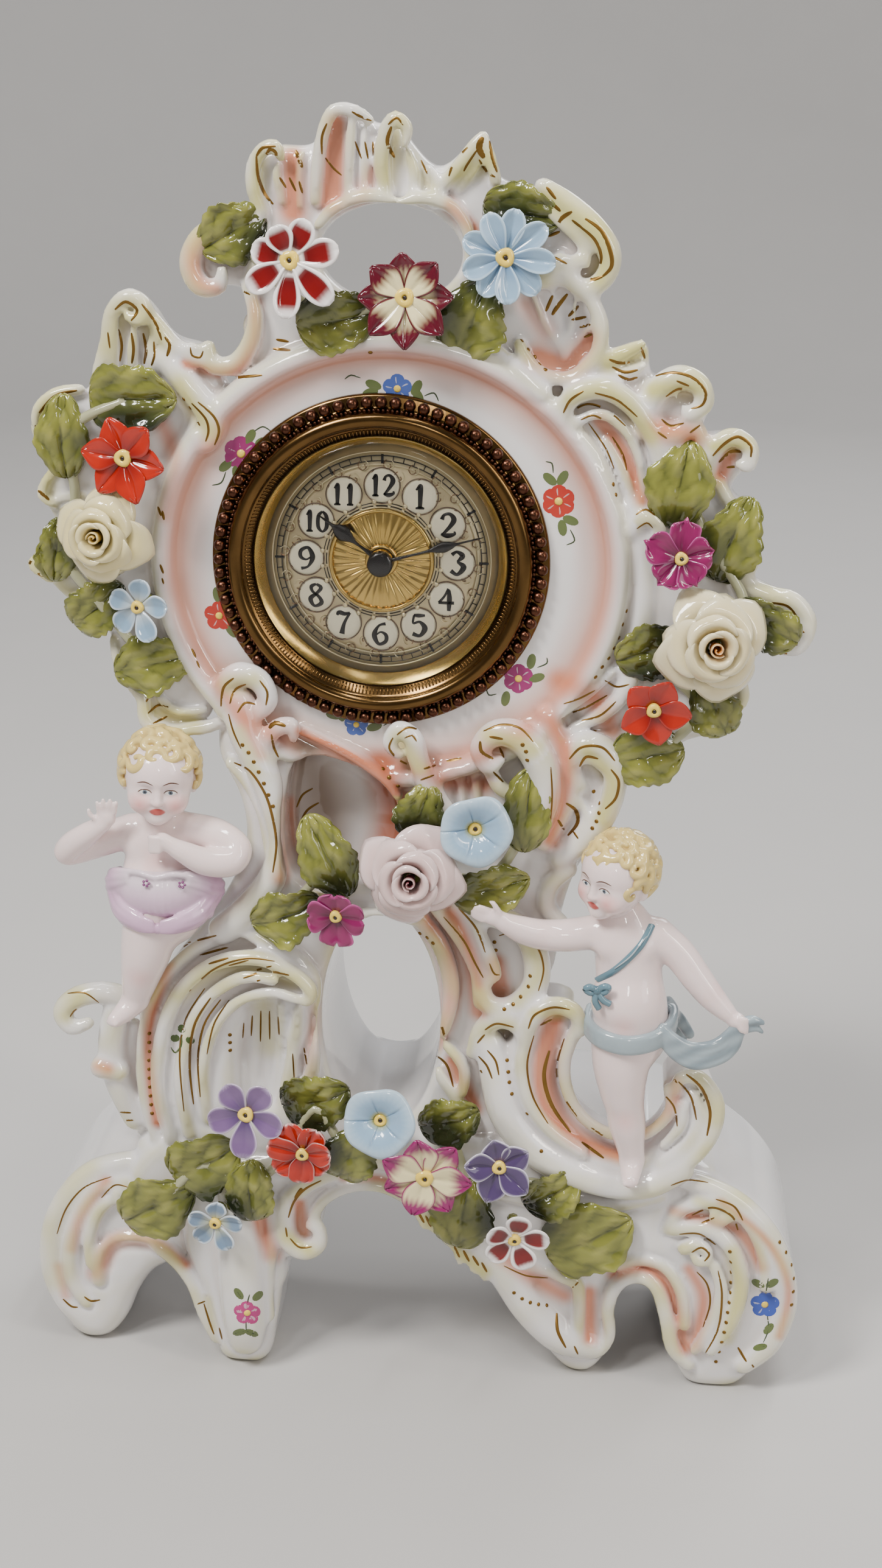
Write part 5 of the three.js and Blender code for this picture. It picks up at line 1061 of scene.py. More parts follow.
# The yellow buttons of blossoms and trumpets, as radius and height.
BLOSSOM_BUTTON = [(0, 2.9), (0.55, 2.9), (0.6, 3.35), (1.0, 3.75), (1.75, 3.7), (2.25, 3.2), (2.35, 2.4),
                  (2.0, 1.4), (0, 1.4)]
TRUMPET_BUTTON = [(0, 0.9), (0.7, 0.9), (0.75, 1.5), (1.1, 1.9), (1.8, 1.8), (2.3, 1.1), (2.4, -0.6),
                  (2.0, -3), (0, -3)]
PETALS = {
    "bordered": Petal(spoon, 0.68, 0.5, 0.0, 0.1, DEEP_RED, BRIGHT_RED, SNOW, 0.3, rim=0.9),
    "plain": Petal(spoon, 0.78, 1.7, 0.5, 0.2, DEEP_SKY, SKY * 0.92, linear(172, 196, 214), 0.16,
                   streaks=0.2),
    "forget": Petal(spoon, 0.62, 1.5, 0.2, 0.2, linear(186, 196, 200), SKY * 0.8, linear(190, 204, 216), 0.14,
                    streaks=0.08),
    "star": Petal(pointed, 0.9, 1.0, 0.7, 0.7, CREAM, CREAM, FRINGE, 0.66, streaks=0.8, sides=0.22),
    "tipped": Petal(pointed, 0.9, 1.0, 0.7, 0.4, CREAM, CREAM, BURGUNDY, 0.8, streaks=0.9, sides=0.24),
    "ridged": Petal(pointed, 0.74, 0.9, 1.2, 0.4, BRIGHT_RED, ORANGE, ORANGE * 0.8, 0.1),
    "wavy": Petal(broad, 0.96, 0.9, 0.9, 0.9, BRIGHT_RED, ORANGE, SNOW, 0.1, sides=0.4),
    "glossy": Petal(pointed, 0.72, 1.5, 0.2, 0.1, BRIGHT_RED, ORANGE, ORANGE, 0.1),
    "crumpled": Petal(notched, 0.86, 1.2, 0.9, 1.0, DEEP_MAGENTA, MAGENTA, linear(172, 80, 136), 0.1,
                      streaks=0.5, notch=-0.16),
    "pansy": Petal(notched, 0.86, 0.9, 0.8, 0.7, DEEP_MAGENTA, MAGENTA, linear(174, 76, 134), 0.12,
                   streaks=0.6, notch=0.12),
    "lilac": Petal(spoon, 0.6, 1.5, 0.3, 0.1, VIOLET, LILAC, linear(186, 172, 194), 0.12, streaks=0.25),
    "violet": Petal(pointed, 0.74, 1.4, 1.0, 0.3, VIOLET, VIOLET, linear(196, 190, 206), 0.12, streaks=0.4),
    "smoke": Petal(spoon, 0.64, 1.5, 0.3, 0.4, linear(186, 190, 160), SMOKE, linear(196, 206, 214), 0.16,
                   streaks=0.2),
}
# Each row is the node, its slot, place, petals, reach, kind, first angle, lean back and aside, and how much
# longer the petals are towards an angle: the flower's middle isn't at the middle of its petals.
BLOSSOMS = [
    ("flower_top_red", "red", (-26.5, -14, 395), 7, 14.8, "bordered", -27, 8, -6, 0.24, -60),
    ("flower_top_burgundy", "cream", (8, -14, 385), 8, 14.4, "tipped", 3, 6, 0, 0.08, -80),
    ("flower_top_blue", "blue", (37.5, -14, 397.5), 9, 14.4, "plain", -14, 6, 8, 0.06, 20),
    ("flower_left_orange", "orange", (-78.5, -16, 334), 6, 13.8, "ridged", 21, 5, -10, 0.04, -70),
    ("flower_left_blue", "blue", (-76, -14, 286), 5, 10.2, "forget", -8, 0, -8, 0.1, -80),
    ("flower_right_magenta", "magenta", (94.5, -14, 307.5), 5, 10.2, "crumpled", -5, 8, 8, 0.16, 120),
    ("flower_right_orange", "orange", (88.5, -16, 259), 5, 11.8, "glossy", 45, -4, 6, 0.06, -60),
    ("flower_middle_magenta", "magenta", (-12, -18, 184), 4, 9.6, "pansy", 0, -6, -8, 0.16, -90),
    ("flower_low_lilac", "lilac", (-42.5, -22, 110), 5, 13.6, "lilac", -35, 10, -6, 0.12, -90),
    ("flower_low_orange", "orange", (-23, -24, 97.5), 7, 11.4, "wavy", 24, -4, -4, 0.08, 150),
    ("flower_low_star", "cream", (19, -26, 92), 7, 15.4, "star", 10, -4, 2, 0.06, 60),
    ("flower_low_purple", "lilac", (44, -24, 96), 5, 12.2, "violet", 14, 6, 6, 0.12, -90),
    ("flower_low_red", "red", (50, -26, 70), 5, 11.5, "bordered", -12, -10, 6, 0.06, -40),
    ("flower_low_grey", "blue", (-54, -22, 67.5), 5, 9.8, "smoke", -6, -8, -4, 0.1, -90),
]


def lay_flat(points, spin):
    """Turns a petal about the flower's own axis, still in its a, b and height."""
    turned = stand(points, (0, 0, 0), spin)
    return np.stack([turned[..., 0], turned[..., 2], -turned[..., 1]], -1)


def make_blossom(name, slot, at, petals, reach, kind, first, pitch, yaw, longer, towards):
    """A ring of petals of one kind round a yellow button with a dark dot."""
    flower = Flower(at, pitch, yaw)
    style = PETALS[kind]
    width = 2 * reach * math.sin(math.pi / petals) * style.width
    for i in range(petals):
        jitter = RNG.uniform(-1, 1, 6)
        angle = first + 360 * i / petals
        size = reach * (1 + 0.04 * jitter[0] + longer * math.cos(math.radians(angle + 90 - towards)))
        stagger = 0.9 if i % 2 else 0

        def surface(u, v, size=size, jitter=jitter, stagger=stagger):
            share = style.outline(u)
            half = width / 2 * share * (1 + 0.06 * style.ripple * np.sin(9 * u + 4 * jitter[1]))
            tip = 1 - style.notch * np.exp(-(v / 0.3) ** 2) * np.clip((u - 0.6) / 0.4, 0, 1)
            rise = 1.2 + 3.2 * u - (1.5 - 1.0 * jitter[2]) * u * u
            hollow = style.cup * (v * v - 0.4) * share
            crease = style.crease * np.exp(-(v / 0.16) ** 2) * np.sin(math.pi * u)
            crimp = 0.55 * style.ripple * np.sin(7 * v + 3 * jitter[3]) * u * u
            bank = style.rim * 0.55 * (np.clip((np.abs(v) - 0.62) / 0.2, 0, 1) + np.clip((u - 0.82) / 0.1,
                                                                                         0, 1))
            height = rise + hollow - crease + crimp + np.minimum(bank, 0.6 * style.rim) + stagger
            return np.stack([half * v + 0.5 * jitter[4] * u * u, 1.0 + (size - 1.0) * u * tip, height], -1)

        def colour(u, v, jitter=jitter):
            rays = np.sin(17 * v + 4 * jitter[3]) * 0.6 + np.sin(31 * v + 9 * jitter[1]) * 0.4
            tone = blend(style.heart, style.body, u * 2.0 - 0.1 + 0.3 * style.streaks * rays)
            vein = (0.42 * style.streaks + 0.12) * np.exp(-(v / 0.12) ** 2) * (1 - u) * (style.rim == 0)
            side = (np.abs(v) - (1 - style.border * 0.9 * style.sides)) / 0.1
            end = (u - (1 - style.border * 0.75) + 0.1 * style.streaks * rays) / (0.12 + 0.14 * style.streaks)
            start = (style.border * 0.9 - u) / 0.08 if style.rim else np.full_like(u, -1.0)
            return blend(blend(tone, style.body * 0.55, vein), style.edge,
                         np.maximum(np.maximum(side, end), start))

        points, faces, colours = sheet(surface, 16, 17, 1.3, colour)
        flower.add(lay_flat(points, angle + 2 * jitter[5]), faces, colours)
    flower.add(*button(BLOSSOM_BUTTON, max(reach / 11.5, 0.92)), BUTTER)
    flower.add(*ball(0.75, (0.15, -0.1, 3.45), squash=0.35, rows=6, columns=10), DARK)
    flower.add_stalk((2.0, -3, -9), 2.0)
    flower.finish(name + "_petals", ENAMEL, slot, replaces=(name,))


def button(profile, scale):
    """Points and faces of a small turned button, its profile given as radius and height."""
    turn = np.linspace(0, 2 * math.pi, 20, endpoint=False)[None, :]
    radius, height = np.array(profile, float).T[:, :, None]
    radius = radius * scale * (1 + 0.05 * np.sin(3 * turn + scale * 9))
    points = np.stack([radius * np.cos(turn), radius * np.sin(turn), height + 0 * turn], -1)
    return points.reshape(-1, 3), grid_faces(len(profile), 20, wrap=True)


# Roses. Each row is the node, its slot, place, reach, the colours of heart, petal and lip, first angle and
# leans.
ROSES = [
    ("rose_left_cream", "cream", (-87, -16, 309), 15.4, linear(196, 164, 84), linear(214, 200, 146),
     linear(226, 216, 176), 20, 4, -8),
    ("rose_right_cream", "cream", (106, -18, 281), 17.6, linear(200, 120, 30), linear(216, 202, 158),
     linear(228, 220, 190), 150, 6, 8),
    ("rose_middle_pink", "rose", (13, -24, 201), 17.0, linear(110, 40, 52), linear(212, 184, 180),
     linear(226, 208, 208), 100, 4, 0),
]
# Layers of a rose: petals, how far out the lip is, how high, where the root is, its span in degrees and how
# far the lip bends back, all but the span as shares of the reach.
ROSE_LAYERS = [(3, 0.36, 0.60, 0.16, 165, 0.10), (3, 0.62, 0.52, 0.22, 150, 0.30),
               (3, 0.86, 0.34, 0.24, 128, 0.36), (4, 1.02, 0.14, 0.24, 108, 0.30)]
# Half of the angle in radians that a bud is wound through.
BUD_TURN = 4.6


def make_rose(name, slot, at, reach, heart, body, edge, first, pitch, yaw):
    """A wound bud, two turns of upright petals and broad outer ones that are laid back."""
    rose = Flower(at, pitch, yaw)

    def bud(u, v):
        wound = (v + 1) * BUD_TURN
        turn = math.radians(first) + wound
        radius = reach * (0.035 + 0.01 * wound) * (0.8 + 0.35 * u)
        return np.stack([radius * np.cos(turn), radius * np.sin(turn),
                         reach * (0.1 + (0.52 - 0.03 * (v + 1)) * u) + 0.2 * np.sin(5 * turn)], -1)

    def bud_colour(u, v):
        return blend(blend(heart * 0.55, heart, u * 1.5 - 0.2), body, (u - 0.82) * 3 + 0.35 * (v + 0.2))

    rose.add(*sheet(bud, 9, 61, 0.8, bud_colour))
    for layer, (count, out, height, root, span, back) in enumerate(ROSE_LAYERS):
        for i in range(count):
            jitter = RNG.uniform(-1, 1, 5)
            turn = math.radians(first + 77 * layer + 360 * i / count + 7 * jitter[0])
            wide = math.radians(span * (1 + 0.06 * jitter[1]))

            def surface(u, v, turn=turn, wide=wide, jitter=jitter):
                notch = np.exp(-((v - 0.25 * jitter[2]) / 0.2) ** 2)
                full = 1 - 0.36 * np.abs(v) ** 2.4 + (0.09 * out) * notch
                s = u * full
                angle = turn + v * wide / 2 * (0.75 + 0.25 * np.sin(s * math.pi / 2))
                radius = reach * (root + (out - root) * s ** 1.25) * (1 + 0.06 * v) + 0.35 * jitter[3] * u
                lift = reach * height * np.sin(np.clip(s * 1.12, 0, 1) * math.pi / 2) ** 0.9
                lip = reach * back * np.clip(s - 0.66, 0, 1) ** 1.5 * 4.2
                wave = (0.4 + 0.9 * (out > 0.7)) * np.sin(3.6 * v + 4 * jitter[4]) * u * u
                return np.stack([radius * np.cos(angle), radius * np.sin(angle), lift - lip + wave], -1)

            def colour(u, v):
                tone = blend(blend(heart, body, 0.15 + u * 0.9 + out * 0.9), body * 0.86,
                             0.5 * (1 - u) * (out > 0.5))
                return blend(tone, edge, (u - 0.75) * 3)

            rose.add(*sheet(surface, 14, 23, 1.1, colour))
    rose.add(*ball(reach * 0.07, (0, 0, reach * 0.2), squash=2.2), heart * 0.5)
    rose.add_stalk((1.0, -4, -10), 2.6)
    rose.finish(name + "_petals", ENAMEL, slot, replaces=(name,))


# Trumpets. Each row is the node, its slot, place, reach and leans.
TRUMPETS = [
    ("trumpet_middle_blue", "blue", (33, -20, 217), 11.8, 6, 10),
    ("trumpet_low_blue", "blue", (3.5, -24, 111), 12.2, 12, -2),
]


def make_trumpet(name, slot, at, reach, pitch, yaw):
    """A nearly round bell, pale blue, with darker rays and a yellow-green throat."""
    bell = Flower(at, pitch, yaw)

    def surface(u, v):
        angle = 2 * np.arcsin(v)
        lobe = 1 + 0.035 * np.cos(5 * angle + 0.6) * u ** 3 + 0.02 * np.sin(3 * angle + reach) * u ** 4
        radius = reach * (0.12 + 0.36 * u + 0.52 * u ** 2) * lobe
        crease = 0.5 * np.exp(-((np.cos(2.5 * angle)) / 0.16) ** 2) * np.sin(math.pi * u)
        height = -1.5 + 8.2 * u ** 0.8 - 2.4 * u ** 5 + 0.5 * np.cos(3 * angle + 1) * u ** 3 - crease
        return np.stack([radius * np.cos(angle), radius * np.sin(angle), height], -1)

    def colour(u, v):
        angle = 2 * np.arcsin(v)
        ray = np.exp(-((np.cos(2.5 * angle)) / 0.2) ** 2) * np.sin(math.pi * np.clip(u * 1.15, 0, 1))
        fine = 0.06 * np.cos(31 * angle)
        tone = blend(blend(THROAT, SKY, (u - 0.16) * 4.2 + fine), BELL_LIP, (u - 0.72) * 3 + fine)
        return blend(tone, DEEP_SKY * 0.7, 0.5 * ray)

    bell.add(*sheet(surface, 18, 91, 1.4, colour))
    bell.add(*button(TRUMPET_BUTTON, 1.0), BUTTER)
    bell.add(*ball(0.8, (0, 0, 1.5), squash=0.35, rows=6, columns=10), DARK)
    bell.add_stalk((-1.0, -6, -11), 2.4)
    bell.finish(name + "_bell", ENAMEL, slot, replaces=(name,))


# Leaves. Each row is x, y, z, length, width and turn in degrees from upright. Each stem runs behind them.
SPRAYS = {
    "leaves_top": (
        [(-46, -5, 402, 21, 17, 60), (-14, -7, 377, 23, 18, 80), (28, -7, 378, 24, 20, 20),
         (42, -5, 410, 22, 16, 100)],
        [(-44, -4, 400), (-30, -6, 386), (-14, -6, 377), (8, -6, 385), (27, -6, 379), (36, -5, 394),
         (42, -5, 408)]),
    "leaves_left": (
        [(-78, -7, 351, 26, 20, 90), (-100, -7, 338, 25, 15, 0), (-104, -6, 301, 20, 12, 10),
         (-92, -5, 283, 20, 16, 50), (-74, -7, 264, 24, 18, 75)],
        [(-80, -7, 350), (-98, -7, 340), (-98, -4, 318), (-102, -6, 300), (-90, -6, 283), (-76, -7, 266)]),
    "leaves_right": (
        [(94, -7, 329, 26, 19, 10), (111, -7, 312, 27, 18, 20), (123, -9, 286, 22, 14, -60),
         (87, -7, 275, 21, 17, 70), (108, -8, 257, 19, 15, -30), (88, -9, 240, 22, 19, 80)],
        [(94, -6, 328), (106, -6, 308), (116, -7, 290), (106, -6, 272), (92, -6, 270), (104, -7, 256),
         (92, -8, 242)]),
    "leaves_middle": (
        [(15, -13, 218, 20, 15, 15), (50, -13, 221, 27, 15, 5), (38, -12, 193, 25, 15, 75),
         (-16, -13, 202, 29, 17, -25), (-30, -13, 181, 23, 18, 70)],
        [(15, -10, 216), (32, -9, 214), (48, -10, 216), (38, -9, 196), (12, -9, 196), (-14, -10, 196),
         (-28, -11, 183)]),
    "leaves_low_left": (
        [(-59, -17, 87, 25, 22, 60), (-42, -19, 77, 23, 16, 0), (-76, -17, 68, 27, 22, 60),
         (-20, -16, 113, 23, 20, 70), (-8, -19, 94, 20, 18, 20)],
        [(-74, -17, 70), (-59, -17, 86), (-44, -18, 80), (-31, -17, 90), (-20, -17, 110), (-9, -18, 97),
         (3.5, -16, 111)]),
    "leaves_low_right": (
        [(26, -13, 106, 20, 18, 70), (32, -13, 69, 25, 20, 10), (62, -16, 82, 20, 17, 60),
         (76, -13, 62, 31, 25, 60)],
        [(25, -10, 104), (31, -10, 86), (33, -10, 74), (48, -12, 82), (62, -14, 82), (74, -11, 65)]),
}


# The place and reach of every flower: leaves get painted shade near them.
FLOWER_DISCS = [(row[2], row[4]) for row in BLOSSOMS] \
    + [(row[2], row[3]) for row in ROSES + TRUMPETS]


def make_leaf(shape, x, y, z, length, width, turn):
    """A broad, thick and lumpy leaf, olive at its free end, with painted shade that turns it nearly black by
    the blossoms.
    """
    jitter = RNG.uniform(-1, 1, 6)

    def outline(u):
        body = np.sin(math.pi * np.clip(u, 0, 1) ** (0.88 + 0.1 * jitter[3])) ** 0.5
        teeth = np.abs((7 * u + jitter[0]) % 1 - 0.35)
        return np.maximum(body,
                          0.05) * (1 + 0.07 * np.sin(10 * u + 4 * jitter[0]) - 0.16 * teeth * (u > 0.12))

    def lumps(u, v):
        return np.sin(9 * u + 5 * v + 3 * jitter[1]) * np.cos(6 * v - 4 * u + 2 * jitter[2]) \
            + 0.5 * np.sin(21 * u - 9 * v + jitter[5]) * np.cos(15 * v)

    def veins(u, v):
        return np.clip(np.sin((u - 0.45 * np.abs(v)) * 19 + jitter[1]), 0, 1) ** 4

    def midrib(v):
        return np.exp(-(v / 0.08) ** 2)

    def surface(u, v):
        share = outline(u)
        fold = 2.6 * np.abs(v) ** 1.4 * share * (0.5 + 0.6 * jitter[2])
        arch = 2.6 * (1 - (2 * u - 1) ** 2) - 1.2
        rim = 1.1 * np.abs(v) ** 5 * np.sin(11 * u + 5 * v + 4 * jitter[4]) * share
        groove = 0.5 * veins(u, v) * (1 - np.abs(v)) + 1.1 * midrib(v) * np.sin(math.pi * u)
        return np.stack([width * 0.58 * share * v + 0.9 * jitter[2] * np.sin(3 * u),
                         length * 1.08 * (u - 0.5), arch + fold + rim + 0.62 * lumps(u, v) - groove], -1)

    def colour(u, v):
        # Painted shade between the lumps and a painted highlight on their crests; darker along the veins and
        # the midrib.
        tone = blend(LEAF_LIGHT, LEAF_DARK, 0.4 * np.clip(-lumps(u, v), 0, 1) + 0.15)
        tone = blend(tone, LEAF_DARK, 0.5 * veins(u, v) + 0.45 * midrib(v))
        return blend(tone, LEAF_HIGHLIGHT, 0.45 * np.clip(lumps(u, v) - 0.3, 0, 1))

    points, faces, colours = sheet(surface, 36, 25, 1.9, colour)
    points = stand(points, (x, y, z), -turn, 4 * jitter[1], 6 * jitter[3])
    # Painted shade: darker, and nearly black, next to the flowers.
    gaps = [np.hypot(points[:, 0] - at[0], points[:, 2] - at[2]) - reach for at, reach in FLOWER_DISCS]
    shade = np.clip(0.8 - np.min(gaps, axis=0) / (0.5 * length), 0, 1)
    shape.add(points, faces, blend(blend(colours, LEAF_DARK, shade), LEAF_SHADOW, shade * 1.4 - 0.6))


def make_spray(name, leaves, stem):
    """The leaves of one spray, and the stem that runs behind them."""
    spray = Shape()
    for row in leaves:
        make_leaf(spray, *row)
    spray.add(*tube(smooth(stem), 1.7, 10), blend(LEAF_LIGHT, WHITE, np.array(0.25)))
    spray.finish(name + "_painted", ENAMEL, "leaf", replaces=(name,))


# Bezel, dial and hands, in true places.
DIAL_FACE = -0.05
MILLED_TEETH = 230


def lathe(profile, centre=(0.0, DIAL_Z), columns=160, closed=False):
    """Points and faces of a surface turned about a line along y, from radius and y."""
    radius, depth = np.asarray(profile, float).T[:, :, None]
    turn = np.linspace(0, 2 * math.pi, columns, endpoint=False)[None, :]
    points = np.stack([centre[0] + radius * np.cos(turn), depth + 0 * turn,
                       centre[1] + radius * np.sin(turn)], -1)
    if closed:
        points = np.concatenate([points, points[:1]])
    return points, grid_faces(len(points), columns, wrap=True)


def arc(centre, radius, start, end, steps=10):
    """Points of an arc, from one angle in degrees to another."""
    turn = np.radians(np.linspace(start, end, steps))
    return [(centre[0] + radius * math.cos(t), centre[1] + radius * math.sin(t)) for t in turn]


def on_dial(radius, turn):
    """x and z of a place at a radius and an angle in radians from the dial's axis."""
    return np.array([radius * math.cos(turn), DIAL_Z + radius * math.sin(turn)])


def bead_ring(shape, count, radius, y, size):
    """Beads round the dial's axis."""
    large = size > 1
    for i in range(count):
        x, z = on_dial(radius, 2 * math.pi * i / count)
        points, faces = ball(size, rows=9 if large else 6, columns=14 if large else 8)
        shape.add(points + [x, y, z], faces)


def node_depths(name):
    """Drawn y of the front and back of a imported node."""
    low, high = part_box(name)
    return low.y / MM - MARKS[1], high.y / MM - MARKS[1]


def make_bezel():
    """A polished cove with a milled inner lip, and around it a cord and a ring of beads in dark bronze."""
    _, back = node_depths("bezel")
    cove, beads = Shape(), Shape()
    profile = [(40.7, back), (40.7, -4.4), (41.0, -5.2), (43.2, -6.5), (43.5, -6.9)]
    profile += arc((46.4, -6.6), 2.5, 190, 345, 14)
    profile += [(49.0, -6.2), (49.4, -5.2), (50.2, -4.6), (53.2, -4.5), (54.0, -4.0), (54.2, -3.3),
                (45.6, -3.1), (45.6, back)]
    cove.add(*lathe(profile, closed=True))
    bead_ring(beads, 72, 51.6, -5.6, 1.95)
    bead_ring(beads, 210, 49.2, -6.2, 0.55)
    for i in range(MILLED_TEETH):
        turn = 2 * math.pi * i / MILLED_TEETH
        line = [[r * math.cos(turn), y, DIAL_Z + r * math.sin(turn)]
                for r, y in ((41.1, -5.4), (42.1, -6.0), (43.1, -6.6))]
        cove.add(*tube(line, 0.26, 6))
    cove.finish("bezel_cove", POLISHED, "brass", replaces=("bezel",))
    beads.finish("bezel_beads", BRONZE, "brass", replaces=("bezel",))


def ribbon(path, widths, surface=DIAL_FACE, thickness=0.18):
    """A flat stroke of paint that follows a path of x and z on the plane y = surface."""
    path = np.asarray(path, float)
    ahead = unit(np.gradient(path, axis=0))
    side = np.stack([-ahead[:, 1], ahead[:, 0]], 1) * (np.broadcast_to(widths, (len(path),))[:, None] / 2)
    rows = []
    for offset, lift in ((-1.0, 0.0), (-0.8, thickness), (0.8, thickness), (1.0, 0.0)):
        place = path + side * offset
        rows.append(np.stack([place[:, 0], np.full(len(path), surface - 0.05 - lift), place[:, 1]], 1))
    return np.stack(rows, 1), grid_faces(len(path), 4)


def chase_plate(plate):
    """Scrolls, studs and raised rings of the silvered plate."""
    plate.add(*lathe([(0.6, 0.9), (41.4, 0.9), (41.4, 0.0), (0.6, 0.0)], closed=True, columns=120), PLATE)
    for i in range(48):
        turn = 2 * math.pi * (i + 0.5) / 48
        centre = on_dial(27.5 + (3.4 if i % 2 else 0), turn)
        for side in (-1, 1):
            curl = []
            for t in np.linspace(0, 1, 14):
                angle = turn + side * (0.4 + 5.2 * t)
                r = 1.9 * (1 - 0.75 * t)
                curl.append(centre + [r * math.cos(angle), r * math.sin(angle)])
            plate.add(*ribbon(curl, 0.3, thickness=0.3), SCROLL if side > 0 else SILVER)
    for i in range(24):
        for reach, size in ((19.2, 0.9), (17.6, 0.6)):
            x, z = on_dial(reach, 2 * math.pi * (i + 0.5) / 24)
            points, faces = ball(size, rows=6, columns=9)
            plate.add(points + [x, DIAL_FACE, z], faces, SILVER)
    for radius, width in ((35.2, 0.5), (31.0, 0.4), (17.2, 0.5)):
        plate.add(*ribbon(arc((0, DIAL_Z), radius, 0, 360, 121), width, thickness=0.3), SILVER)


def paint_track(paint):
    """The minute track and the rings beside it and round the medallion."""
    for minute in range(60):
        turn = math.radians(90 - 6 * minute)
        inner, outer, width = (31.4, 34.4, 0.8) if minute % 5 == 0 else (32.2, 33.9, 0.3)
        line = [on_dial(r, turn) for r in (inner, (inner + outer) / 2, outer)]
        paint.add(*ribbon(line, width), INK)
    for radius in (17.8, 18.7, 32.2, 33.9):
        paint.add(*ribbon(arc((0, DIAL_Z), radius, 0, 360, 121), 0.3), INK)


def paint_hour(paint, hour):
    """One round white spot with its figures."""
    x, z = on_dial(HOUR_RING, math.radians(90 - 30 * hour))
    spot = [(0.02, -0.75), (3.6, -0.70), (HOUR_SPOT - 0.5, -0.45), (HOUR_SPOT, DIAL_FACE + 0.1)]
    paint.add(*lathe(spot, (x, z), 40), SPOT)
    paint.add(*ribbon(arc((x, z), HOUR_SPOT + 0.1, 0, 360, 41), 0.34, thickness=0.5), SCROLL * 0.5)
    figures = str(hour)
    single = len(figures) == 1
    tall, wide = (7.4, 0.95) if single else (6.6, 0.78)
    for k, figure in enumerate(figures):
        shift = 0 if single else (k - 0.5) * 0.62
        for stroke in FIGURES[figure]:
            path = smooth(stroke)
            line = np.stack([x + tall * (path[:, 0] * wide + shift), z + tall * path[:, 1]], 1)
            paint.add(*ribbon(line, tall * (path[:, 2] * 1.15 + 0.02), -0.62), INK)


# Strokes of the ten figures on a square of 1 by 1, each stroke a list of x, y and width.
FIGURES = {
    "1": [[(-0.18, 0.30, 0.06), (0.0, 0.5, 0.12), (0.02, 0.3, 0.2), (0.0, -0.5, 0.14)],
          [(-0.2, -0.5, 0.05), (0.0, -0.46, 0.12), (0.2, -0.5, 0.05)]],
    "2": [[(-0.26, 0.26, 0.16), (-0.16, 0.46, 0.1), (0.1, 0.5, 0.12), (0.28, 0.28, 0.2), (0.14, 0.0, 0.16),
           (-0.24, -0.42, 0.08)], [(-0.3, -0.38, 0.08), (0.0, -0.44, 0.18), (0.32, -0.36, 0.1),
                                   (0.3, -0.24, 0.05)]],
    "3": [[(-0.24, 0.36, 0.14), (-0.02, 0.5, 0.1), (0.24, 0.32, 0.2), (0.0, 0.06, 0.07)],
          [(0.0, 0.06, 0.07), (0.3, -0.16, 0.22), (0.02, -0.5, 0.12), (-0.28, -0.34, 0.16)]],
    "4": [[(0.1, 0.5, 0.1), (-0.1, 0.14, 0.08), (-0.34, -0.14, 0.1)], [(-0.36, -0.14, 0.1),
                                                                       (0.36, -0.14, 0.12)],
          [(0.12, 0.44, 0.1), (0.14, 0.0, 0.2), (0.12, -0.5, 0.12)]],
    "5": [[(0.3, 0.46, 0.08), (0.0, 0.44, 0.14), (-0.22, 0.46, 0.08)],
          [(-0.2, 0.46, 0.08), (-0.24, 0.1, 0.08), (0.06, 0.16, 0.1), (0.3, -0.12, 0.22), (0.08, -0.46, 0.12),
           (-0.26, -0.38, 0.16)]],
    "6": [[(0.22, 0.46, 0.12), (-0.1, 0.36, 0.08), (-0.3, -0.06, 0.2), (-0.1, -0.46, 0.12),
           (0.22, -0.34, 0.14), (0.24, -0.06, 0.14), (0.0, 0.08, 0.07), (-0.22, -0.06, 0.06)]],
    "7": [[(-0.3, 0.34, 0.08), (-0.2, 0.46, 0.16), (0.06, 0.4, 0.14), (0.3, 0.46, 0.08)],
          [(0.3, 0.46, 0.08), (0.04, 0.0, 0.12), (-0.08, -0.5, 0.2)]],
    "8": [[(0.0, 0.5, 0.08), (0.22, 0.34, 0.14), (0.02, 0.08, 0.12), (-0.26, -0.16, 0.18),
           (-0.08, -0.48, 0.1),
           (0.24, -0.34, 0.16), (0.14, -0.08, 0.12), (-0.16, 0.16, 0.1), (-0.22, 0.38, 0.14),
           (0.0, 0.5, 0.08)]],
    "9": [[(-0.22, -0.46, 0.12), (0.1, -0.36, 0.08), (0.3, 0.06, 0.2), (0.1, 0.46, 0.12), (-0.22, 0.34, 0.14),
           (-0.24, 0.06, 0.14), (0.0, -0.06, 0.07), (0.22, 0.06, 0.06)]],
    "0": [[(0.0, 0.5, 0.08), (-0.24, 0.26, 0.16), (-0.26, -0.26, 0.16), (0.0, -0.5, 0.08),
           (0.26, -0.26, 0.16), (0.24, 0.26, 0.16), (0.0, 0.5, 0.08)]],
}
HOUR_RING, HOUR_SPOT = 24.3, 5.7
PLATE, SILVER, SCROLL = linear(196, 182, 146), linear(206, 194, 158), linear(128, 100, 76)
SPOT, INK = linear(214, 207, 180), linear(14, 11, 10)
GLASS_RADIUS, GLASS_THICKNESS = 40.4, 0.9
# Each row is the node, its body, the angle from 12, the length, and half widths at shares of the length.
HANDS = [
    ("hour_hand", "hour", 306, 25, [(0.0, 1.6), (0.16, 0.9), (0.34, 0.5), (0.46, 1.0), (0.58, 2.6),
                                    (0.68, 2.1), (0.76, 0.7), (0.88, 0.42), (1.0, 0.12)]),
    ("minute_hand", "minute_arbor", 74, 34, [(0.0, 1.3), (0.12, 0.7), (0.4, 0.42), (0.5, 0.8), (0.6, 1.8),
                                             (0.68, 1.3), (0.75, 0.45), (0.9, 0.3), (1.0, 0.1)]),
]
# A hand's section, as shares of its half width and of its thickness.
HAND_SECTION = ((-1, 0), (-0.7, -1), (0, -1.25), (0.7, -1), (1, 0), (0, 0.4))


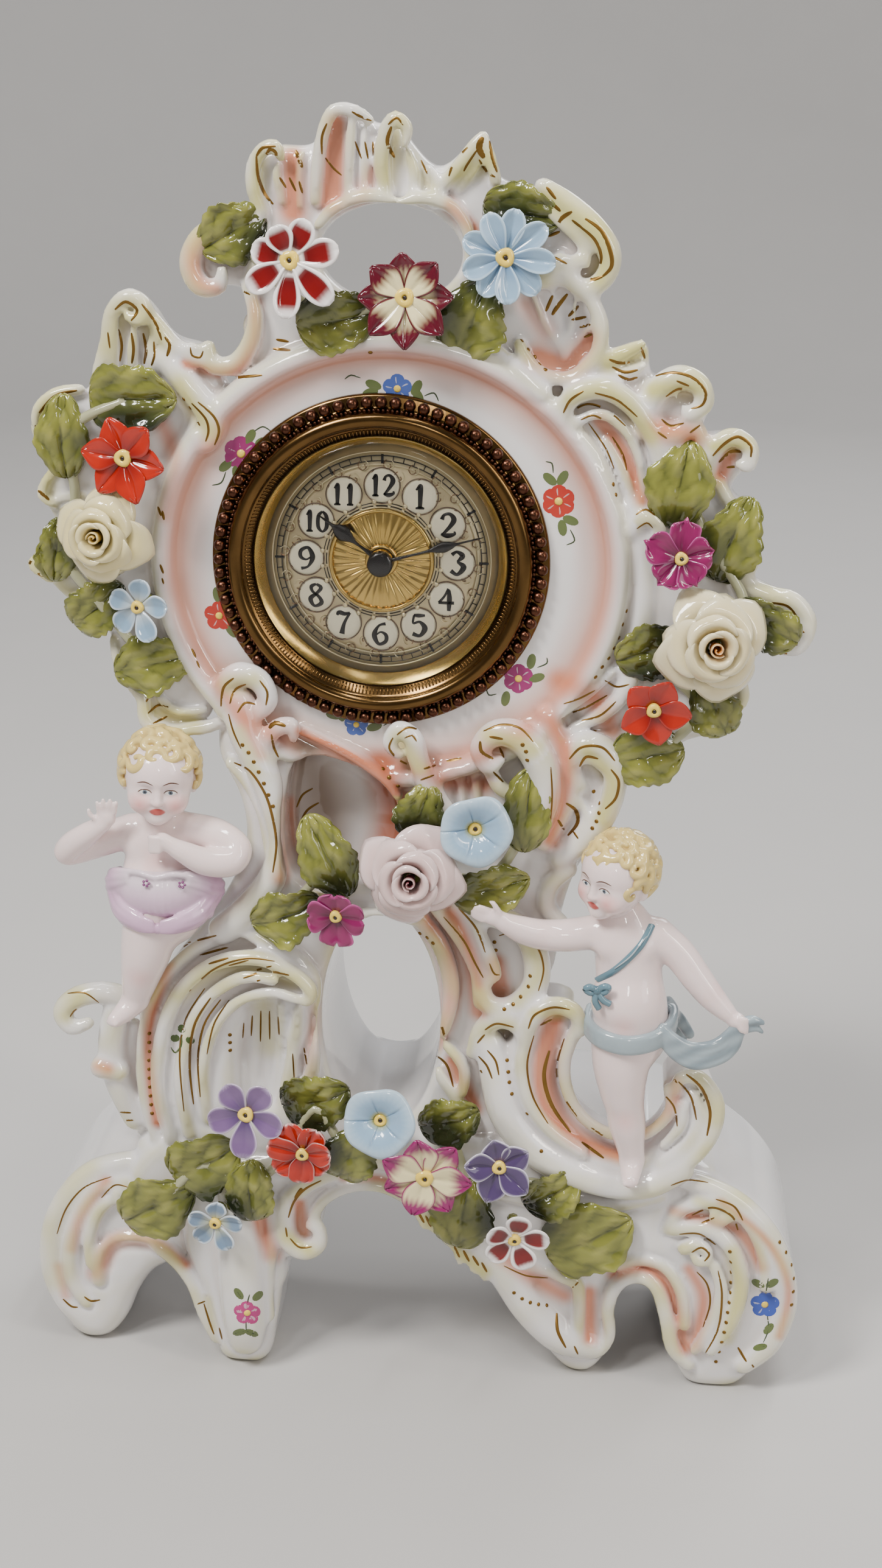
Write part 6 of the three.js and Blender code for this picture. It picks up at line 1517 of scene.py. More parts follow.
def make_dial():
    """A silvered dial with chased scrolls, twelve round white spots with figures and a minute track."""
    plate, paint = Shape(), Shape()
    chase_plate(plate)
    paint_track(paint)
    for hour in range(1, 13):
        paint_hour(paint, hour)
    plate.finish("dial_chased", SILVERED, "dial", replaces=("dial_plate",))
    paint.finish("dial_painted", DIAL_PAINT, "dial", replaces=("dial_plate",))


def make_sunburst():
    """The fluted gilt medallion in the dial's middle, with a rim and a raised eye."""
    burst = Shape()
    turn = np.linspace(0, 2 * math.pi, 216, endpoint=False)
    rows = []
    for r in np.linspace(5.0, 16.2, 12):
        flute = 0.5 * np.abs(np.sin(turn * 18)) * min((r - 4.6) / 4, 1)
        dome = -0.55 - 0.7 * math.sin(math.pi * (r - 5.0) / 11.4)
        rows.append(np.stack([r * np.cos(turn), dome + flute, DIAL_Z + r * np.sin(turn)], -1))
    burst.add(rows, grid_faces(len(rows), len(turn), wrap=True))
    burst.add(*lathe(arc((16.3, -0.7), 0.7, 0, 360, 14), columns=120))
    burst.add(*lathe([(5.4, -0.4), (5.2, -1.2), (4.6, -1.5), (3.0, -1.3), (2.8, -0.4)], columns=60))
    burst.finish("medallion_fluted", GILT, "gilt", replaces=("dial_medallion",))


def make_hand(name, body, angle, length, widths):
    """A flat hand with rounded edges, from its half width along its length."""
    front, back = node_depths(name)
    turn = math.radians(90 - angle)
    ahead = np.array([math.cos(turn), math.sin(turn)])
    side = np.array([-ahead[1], ahead[0]])
    rows = []
    for along, half in smooth([(t * length, w) for t, w in widths], 5):
        for across, depth in HAND_SECTION:
            x, z = ahead * along + side * max(half, 0.12) * across
            rows.append((x, front + (back - front) * (1 + depth * 0.8), DIAL_Z + z))
    count, columns = len(rows) // len(HAND_SECTION), len(HAND_SECTION)
    hand = Shape()
    hand.add(rows, grid_faces(count, columns, wrap=True) + end_caps(count, columns))
    hand.finish(name + "_shaped", BLACKED, "blued", body, (name,))


def make_hands():
    """Both hands, and the boss that holds them."""
    for row in HANDS:
        make_hand(*row)
    front, back = node_depths("hand_boss")
    boss = Shape()
    dome = raised([(4.1, 1.1), (3.7, 0.5), (2.8, 0.15), (1.4, 0), (0.02, -0.05)], front)
    boss.add(*lathe([(4.1, back)] + dome, columns=48))
    boss.finish("boss_domed", BLACKED, "blued", "minute_arbor", ("hand_boss",))


def make_glass():
    """A shallow dome of even thickness."""
    front, back = node_depths("glass")
    bulge = back - GLASS_THICKNESS - front
    radii = [max(GLASS_RADIUS * i / 14, 0.02) for i in range(15)]
    outside = [(r, front + bulge * (r / GLASS_RADIUS) ** 2) for r in radii]
    inside = [(0.995 * r, y + GLASS_THICKNESS) for r, y in outside[::-1]]
    glass = Shape()
    glass.add(*lathe(outside + [(GLASS_RADIUS, back - 0.1)] + inside, columns=120))
    glass.finish("glass_domed", GLASS, "glass", replaces=("glass",))


def make_reflector():
    """The gilt slope between the bezel and the dial."""
    front, back = node_depths("sight_ring")
    ring = Shape()
    ring.add(*lathe([(40.6, front), (40.0, front + 0.2), (38.6, front + (back - front) * 0.45),
                     (37.6, back - 0.4), (37.4, back - 0.1), (40.6, back - 0.1)], closed=True))
    ring.finish("reflector", GILT, "gilt", replaces=("sight_ring",))


# Gilder's strokes. Each row is a stroke's x and z as seen, then its width at the middle.
STROKES = [
    ([(-39, 424), (-38.5, 418), (-36.5, 413), (-34, 410)], 1.3), ([(-39, 424), (-37, 426.5), (-33, 427)],
                                                                  1.2),
    ([(-36.5, 423), (-35, 426), (-33, 425), (-33.5, 422)], 1.3), ([(-27, 426), (-25, 421)], 1.6),
    ([(-32, 418), (-30, 415)], 1.0), ([(-29, 418), (-27, 414)], 1.0), ([(-26, 417), (-25, 413.5)], 1.0),
    ([(-17.5, 434), (-19, 430), (-19, 425)], 1.0), ([(-10, 437.5), (-7, 436), (-4, 435)], 1.0),
    ([(-9, 429), (-7, 424)], 0.8), ([(-6, 429), (-5, 424)], 0.8), ([(-3.6, 429), (-3.4, 425)], 0.8),
    ([(2, 433.5), (0.8, 429), (3, 424.5)], 1.5), ([(1, 434), (3.5, 436), (5.5, 434)], 1.0),
    ([(-18, 424), (-15.5, 421), (-13, 419)], 0.8), ([(11, 424), (13, 420)], 0.8),
    ([(25, 428), (21, 423.5), (19.5, 419.5)], 1.0), ([(28, 427.5), (25, 423), (24, 421)], 0.9),
    ([(29.5, 431), (28.5, 428), (30, 425)], 2.6), ([(31.5, 430), (32.5, 425), (34, 421)], 1.2),
    ([(28.5, 424.5), (31, 421), (33.5, 419.5)], 1.0), ([(49, 417), (52, 413.5)], 1.3),
    ([(50.5, 412.5), (53.5, 410)], 1.3), ([(52, 405), (54, 408), (57, 410)], 1.6), ([(50, 402.5),
                                                                                     (53.5, 404)], 1.2),
    ([(61, 408), (66, 404.5), (69, 398.5), (69.5, 394), (67, 391)], 1.6),
    ([(59, 406), (64, 402), (66.3, 397), (65.5, 392.5)], 1.2), ([(57, 407.5), (60.5, 405)], 1.0),
    ([(48, 397), (52, 396.3), (56, 394.5)], 1.0), ([(61.5, 390.5), (64, 390), (67, 391)], 1.3),
    ([(52, 385), (50, 380)], 1.3), ([(56.5, 385.5), (53.5, 381.5), (52, 379)], 1.6), ([(60, 382),
                                                                                       (57, 378.7)], 1.3),
    ([(58, 377.7), (62.5, 378.7)], 1.2), ([(60.5, 375.5), (64, 376.5)], 1.1), ([(62, 372.5), (65, 373.7)],
                                                                               1.0),
    ([(-46.5, 386), (-44, 384), (-41.5, 382.7)], 1.0), ([(-33.5, 369.2), (-29.5, 368.6)], 1.2),
    ([(-34.5, 366.3), (-29, 366)], 1.2), ([(-50, 356.5), (-44, 357.3), (-38, 358)], 1.2),
    ([(70, 366), (73, 365), (76.5, 365.2)], 1.2), ([(71, 363.7), (75, 362.2), (79, 363)], 1.2),
    ([(73, 361.3), (76, 360), (79, 360.7)], 1.2), ([(79.7, 370), (81, 366.5)], 1.0),
    ([(84, 361.2), (90, 362.5), (96, 361), (100, 357), (99.5, 353), (96, 351.5)], 1.2),
    ([(88, 355), (92, 357.5), (96, 356), (96.5, 353)], 1.0), ([(91, 360), (95, 358.5)], 0.9),
    ([(87, 348), (90, 346), (94, 347)], 1.0), ([(86, 344), (89, 342)], 0.9), ([(96, 344), (99, 346.5)], 0.9),
    ([(103.5, 337), (107, 341), (111, 343.2), (115, 340.5), (115.3, 337)], 1.3),
    ([(105.5, 335), (109, 338.5), (112.5, 338.5)], 1.3), ([(108, 333.5), (112, 334)], 1.0),
    ([(56.5, 349), (58.5, 353), (62.5, 356)], 1.0), ([(59, 349.5), (64, 352), (70, 350.3), (76, 345.5)], 0.9),
    ([(66, 355.5), (73, 353.5), (79.5, 348.5)], 0.9), ([(62, 347), (66, 348.5), (71, 346)], 0.8),
    ([(64.5, 346), (70, 338.5), (73, 332)], 0.7), ([(72, 342), (75.5, 336.5), (77, 331.5)], 0.9),
    ([(80.5, 317.5), (83.5, 319.3), (86.5, 317.5)], 0.9), ([(81, 313), (84, 315), (86, 313.5)], 0.7),
    ([(60, 254), (65, 256), (70, 259)], 0.8), ([(61.5, 250.5), (68, 253.5), (74, 257.5)], 0.9),
    ([(66, 248.5), (72, 250.5), (77, 255.5)], 0.9), ([(73, 262.5), (77, 260.5), (81, 261.5)], 0.9),
    ([(70, 245.5), (76, 243)], 0.8), ([(124, 290.5), (130, 289.5), (134, 285)], 1.0),
    ([(131, 283.5), (136, 281)], 1.0), ([(129.5, 279), (134, 276.7)], 1.0), ([(126.5, 275), (131, 273.7)],
                                                                             1.0),
    ([(-84, 377), (-80.5, 379.5), (-77, 377), (-79, 373.7)], 1.2), ([(-75.5, 379), (-71.5, 373.5),
                                                                     (-69.5, 368)], 1.2),
    ([(-83, 371), (-82.2, 366), (-83, 361)], 1.1), ([(-79, 370), (-78.5, 365), (-79.2, 360.5)], 1.2),
    ([(-75.3, 370), (-74.5, 365), (-75.3, 360.5)], 1.2), ([(-72, 367.5), (-72, 363), (-73, 360)], 1.0),
    ([(-68.5, 369), (-67, 366.5), (-68, 363)], 1.4), ([(-86.5, 370), (-86, 365)], 0.8),
    ([(-58.5, 349), (-53.5, 344.5), (-52, 340), (-53.5, 335.5)], 1.1),
    ([(-60.5, 348.5), (-56.3, 344), (-55.3, 340), (-56.3, 336.5)], 1.0), ([(-60, 344.5), (-58, 341.5)], 0.9),
    ([(-60.5, 366), (-60, 363.5), (-57.5, 363), (-56.5, 365)], 0.9), ([(-97, 351.5), (-104, 349.5),
                                                                       (-109.5, 344)], 1.3),
    ([(-111, 340), (-107.5, 335)], 1.4), ([(-110, 330.5), (-106.5, 325.5)], 1.7), ([(-111, 319),
                                                                                    (-107.5, 316)], 1.5),
    ([(-108, 312), (-105.5, 309)], 1.2), ([(-106, 306), (-104, 301.5)], 1.3),
    ([(-115, 294.5), (-113, 299), (-110.5, 302)], 1.8), ([(-112.5, 291.5), (-107.5, 290)], 1.5),
    ([(-104, 285), (-99.5, 281)], 1.5), ([(-72.2, 315), (-71.2, 312)], 1.1), ([(-70.8, 313.7),
                                                                               (-70.3, 310.7)], 1.1),
    ([(-72, 296), (-71, 293)], 1.1), ([(-71.5, 291.5), (-71, 289.5)], 0.9), ([(-62.3, 268), (-61, 265)], 1.1),
    ([(-60.8, 264), (-59.8, 261.5)], 0.9), ([(-77.5, 245), (-74, 248), (-70.5, 247.5)], 1.0),
    ([(-76, 241.5), (-71, 244.3)], 1.0), ([(-78, 249), (-76.5, 252)], 0.9),
    ([(-53, 248.5), (-52, 255), (-48.5, 258.5)], 1.1), ([(-50, 249.5), (-48.3, 254.3), (-44.5, 256.5)], 1.0),
    ([(-47.5, 246.5), (-45, 250), (-41.5, 249.7)], 1.0), ([(-40, 258), (-37.5, 254), (-38, 249.5)], 1.0),
    ([(-37, 241.5), (-35, 243.5), (-31.5, 242.5)], 2.0), ([(-36.3, 239.5), (-35.5, 235), (-34, 231.5)], 1.1),
    ([(-49, 229), (-43.5, 226), (-38.5, 218), (-36, 209), (-35, 200), (-36.3, 190)], 1.2),
    ([(-50.5, 246), (-49, 240), (-46.5, 234)], 0.8), ([(-27, 208), (-24.5, 213), (-20.5, 216)], 1.0),
    ([(-25, 206), (-21.5, 210)], 1.0), ([(-28, 214), (-26, 218.5), (-22.5, 221)], 0.9),
    ([(5.5, 241), (9, 243.7), (13, 243)], 1.0), ([(4.2, 240), (3, 236.3), (6, 232.5), (10, 230.5)], 1.0),
    ([(8, 240), (10.5, 241), (12, 239)], 0.9), ([(22, 232.5), (27, 233.8)], 1.1), ([(14.5, 229.5),
                                                                                    (18.5, 231)], 1.0),
    ([(13.5, 225.5), (18, 227.5)], 0.9), ([(34, 243.5), (40, 246), (46, 245), (50.5, 240.5)], 1.0),
    ([(33, 240), (33.6, 236.3), (37.5, 234)], 1.5), ([(36, 241.7), (40.5, 241)], 1.2), ([(39.5, 238),
                                                                                         (41, 234.5)], 1.0),
    ([(37.5, 229.5), (41, 226)], 1.0), ([(62.5, 235), (66.5, 239.3), (73, 239.5), (77.5, 235)], 1.2),
    ([(66, 232.5), (68, 236), (72, 235.5)], 1.2), ([(76.3, 232), (79, 228), (78.3, 222), (75, 218)], 1.2),
    ([(62, 219.5), (65.3, 217), (66, 212.5), (63, 208)], 1.6), ([(59.5, 213.5), (61.7, 210)], 1.2),
    ([(64.5, 210), (66.5, 207)], 0.9), ([(56.5, 232), (57.3, 222), (57, 212)], 0.8),
    ([(-66, 144), (-57, 153), (-46, 157.5), (-36, 157)], 0.9), ([(-47, 150), (-39, 153), (-31, 152)], 1.2),
    ([(-46, 147.7), (-41, 149.7)], 1.0), ([(-44, 152.7), (-37, 155.2)], 1.0), ([(-52, 154.5), (-45, 157)],
                                                                               0.8),
    ([(-62, 158), (-52, 161.5)], 1.1), ([(-59, 154.8), (-52, 157.5)], 1.1), ([(-66, 162.5), (-56, 165.7)],
                                                                             1.0),
    ([(-55, 141.5), (-61, 131.5), (-63.5, 118), (-63, 103)], 1.0),
    ([(-58.5, 142), (-64.5, 131), (-66.5, 116), (-65.5, 100)], 1.2),
    ([(-60.5, 145.5), (-67.5, 133), (-70, 118), (-69, 97)], 0.9), ([(-52, 141.5), (-57.5, 132),
                                                                    (-60.3, 120)], 0.8),
    ([(-44, 136), (-44.5, 128)], 0.8), ([(-41, 138), (-41.3, 126)], 0.8), ([(-38, 138), (-38, 127)], 0.8),
    ([(-35, 136), (-34.7, 129)], 0.8), ([(-47, 133), (-47.5, 127)], 0.7), ([(-26, 124.5), (-25, 118)], 0.8),
    ([(-30, 122), (-29.5, 112)], 0.7), ([(-72, 158), (-66, 162)], 0.8), ([(-92, 95.3), (-88, 95.3)], 1.0),
    ([(-91.3, 92), (-87.3, 92.4)], 1.0), ([(-109, 141), (-103, 141.5), (-98, 138)], 0.8),
    ([(-103, 133), (-106, 135), (-108.5, 132)], 0.8), ([(22, 176.5), (29, 168), (33, 160), (36, 154.5)], 1.0),
    ([(27, 180), (33, 173), (36.5, 164)], 1.0), ([(21.5, 137), (23.5, 130.5)], 1.2),
    ([(19.5, 124.5), (24, 120.5), (26.5, 112)], 1.1), ([(37, 134.7), (41, 137.3), (47, 136.3)], 1.0),
    ([(34.5, 129.5), (37, 133)], 1.0), ([(35, 124.5), (38, 121), (40, 116)], 1.0),
    ([(38, 127), (41, 123), (42.3, 117.5)], 1.0), ([(34.5, 121), (36.5, 118)], 0.9),
    ([(41, 170.5), (48, 172), (54, 167), (56.5, 159), (55, 150.5)], 0.9), ([(38, 160), (40, 156),
                                                                            (43.5, 156.5)], 0.9),
    ([(52, 136), (54, 141.3), (60, 144.5), (66, 144)], 1.1), ([(56, 137.5), (60, 140)], 1.0),
    ([(59.5, 128), (58, 118), (61, 107), (68, 96.5)], 1.8), ([(54, 133.5), (52, 122), (54.3, 110),
                                                              (60, 99.5)], 0.9),
    ([(64.5, 133), (62.3, 122), (64.3, 112), (70, 103)], 1.0), ([(72, 93), (80, 87)], 1.5),
    ([(75, 99), (82, 94)], 1.0), ([(107, 121.5), (112.5, 116.5), (116, 107.5), (115.5, 98)], 1.4),
    ([(104.5, 118.5), (109, 113), (111.5, 104)], 1.0), ([(99.5, 113.5), (103.5, 108.5), (105, 101)], 0.9),
    ([(102, 120.5), (104, 118)], 1.0), ([(-108, 18), (-105.5, 16.3), (-102, 17)], 1.1),
    ([(-116, 16.5), (-113, 13.5), (-110.5, 13.3)], 1.1), ([(-117, 44), (-113, 55), (-106, 64), (-96, 69)],
                                                          0.8),
    ([(-100, 60), (-95, 65.5), (-90, 65)], 0.8), ([(-63.5, 18), (-61.5, 10), (-60, 5)], 1.0),
    ([(-66, 17.5), (-63, 19)], 0.9), ([(-58, 8), (-57, 3)], 0.9), ([(-32, 56), (-30, 62.5), (-26, 68),
                                                                    (-20, 72)], 1.1),
    ([(-29.5, 64), (-27, 68.5)], 1.8), ([(-31.5, 47.5), (-28, 44), (-23.5, 44.5)], 1.0),
    ([(-33, 52), (-32.5, 48)], 0.9), ([(12, 67.5), (15.5, 64)], 1.2), ([(12, 62.5), (14.5, 58)], 1.3),
    ([(14.7, 61.5), (17, 57)], 1.3), ([(17.5, 60), (19.5, 55.5)], 1.2), ([(28, 48), (30, 43.5)], 1.2),
    ([(31.3, 46.5), (33.5, 42)], 1.3), ([(34.7, 44.5), (37, 40.5)], 1.3), ([(38, 42), (40, 38)], 1.2),
    ([(27, 45), (28, 42)], 0.9), ([(65.7, 22.5), (66.3, 15), (69.5, 8)], 1.5), ([(72.5, 9), (74, 5.5)], 1.0),
    ([(112, 66), (119, 69.5), (126, 66.5), (128.5, 61)], 1.1), ([(120, 73), (126.5, 70.5), (130, 65)], 1.0),
    ([(115.5, 63), (120, 65.5)], 1.0), ([(108, 58), (115, 58.5), (121, 54.5)], 0.9),
    ([(112.5, 50.5), (116, 53), (119, 50.5), (117.5, 47.5)], 1.1), ([(115, 43), (119, 38), (120.5, 30),
                                                                     (118.5, 20)], 0.9),
    ([(122.5, 44), (124.5, 34), (124, 20), (120, 9)], 1.0), ([(131.5, 12.5), (135, 6.5)], 1.2),
    ([(137, 5.5), (139, 2.5)], 1.0),
    ([(104, 77.5), (110, 80), (117, 79.5)], 0.8), ([(46, 41), (54, 37.5), (62, 37)], 0.8), ([(71, 33.5),
                                                                                             (73, 36)], 1.0),
]
DOTS = [
    (-4, 366), (43, 371), (45, 368.3), (47, 366), (48.7, 364), (50.5, 362.3), (73, 327), (74, 323.7),
    (79, 286), (78, 281.5), (77, 277), (75.5, 273.5), (74, 270), (72, 267), (70, 263.5),
    (-69, 352), (-66, 350.3), (-63, 349.7), (-61, 347), (-46, 235.3), (-44, 232.7), (-42.3, 229.5),
    (-40.7, 226),
    (-39, 222), (-37.5, 218), (-36, 214), (1, 229), (3, 226), (6, 223), (47, 239.3), (48.2, 237), (48.7, 234),
    (71, 224), (73, 220), (73, 216.5), (72.3, 213.5), (71, 211), (-52, 128), (-52, 125), (-52, 122),
    (14, 170), (16.5, 168.5), (18.5, 166.5), (45, 123.5), (45.5, 119), (46, 115), (47, 110.5), (52.5, 103),
    (58, 88.5), (52, 156), (51.5, 152), (49, 148), (46.5, 145), (43.5, 143), (39.5, 168), (40, 165),
    (50, 30), (53, 27.7), (56, 26.3), (59, 25.7), (62, 25.5), (146, 53), (148.3, 48), (149.5, 42.5),
    (149.7, 37), (149.5, 31.5), (143.5, 57),
] + [(-80.5 - 0.5 * math.sin(math.pi * i / 9), 127 - 3.5 * i) for i in range(10)] \
  + [(127.3 - 2.4 * ((i - 4) / 6) ** 2, 52 - 4.2 * i) for i in range(12)]


def eye_hit(tree, x, z):
    """The point and outward direction where the line of sight through (x, z) meets the glaze."""
    ahead = Vector((x, 0.0, z)) - Vector(EYE)
    hit, normal, _, _ = tree.ray_cast(Vector(EYE), ahead.normalized())
    if hit is None:
        return None
    return np.array(hit), np.array(-normal if normal.dot(ahead) > 0 else normal)


def lay_stroke(shape, hit, rows, width, colour, lift=0.09, taper=0.55):
    """A raised stroke along a path of x and z, laid where hit finds the surface under it."""
    path = np.array(rows, float)
    length = np.linalg.norm(np.diff(path, axis=0), axis=1).sum()
    path = smooth(path, max(int(length / (len(path) - 1) / STROKE_STEP), 3))
    ahead = unit(np.gradient(path, axis=0))
    side = np.stack([-ahead[:, 1], ahead[:, 0]], 1)
    half = width / 2 * (1 - taper * np.abs(np.linspace(-1, 1, len(path))) ** 2.5)
    strip = []
    offsets = ((-1.0, 0.02), (-0.6, lift), (0.0, lift * 1.3), (0.6, lift), (1.0, 0.02))
    for middle, across, reach in zip(path, side, half):
        found = [hit(*(middle + across * reach * offset)) for offset, _ in offsets]
        row = [] if None in [f if f is None else 0 for f in found] else [
            point + normal * height for (point, normal), (_, height) in zip(found, offsets)]
        broken = not row or np.ptp([p[1] for p in row]) > 2.5 * width + 1
        if broken or strip and abs(row[2][1] - strip[-1][2][1]) > STROKE_JUMP:
            flush_strip(shape, strip, colour)
            strip = []
        else:
            strip.append(row)
    flush_strip(shape, strip, colour)


def paint_stroke(shape, tree, rows, width, colour, lift=0.09, taper=0.55):
    """A raised stroke on the glaze along a path as seen."""
    lay_stroke(shape, lambda x, z: eye_hit(tree, x, z), rows, width, colour, lift, taper)


def flush_strip(shape, strip, colour):
    """Adds the rows of a stroke up to where the surface breaks off under it."""
    if len(strip) > 2:
        shape.add(strip, grid_faces(len(strip), len(strip[0])), colour)


def paint_dot(shape, tree, x, z, radius, colour):
    """A raised dot on the glaze at a place as seen."""
    found = eye_hit(tree, x, z)
    if found is None:
        return
    point, normal = found
    points, faces = ball(radius, squash=0.35, rows=6, columns=10)
    turn = Vector((0, 0, 1)).rotation_difference(Vector(normal)).to_matrix()
    shape.add(points @ np.array(turn).T + point, faces, colour)


def petal_stroke(shape, tree, centre, angle, inner, outer, width, colour):
    """A short pointed stroke that runs out from a middle."""
    c, s = math.cos(math.radians(angle)), math.sin(math.radians(angle))
    rows = [(centre[0] + r * c, centre[1] + r * s) for r in (inner, (inner + outer) / 2, outer)]
    paint_stroke(shape, tree, rows, width, colour, lift=0.05, taper=0.75)


def paint_posy(paint, tree, x, z, colour, petals, size, leaves, tendrils):
    """A little flower with leaves and tendrils. Those low on the case are painted smaller."""
    size *= 1.2 if z < 60 else 1.55
    for i in range(petals):
        angle = 90 + 360 * i / petals
        petal_stroke(paint, tree, (x, z), angle, size * 0.15, size, size * 0.95, colour)
        petal_stroke(paint, tree, (x, z), angle + 8, size * 0.35, size * 0.8, size * 0.4,
                     blend(colour, WHITE, np.array(0.45)))
    paint_dot(paint, tree, x, z, size * 0.26, BUTTER)
    for leaf_x, leaf_z, angle in leaves:
        petal_stroke(paint, tree, (leaf_x, leaf_z), angle, -2.6, 2.6, 2.9, PAINTED_LEAF)
        petal_stroke(paint, tree, (leaf_x, leaf_z), angle, -2.0, 2.0, 0.6, PAINTED_VEIN)
    for rows in tendrils:
        paint_stroke(paint, tree, rows, 0.5, PAINTED_VEIN, lift=0.05)


# Painted posies on the glaze. Each row is x, z, colour, petals, size, leaves as x, z and angle, and tendrils.
INDIGO, POPPY, PLUM = linear(70, 92, 160), linear(176, 52, 42), linear(140, 44, 100)
POSIES = [
    (4.5, 355, INDIGO, 5, 3.0, [(-3, 356, 160), (-4, 353.5, 200), (10.5, 355.5, 60), (11, 353, -60)],
     [[(-7, 358), (-10, 358.8), (-12, 357.5)], [(13, 353), (16, 354), (17.5, 351.5)]]),
    (56, 321, POPPY, 6, 3.4, [(53, 328, 140), (57, 328.5, 60), (60, 315, -20), (57.5, 312.5, -80)],
     [[(54, 330), (53.5, 333), (51.5, 333.5)], [(60, 312), (61.5, 308.5), (59, 307)]]),
    (45, 262, PLUM, 6, 3.2, [(49, 268, 80), (51, 262.5, 20), (41, 255, -100)],
     [[(51, 266), (54, 267.5), (54, 269.5)], [(38, 256.5), (35.5, 256), (34.5, 258.5)]]),
    (-8, 244, INDIGO, 5, 2.6, [(-15.5, 247, 170), (-13, 247.5, 100), (-2, 243.5, 20)],
     [[(1, 244), (3.5, 245.5), (5, 244)]]),
    (-53, 279.5, POPPY, 5, 3.2, [(-53.5, 286.5, 100), (-49, 274.5, -50)], [[(-51, 284), (-49, 287)]]),
    (-45, 333, PLUM, 6, 3.6, [(-42, 338.5, 60), (-38, 337, 20), (-50, 329, 220), (-46.5, 326.5, -80)],
     [[(-41, 340), (-38, 341.8), (-35.5, 340.5)], [(-50, 327), (-51.5, 323.5), (-54.5, 322.5)]]),
    (-47.5, 15, linear(176, 60, 120), 5, 4.2, [(-50.5, 23, 120), (-43.5, 22.5, 50), (-50.5, 6.5, 200),
                                               (-46, 6.5, -20)],
     [[(-47.5, 19), (-46.5, 23)], [(-48, 11), (-48, 7.5)]]),
    (140, 31, linear(60, 84, 170), 5, 4.4, [(137, 39.5, 150), (142, 40, 40), (142, 21, 60), (139.5, 13, 200)],
     [[(141, 27), (142, 21), (140.5, 15)], [(140, 35), (140.5, 42)]]),
]
TREFOIL = [(-69, 128.5, 90), (-70.5, 126, 200), (-67, 125.5, -20)]
TREFOIL_STEM = [(-69, 126), (-69.5, 122.5), (-71.5, 120), (-73, 122)]
PINK_LINE = [(-27, 240.3), (-16, 236.3), (-8, 232.3), (-3, 229)]
PAINTED_LEAF, PAINTED_VEIN, TREFOIL_GREEN = linear(92, 104, 62), linear(60, 72, 48), linear(66, 84, 36)
# Gold strokes are laid a little narrower than listed.
STROKE_WIDTH = 0.82
# How often a stroke is laid on the surface under it, and the drop in depth that breaks it off.
STROKE_STEP, STROKE_JUMP = 0.7, 3.5


def make_gilding(tree):
    """Gold strokes and dots, and the little posies painted on the white."""
    gold, paint = Shape(), Shape()
    for rows, width in STROKES:
        paint_stroke(gold, tree, rows, width * STROKE_WIDTH, PLAIN)
    for x, z in DOTS:
        paint_dot(gold, tree, x, z, 0.75, PLAIN)
    for row in POSIES:
        paint_posy(paint, tree, *row)
    for x, z, angle in TREFOIL:
        petal_stroke(paint, tree, (x, z), angle, -0.6, 2.6, 2.9, TREFOIL_GREEN)
    paint_stroke(paint, tree, TREFOIL_STEM, 0.7, TREFOIL_GREEN)
    paint_stroke(paint, tree, PINK_LINE, 1.8, PINK)
    gold.finish("gilding", GILT_LINE, "gilt")
    paint.finish("posies", PAINTED, "porcelain")


# Cherubs. Their heads are modelled facing ahead about their own middle, then turned and set in place.
# The hair's colour, and its painted shade.
HAIR, HAIR_SHADE = linear(212, 188, 118), linear(132, 94, 40)
BLUSH, LIP, BROW = linear(222, 130, 122), linear(190, 84, 78), linear(96, 70, 58)
# The next two lines hold the cloths' colours, each with its painted shade.
LILAC_CLOTH, LILAC_SHADE = linear(216, 186, 208), linear(178, 128, 168)
BLUE_CLOTH, BLUE_SHADE, SASH = linear(154, 168, 174), linear(78, 94, 106), linear(94, 126, 140)
ROSETTE, EYE_WHITE = linear(120, 60, 110), linear(236, 234, 232)
IRIS, PUPIL = linear(92, 104, 118), linear(20, 16, 18)
# Each row is the node, its curls and their size, the head's place, look, nod, tip and size.
HEADS = [
    ("cherub_left", 58, 3.2, (-71.7, -12, 227.3), -8, 4, 3, 0.97),
    ("cherub_right", 66, 3.0, (79.6, -14, 200), 42, 2, 4, 0.93),
]
# Lines of an eye from its middle: a path, width, colour, lift and taper.
EYE_APART = 4.3
FACE_LINES = [
    ([(-1.9, -1.0), (0, -0.9), (1.9, -1.0)], 1.7, EYE_WHITE, 0.03, 0.9),
    ([(-0.75, -0.95), (0.75, -0.95)], 1.5, IRIS, 0.07, 0.6),
    ([(-0.35, -0.9), (0.35, -0.9)], 0.7, PUPIL, 0.11, 0.6),
    ([(-2.3, -1.1), (-1.1, -0.15), (1.1, -0.15), (2.3, -1.1)], 0.42, BROW, 0.12, 0.55),
    ([(-2.7, 2.2), (0, 3.1), (2.7, 2.2)], 0.5, BROW, 0.08, 0.8),
]
GOLDEN_ANGLE = 2.39996
HAIR_REACH = 12.4
BLUSH_REACH = 6
SASH_BAND = [(92.5, 177), (89.5, 170), (85, 164), (80, 159), (74.6, 155.6)]
# Path of a painted highlight along the sash.
SASH_HIGHLIGHT = [(90.5, 172.6), (86, 165.6), (81, 160.6)]
SASH_LOOPS = [
    ((0, 0, 0), (-2.4, 1.6, 1.2), (-3.8, 0.6, 1.0), (-2.0, -0.8, 0.6), (0, 0, 0)),
    ((0, 0, 0), (2.2, 2.0, 1.2), (3.8, 1.4, 1.0), (2.2, -0.4, 0.6), (0, 0, 0)),
    ((0, 0, 0.4), (2.0, -3.0, 0.8), (4.4, -4.6, 0.4)), ((0, 0, 0.4), (-0.6, -3.4, 0.8), (0.8, -6.4, 0.4)),
]


def fine_step(step):
    return step * 1.0


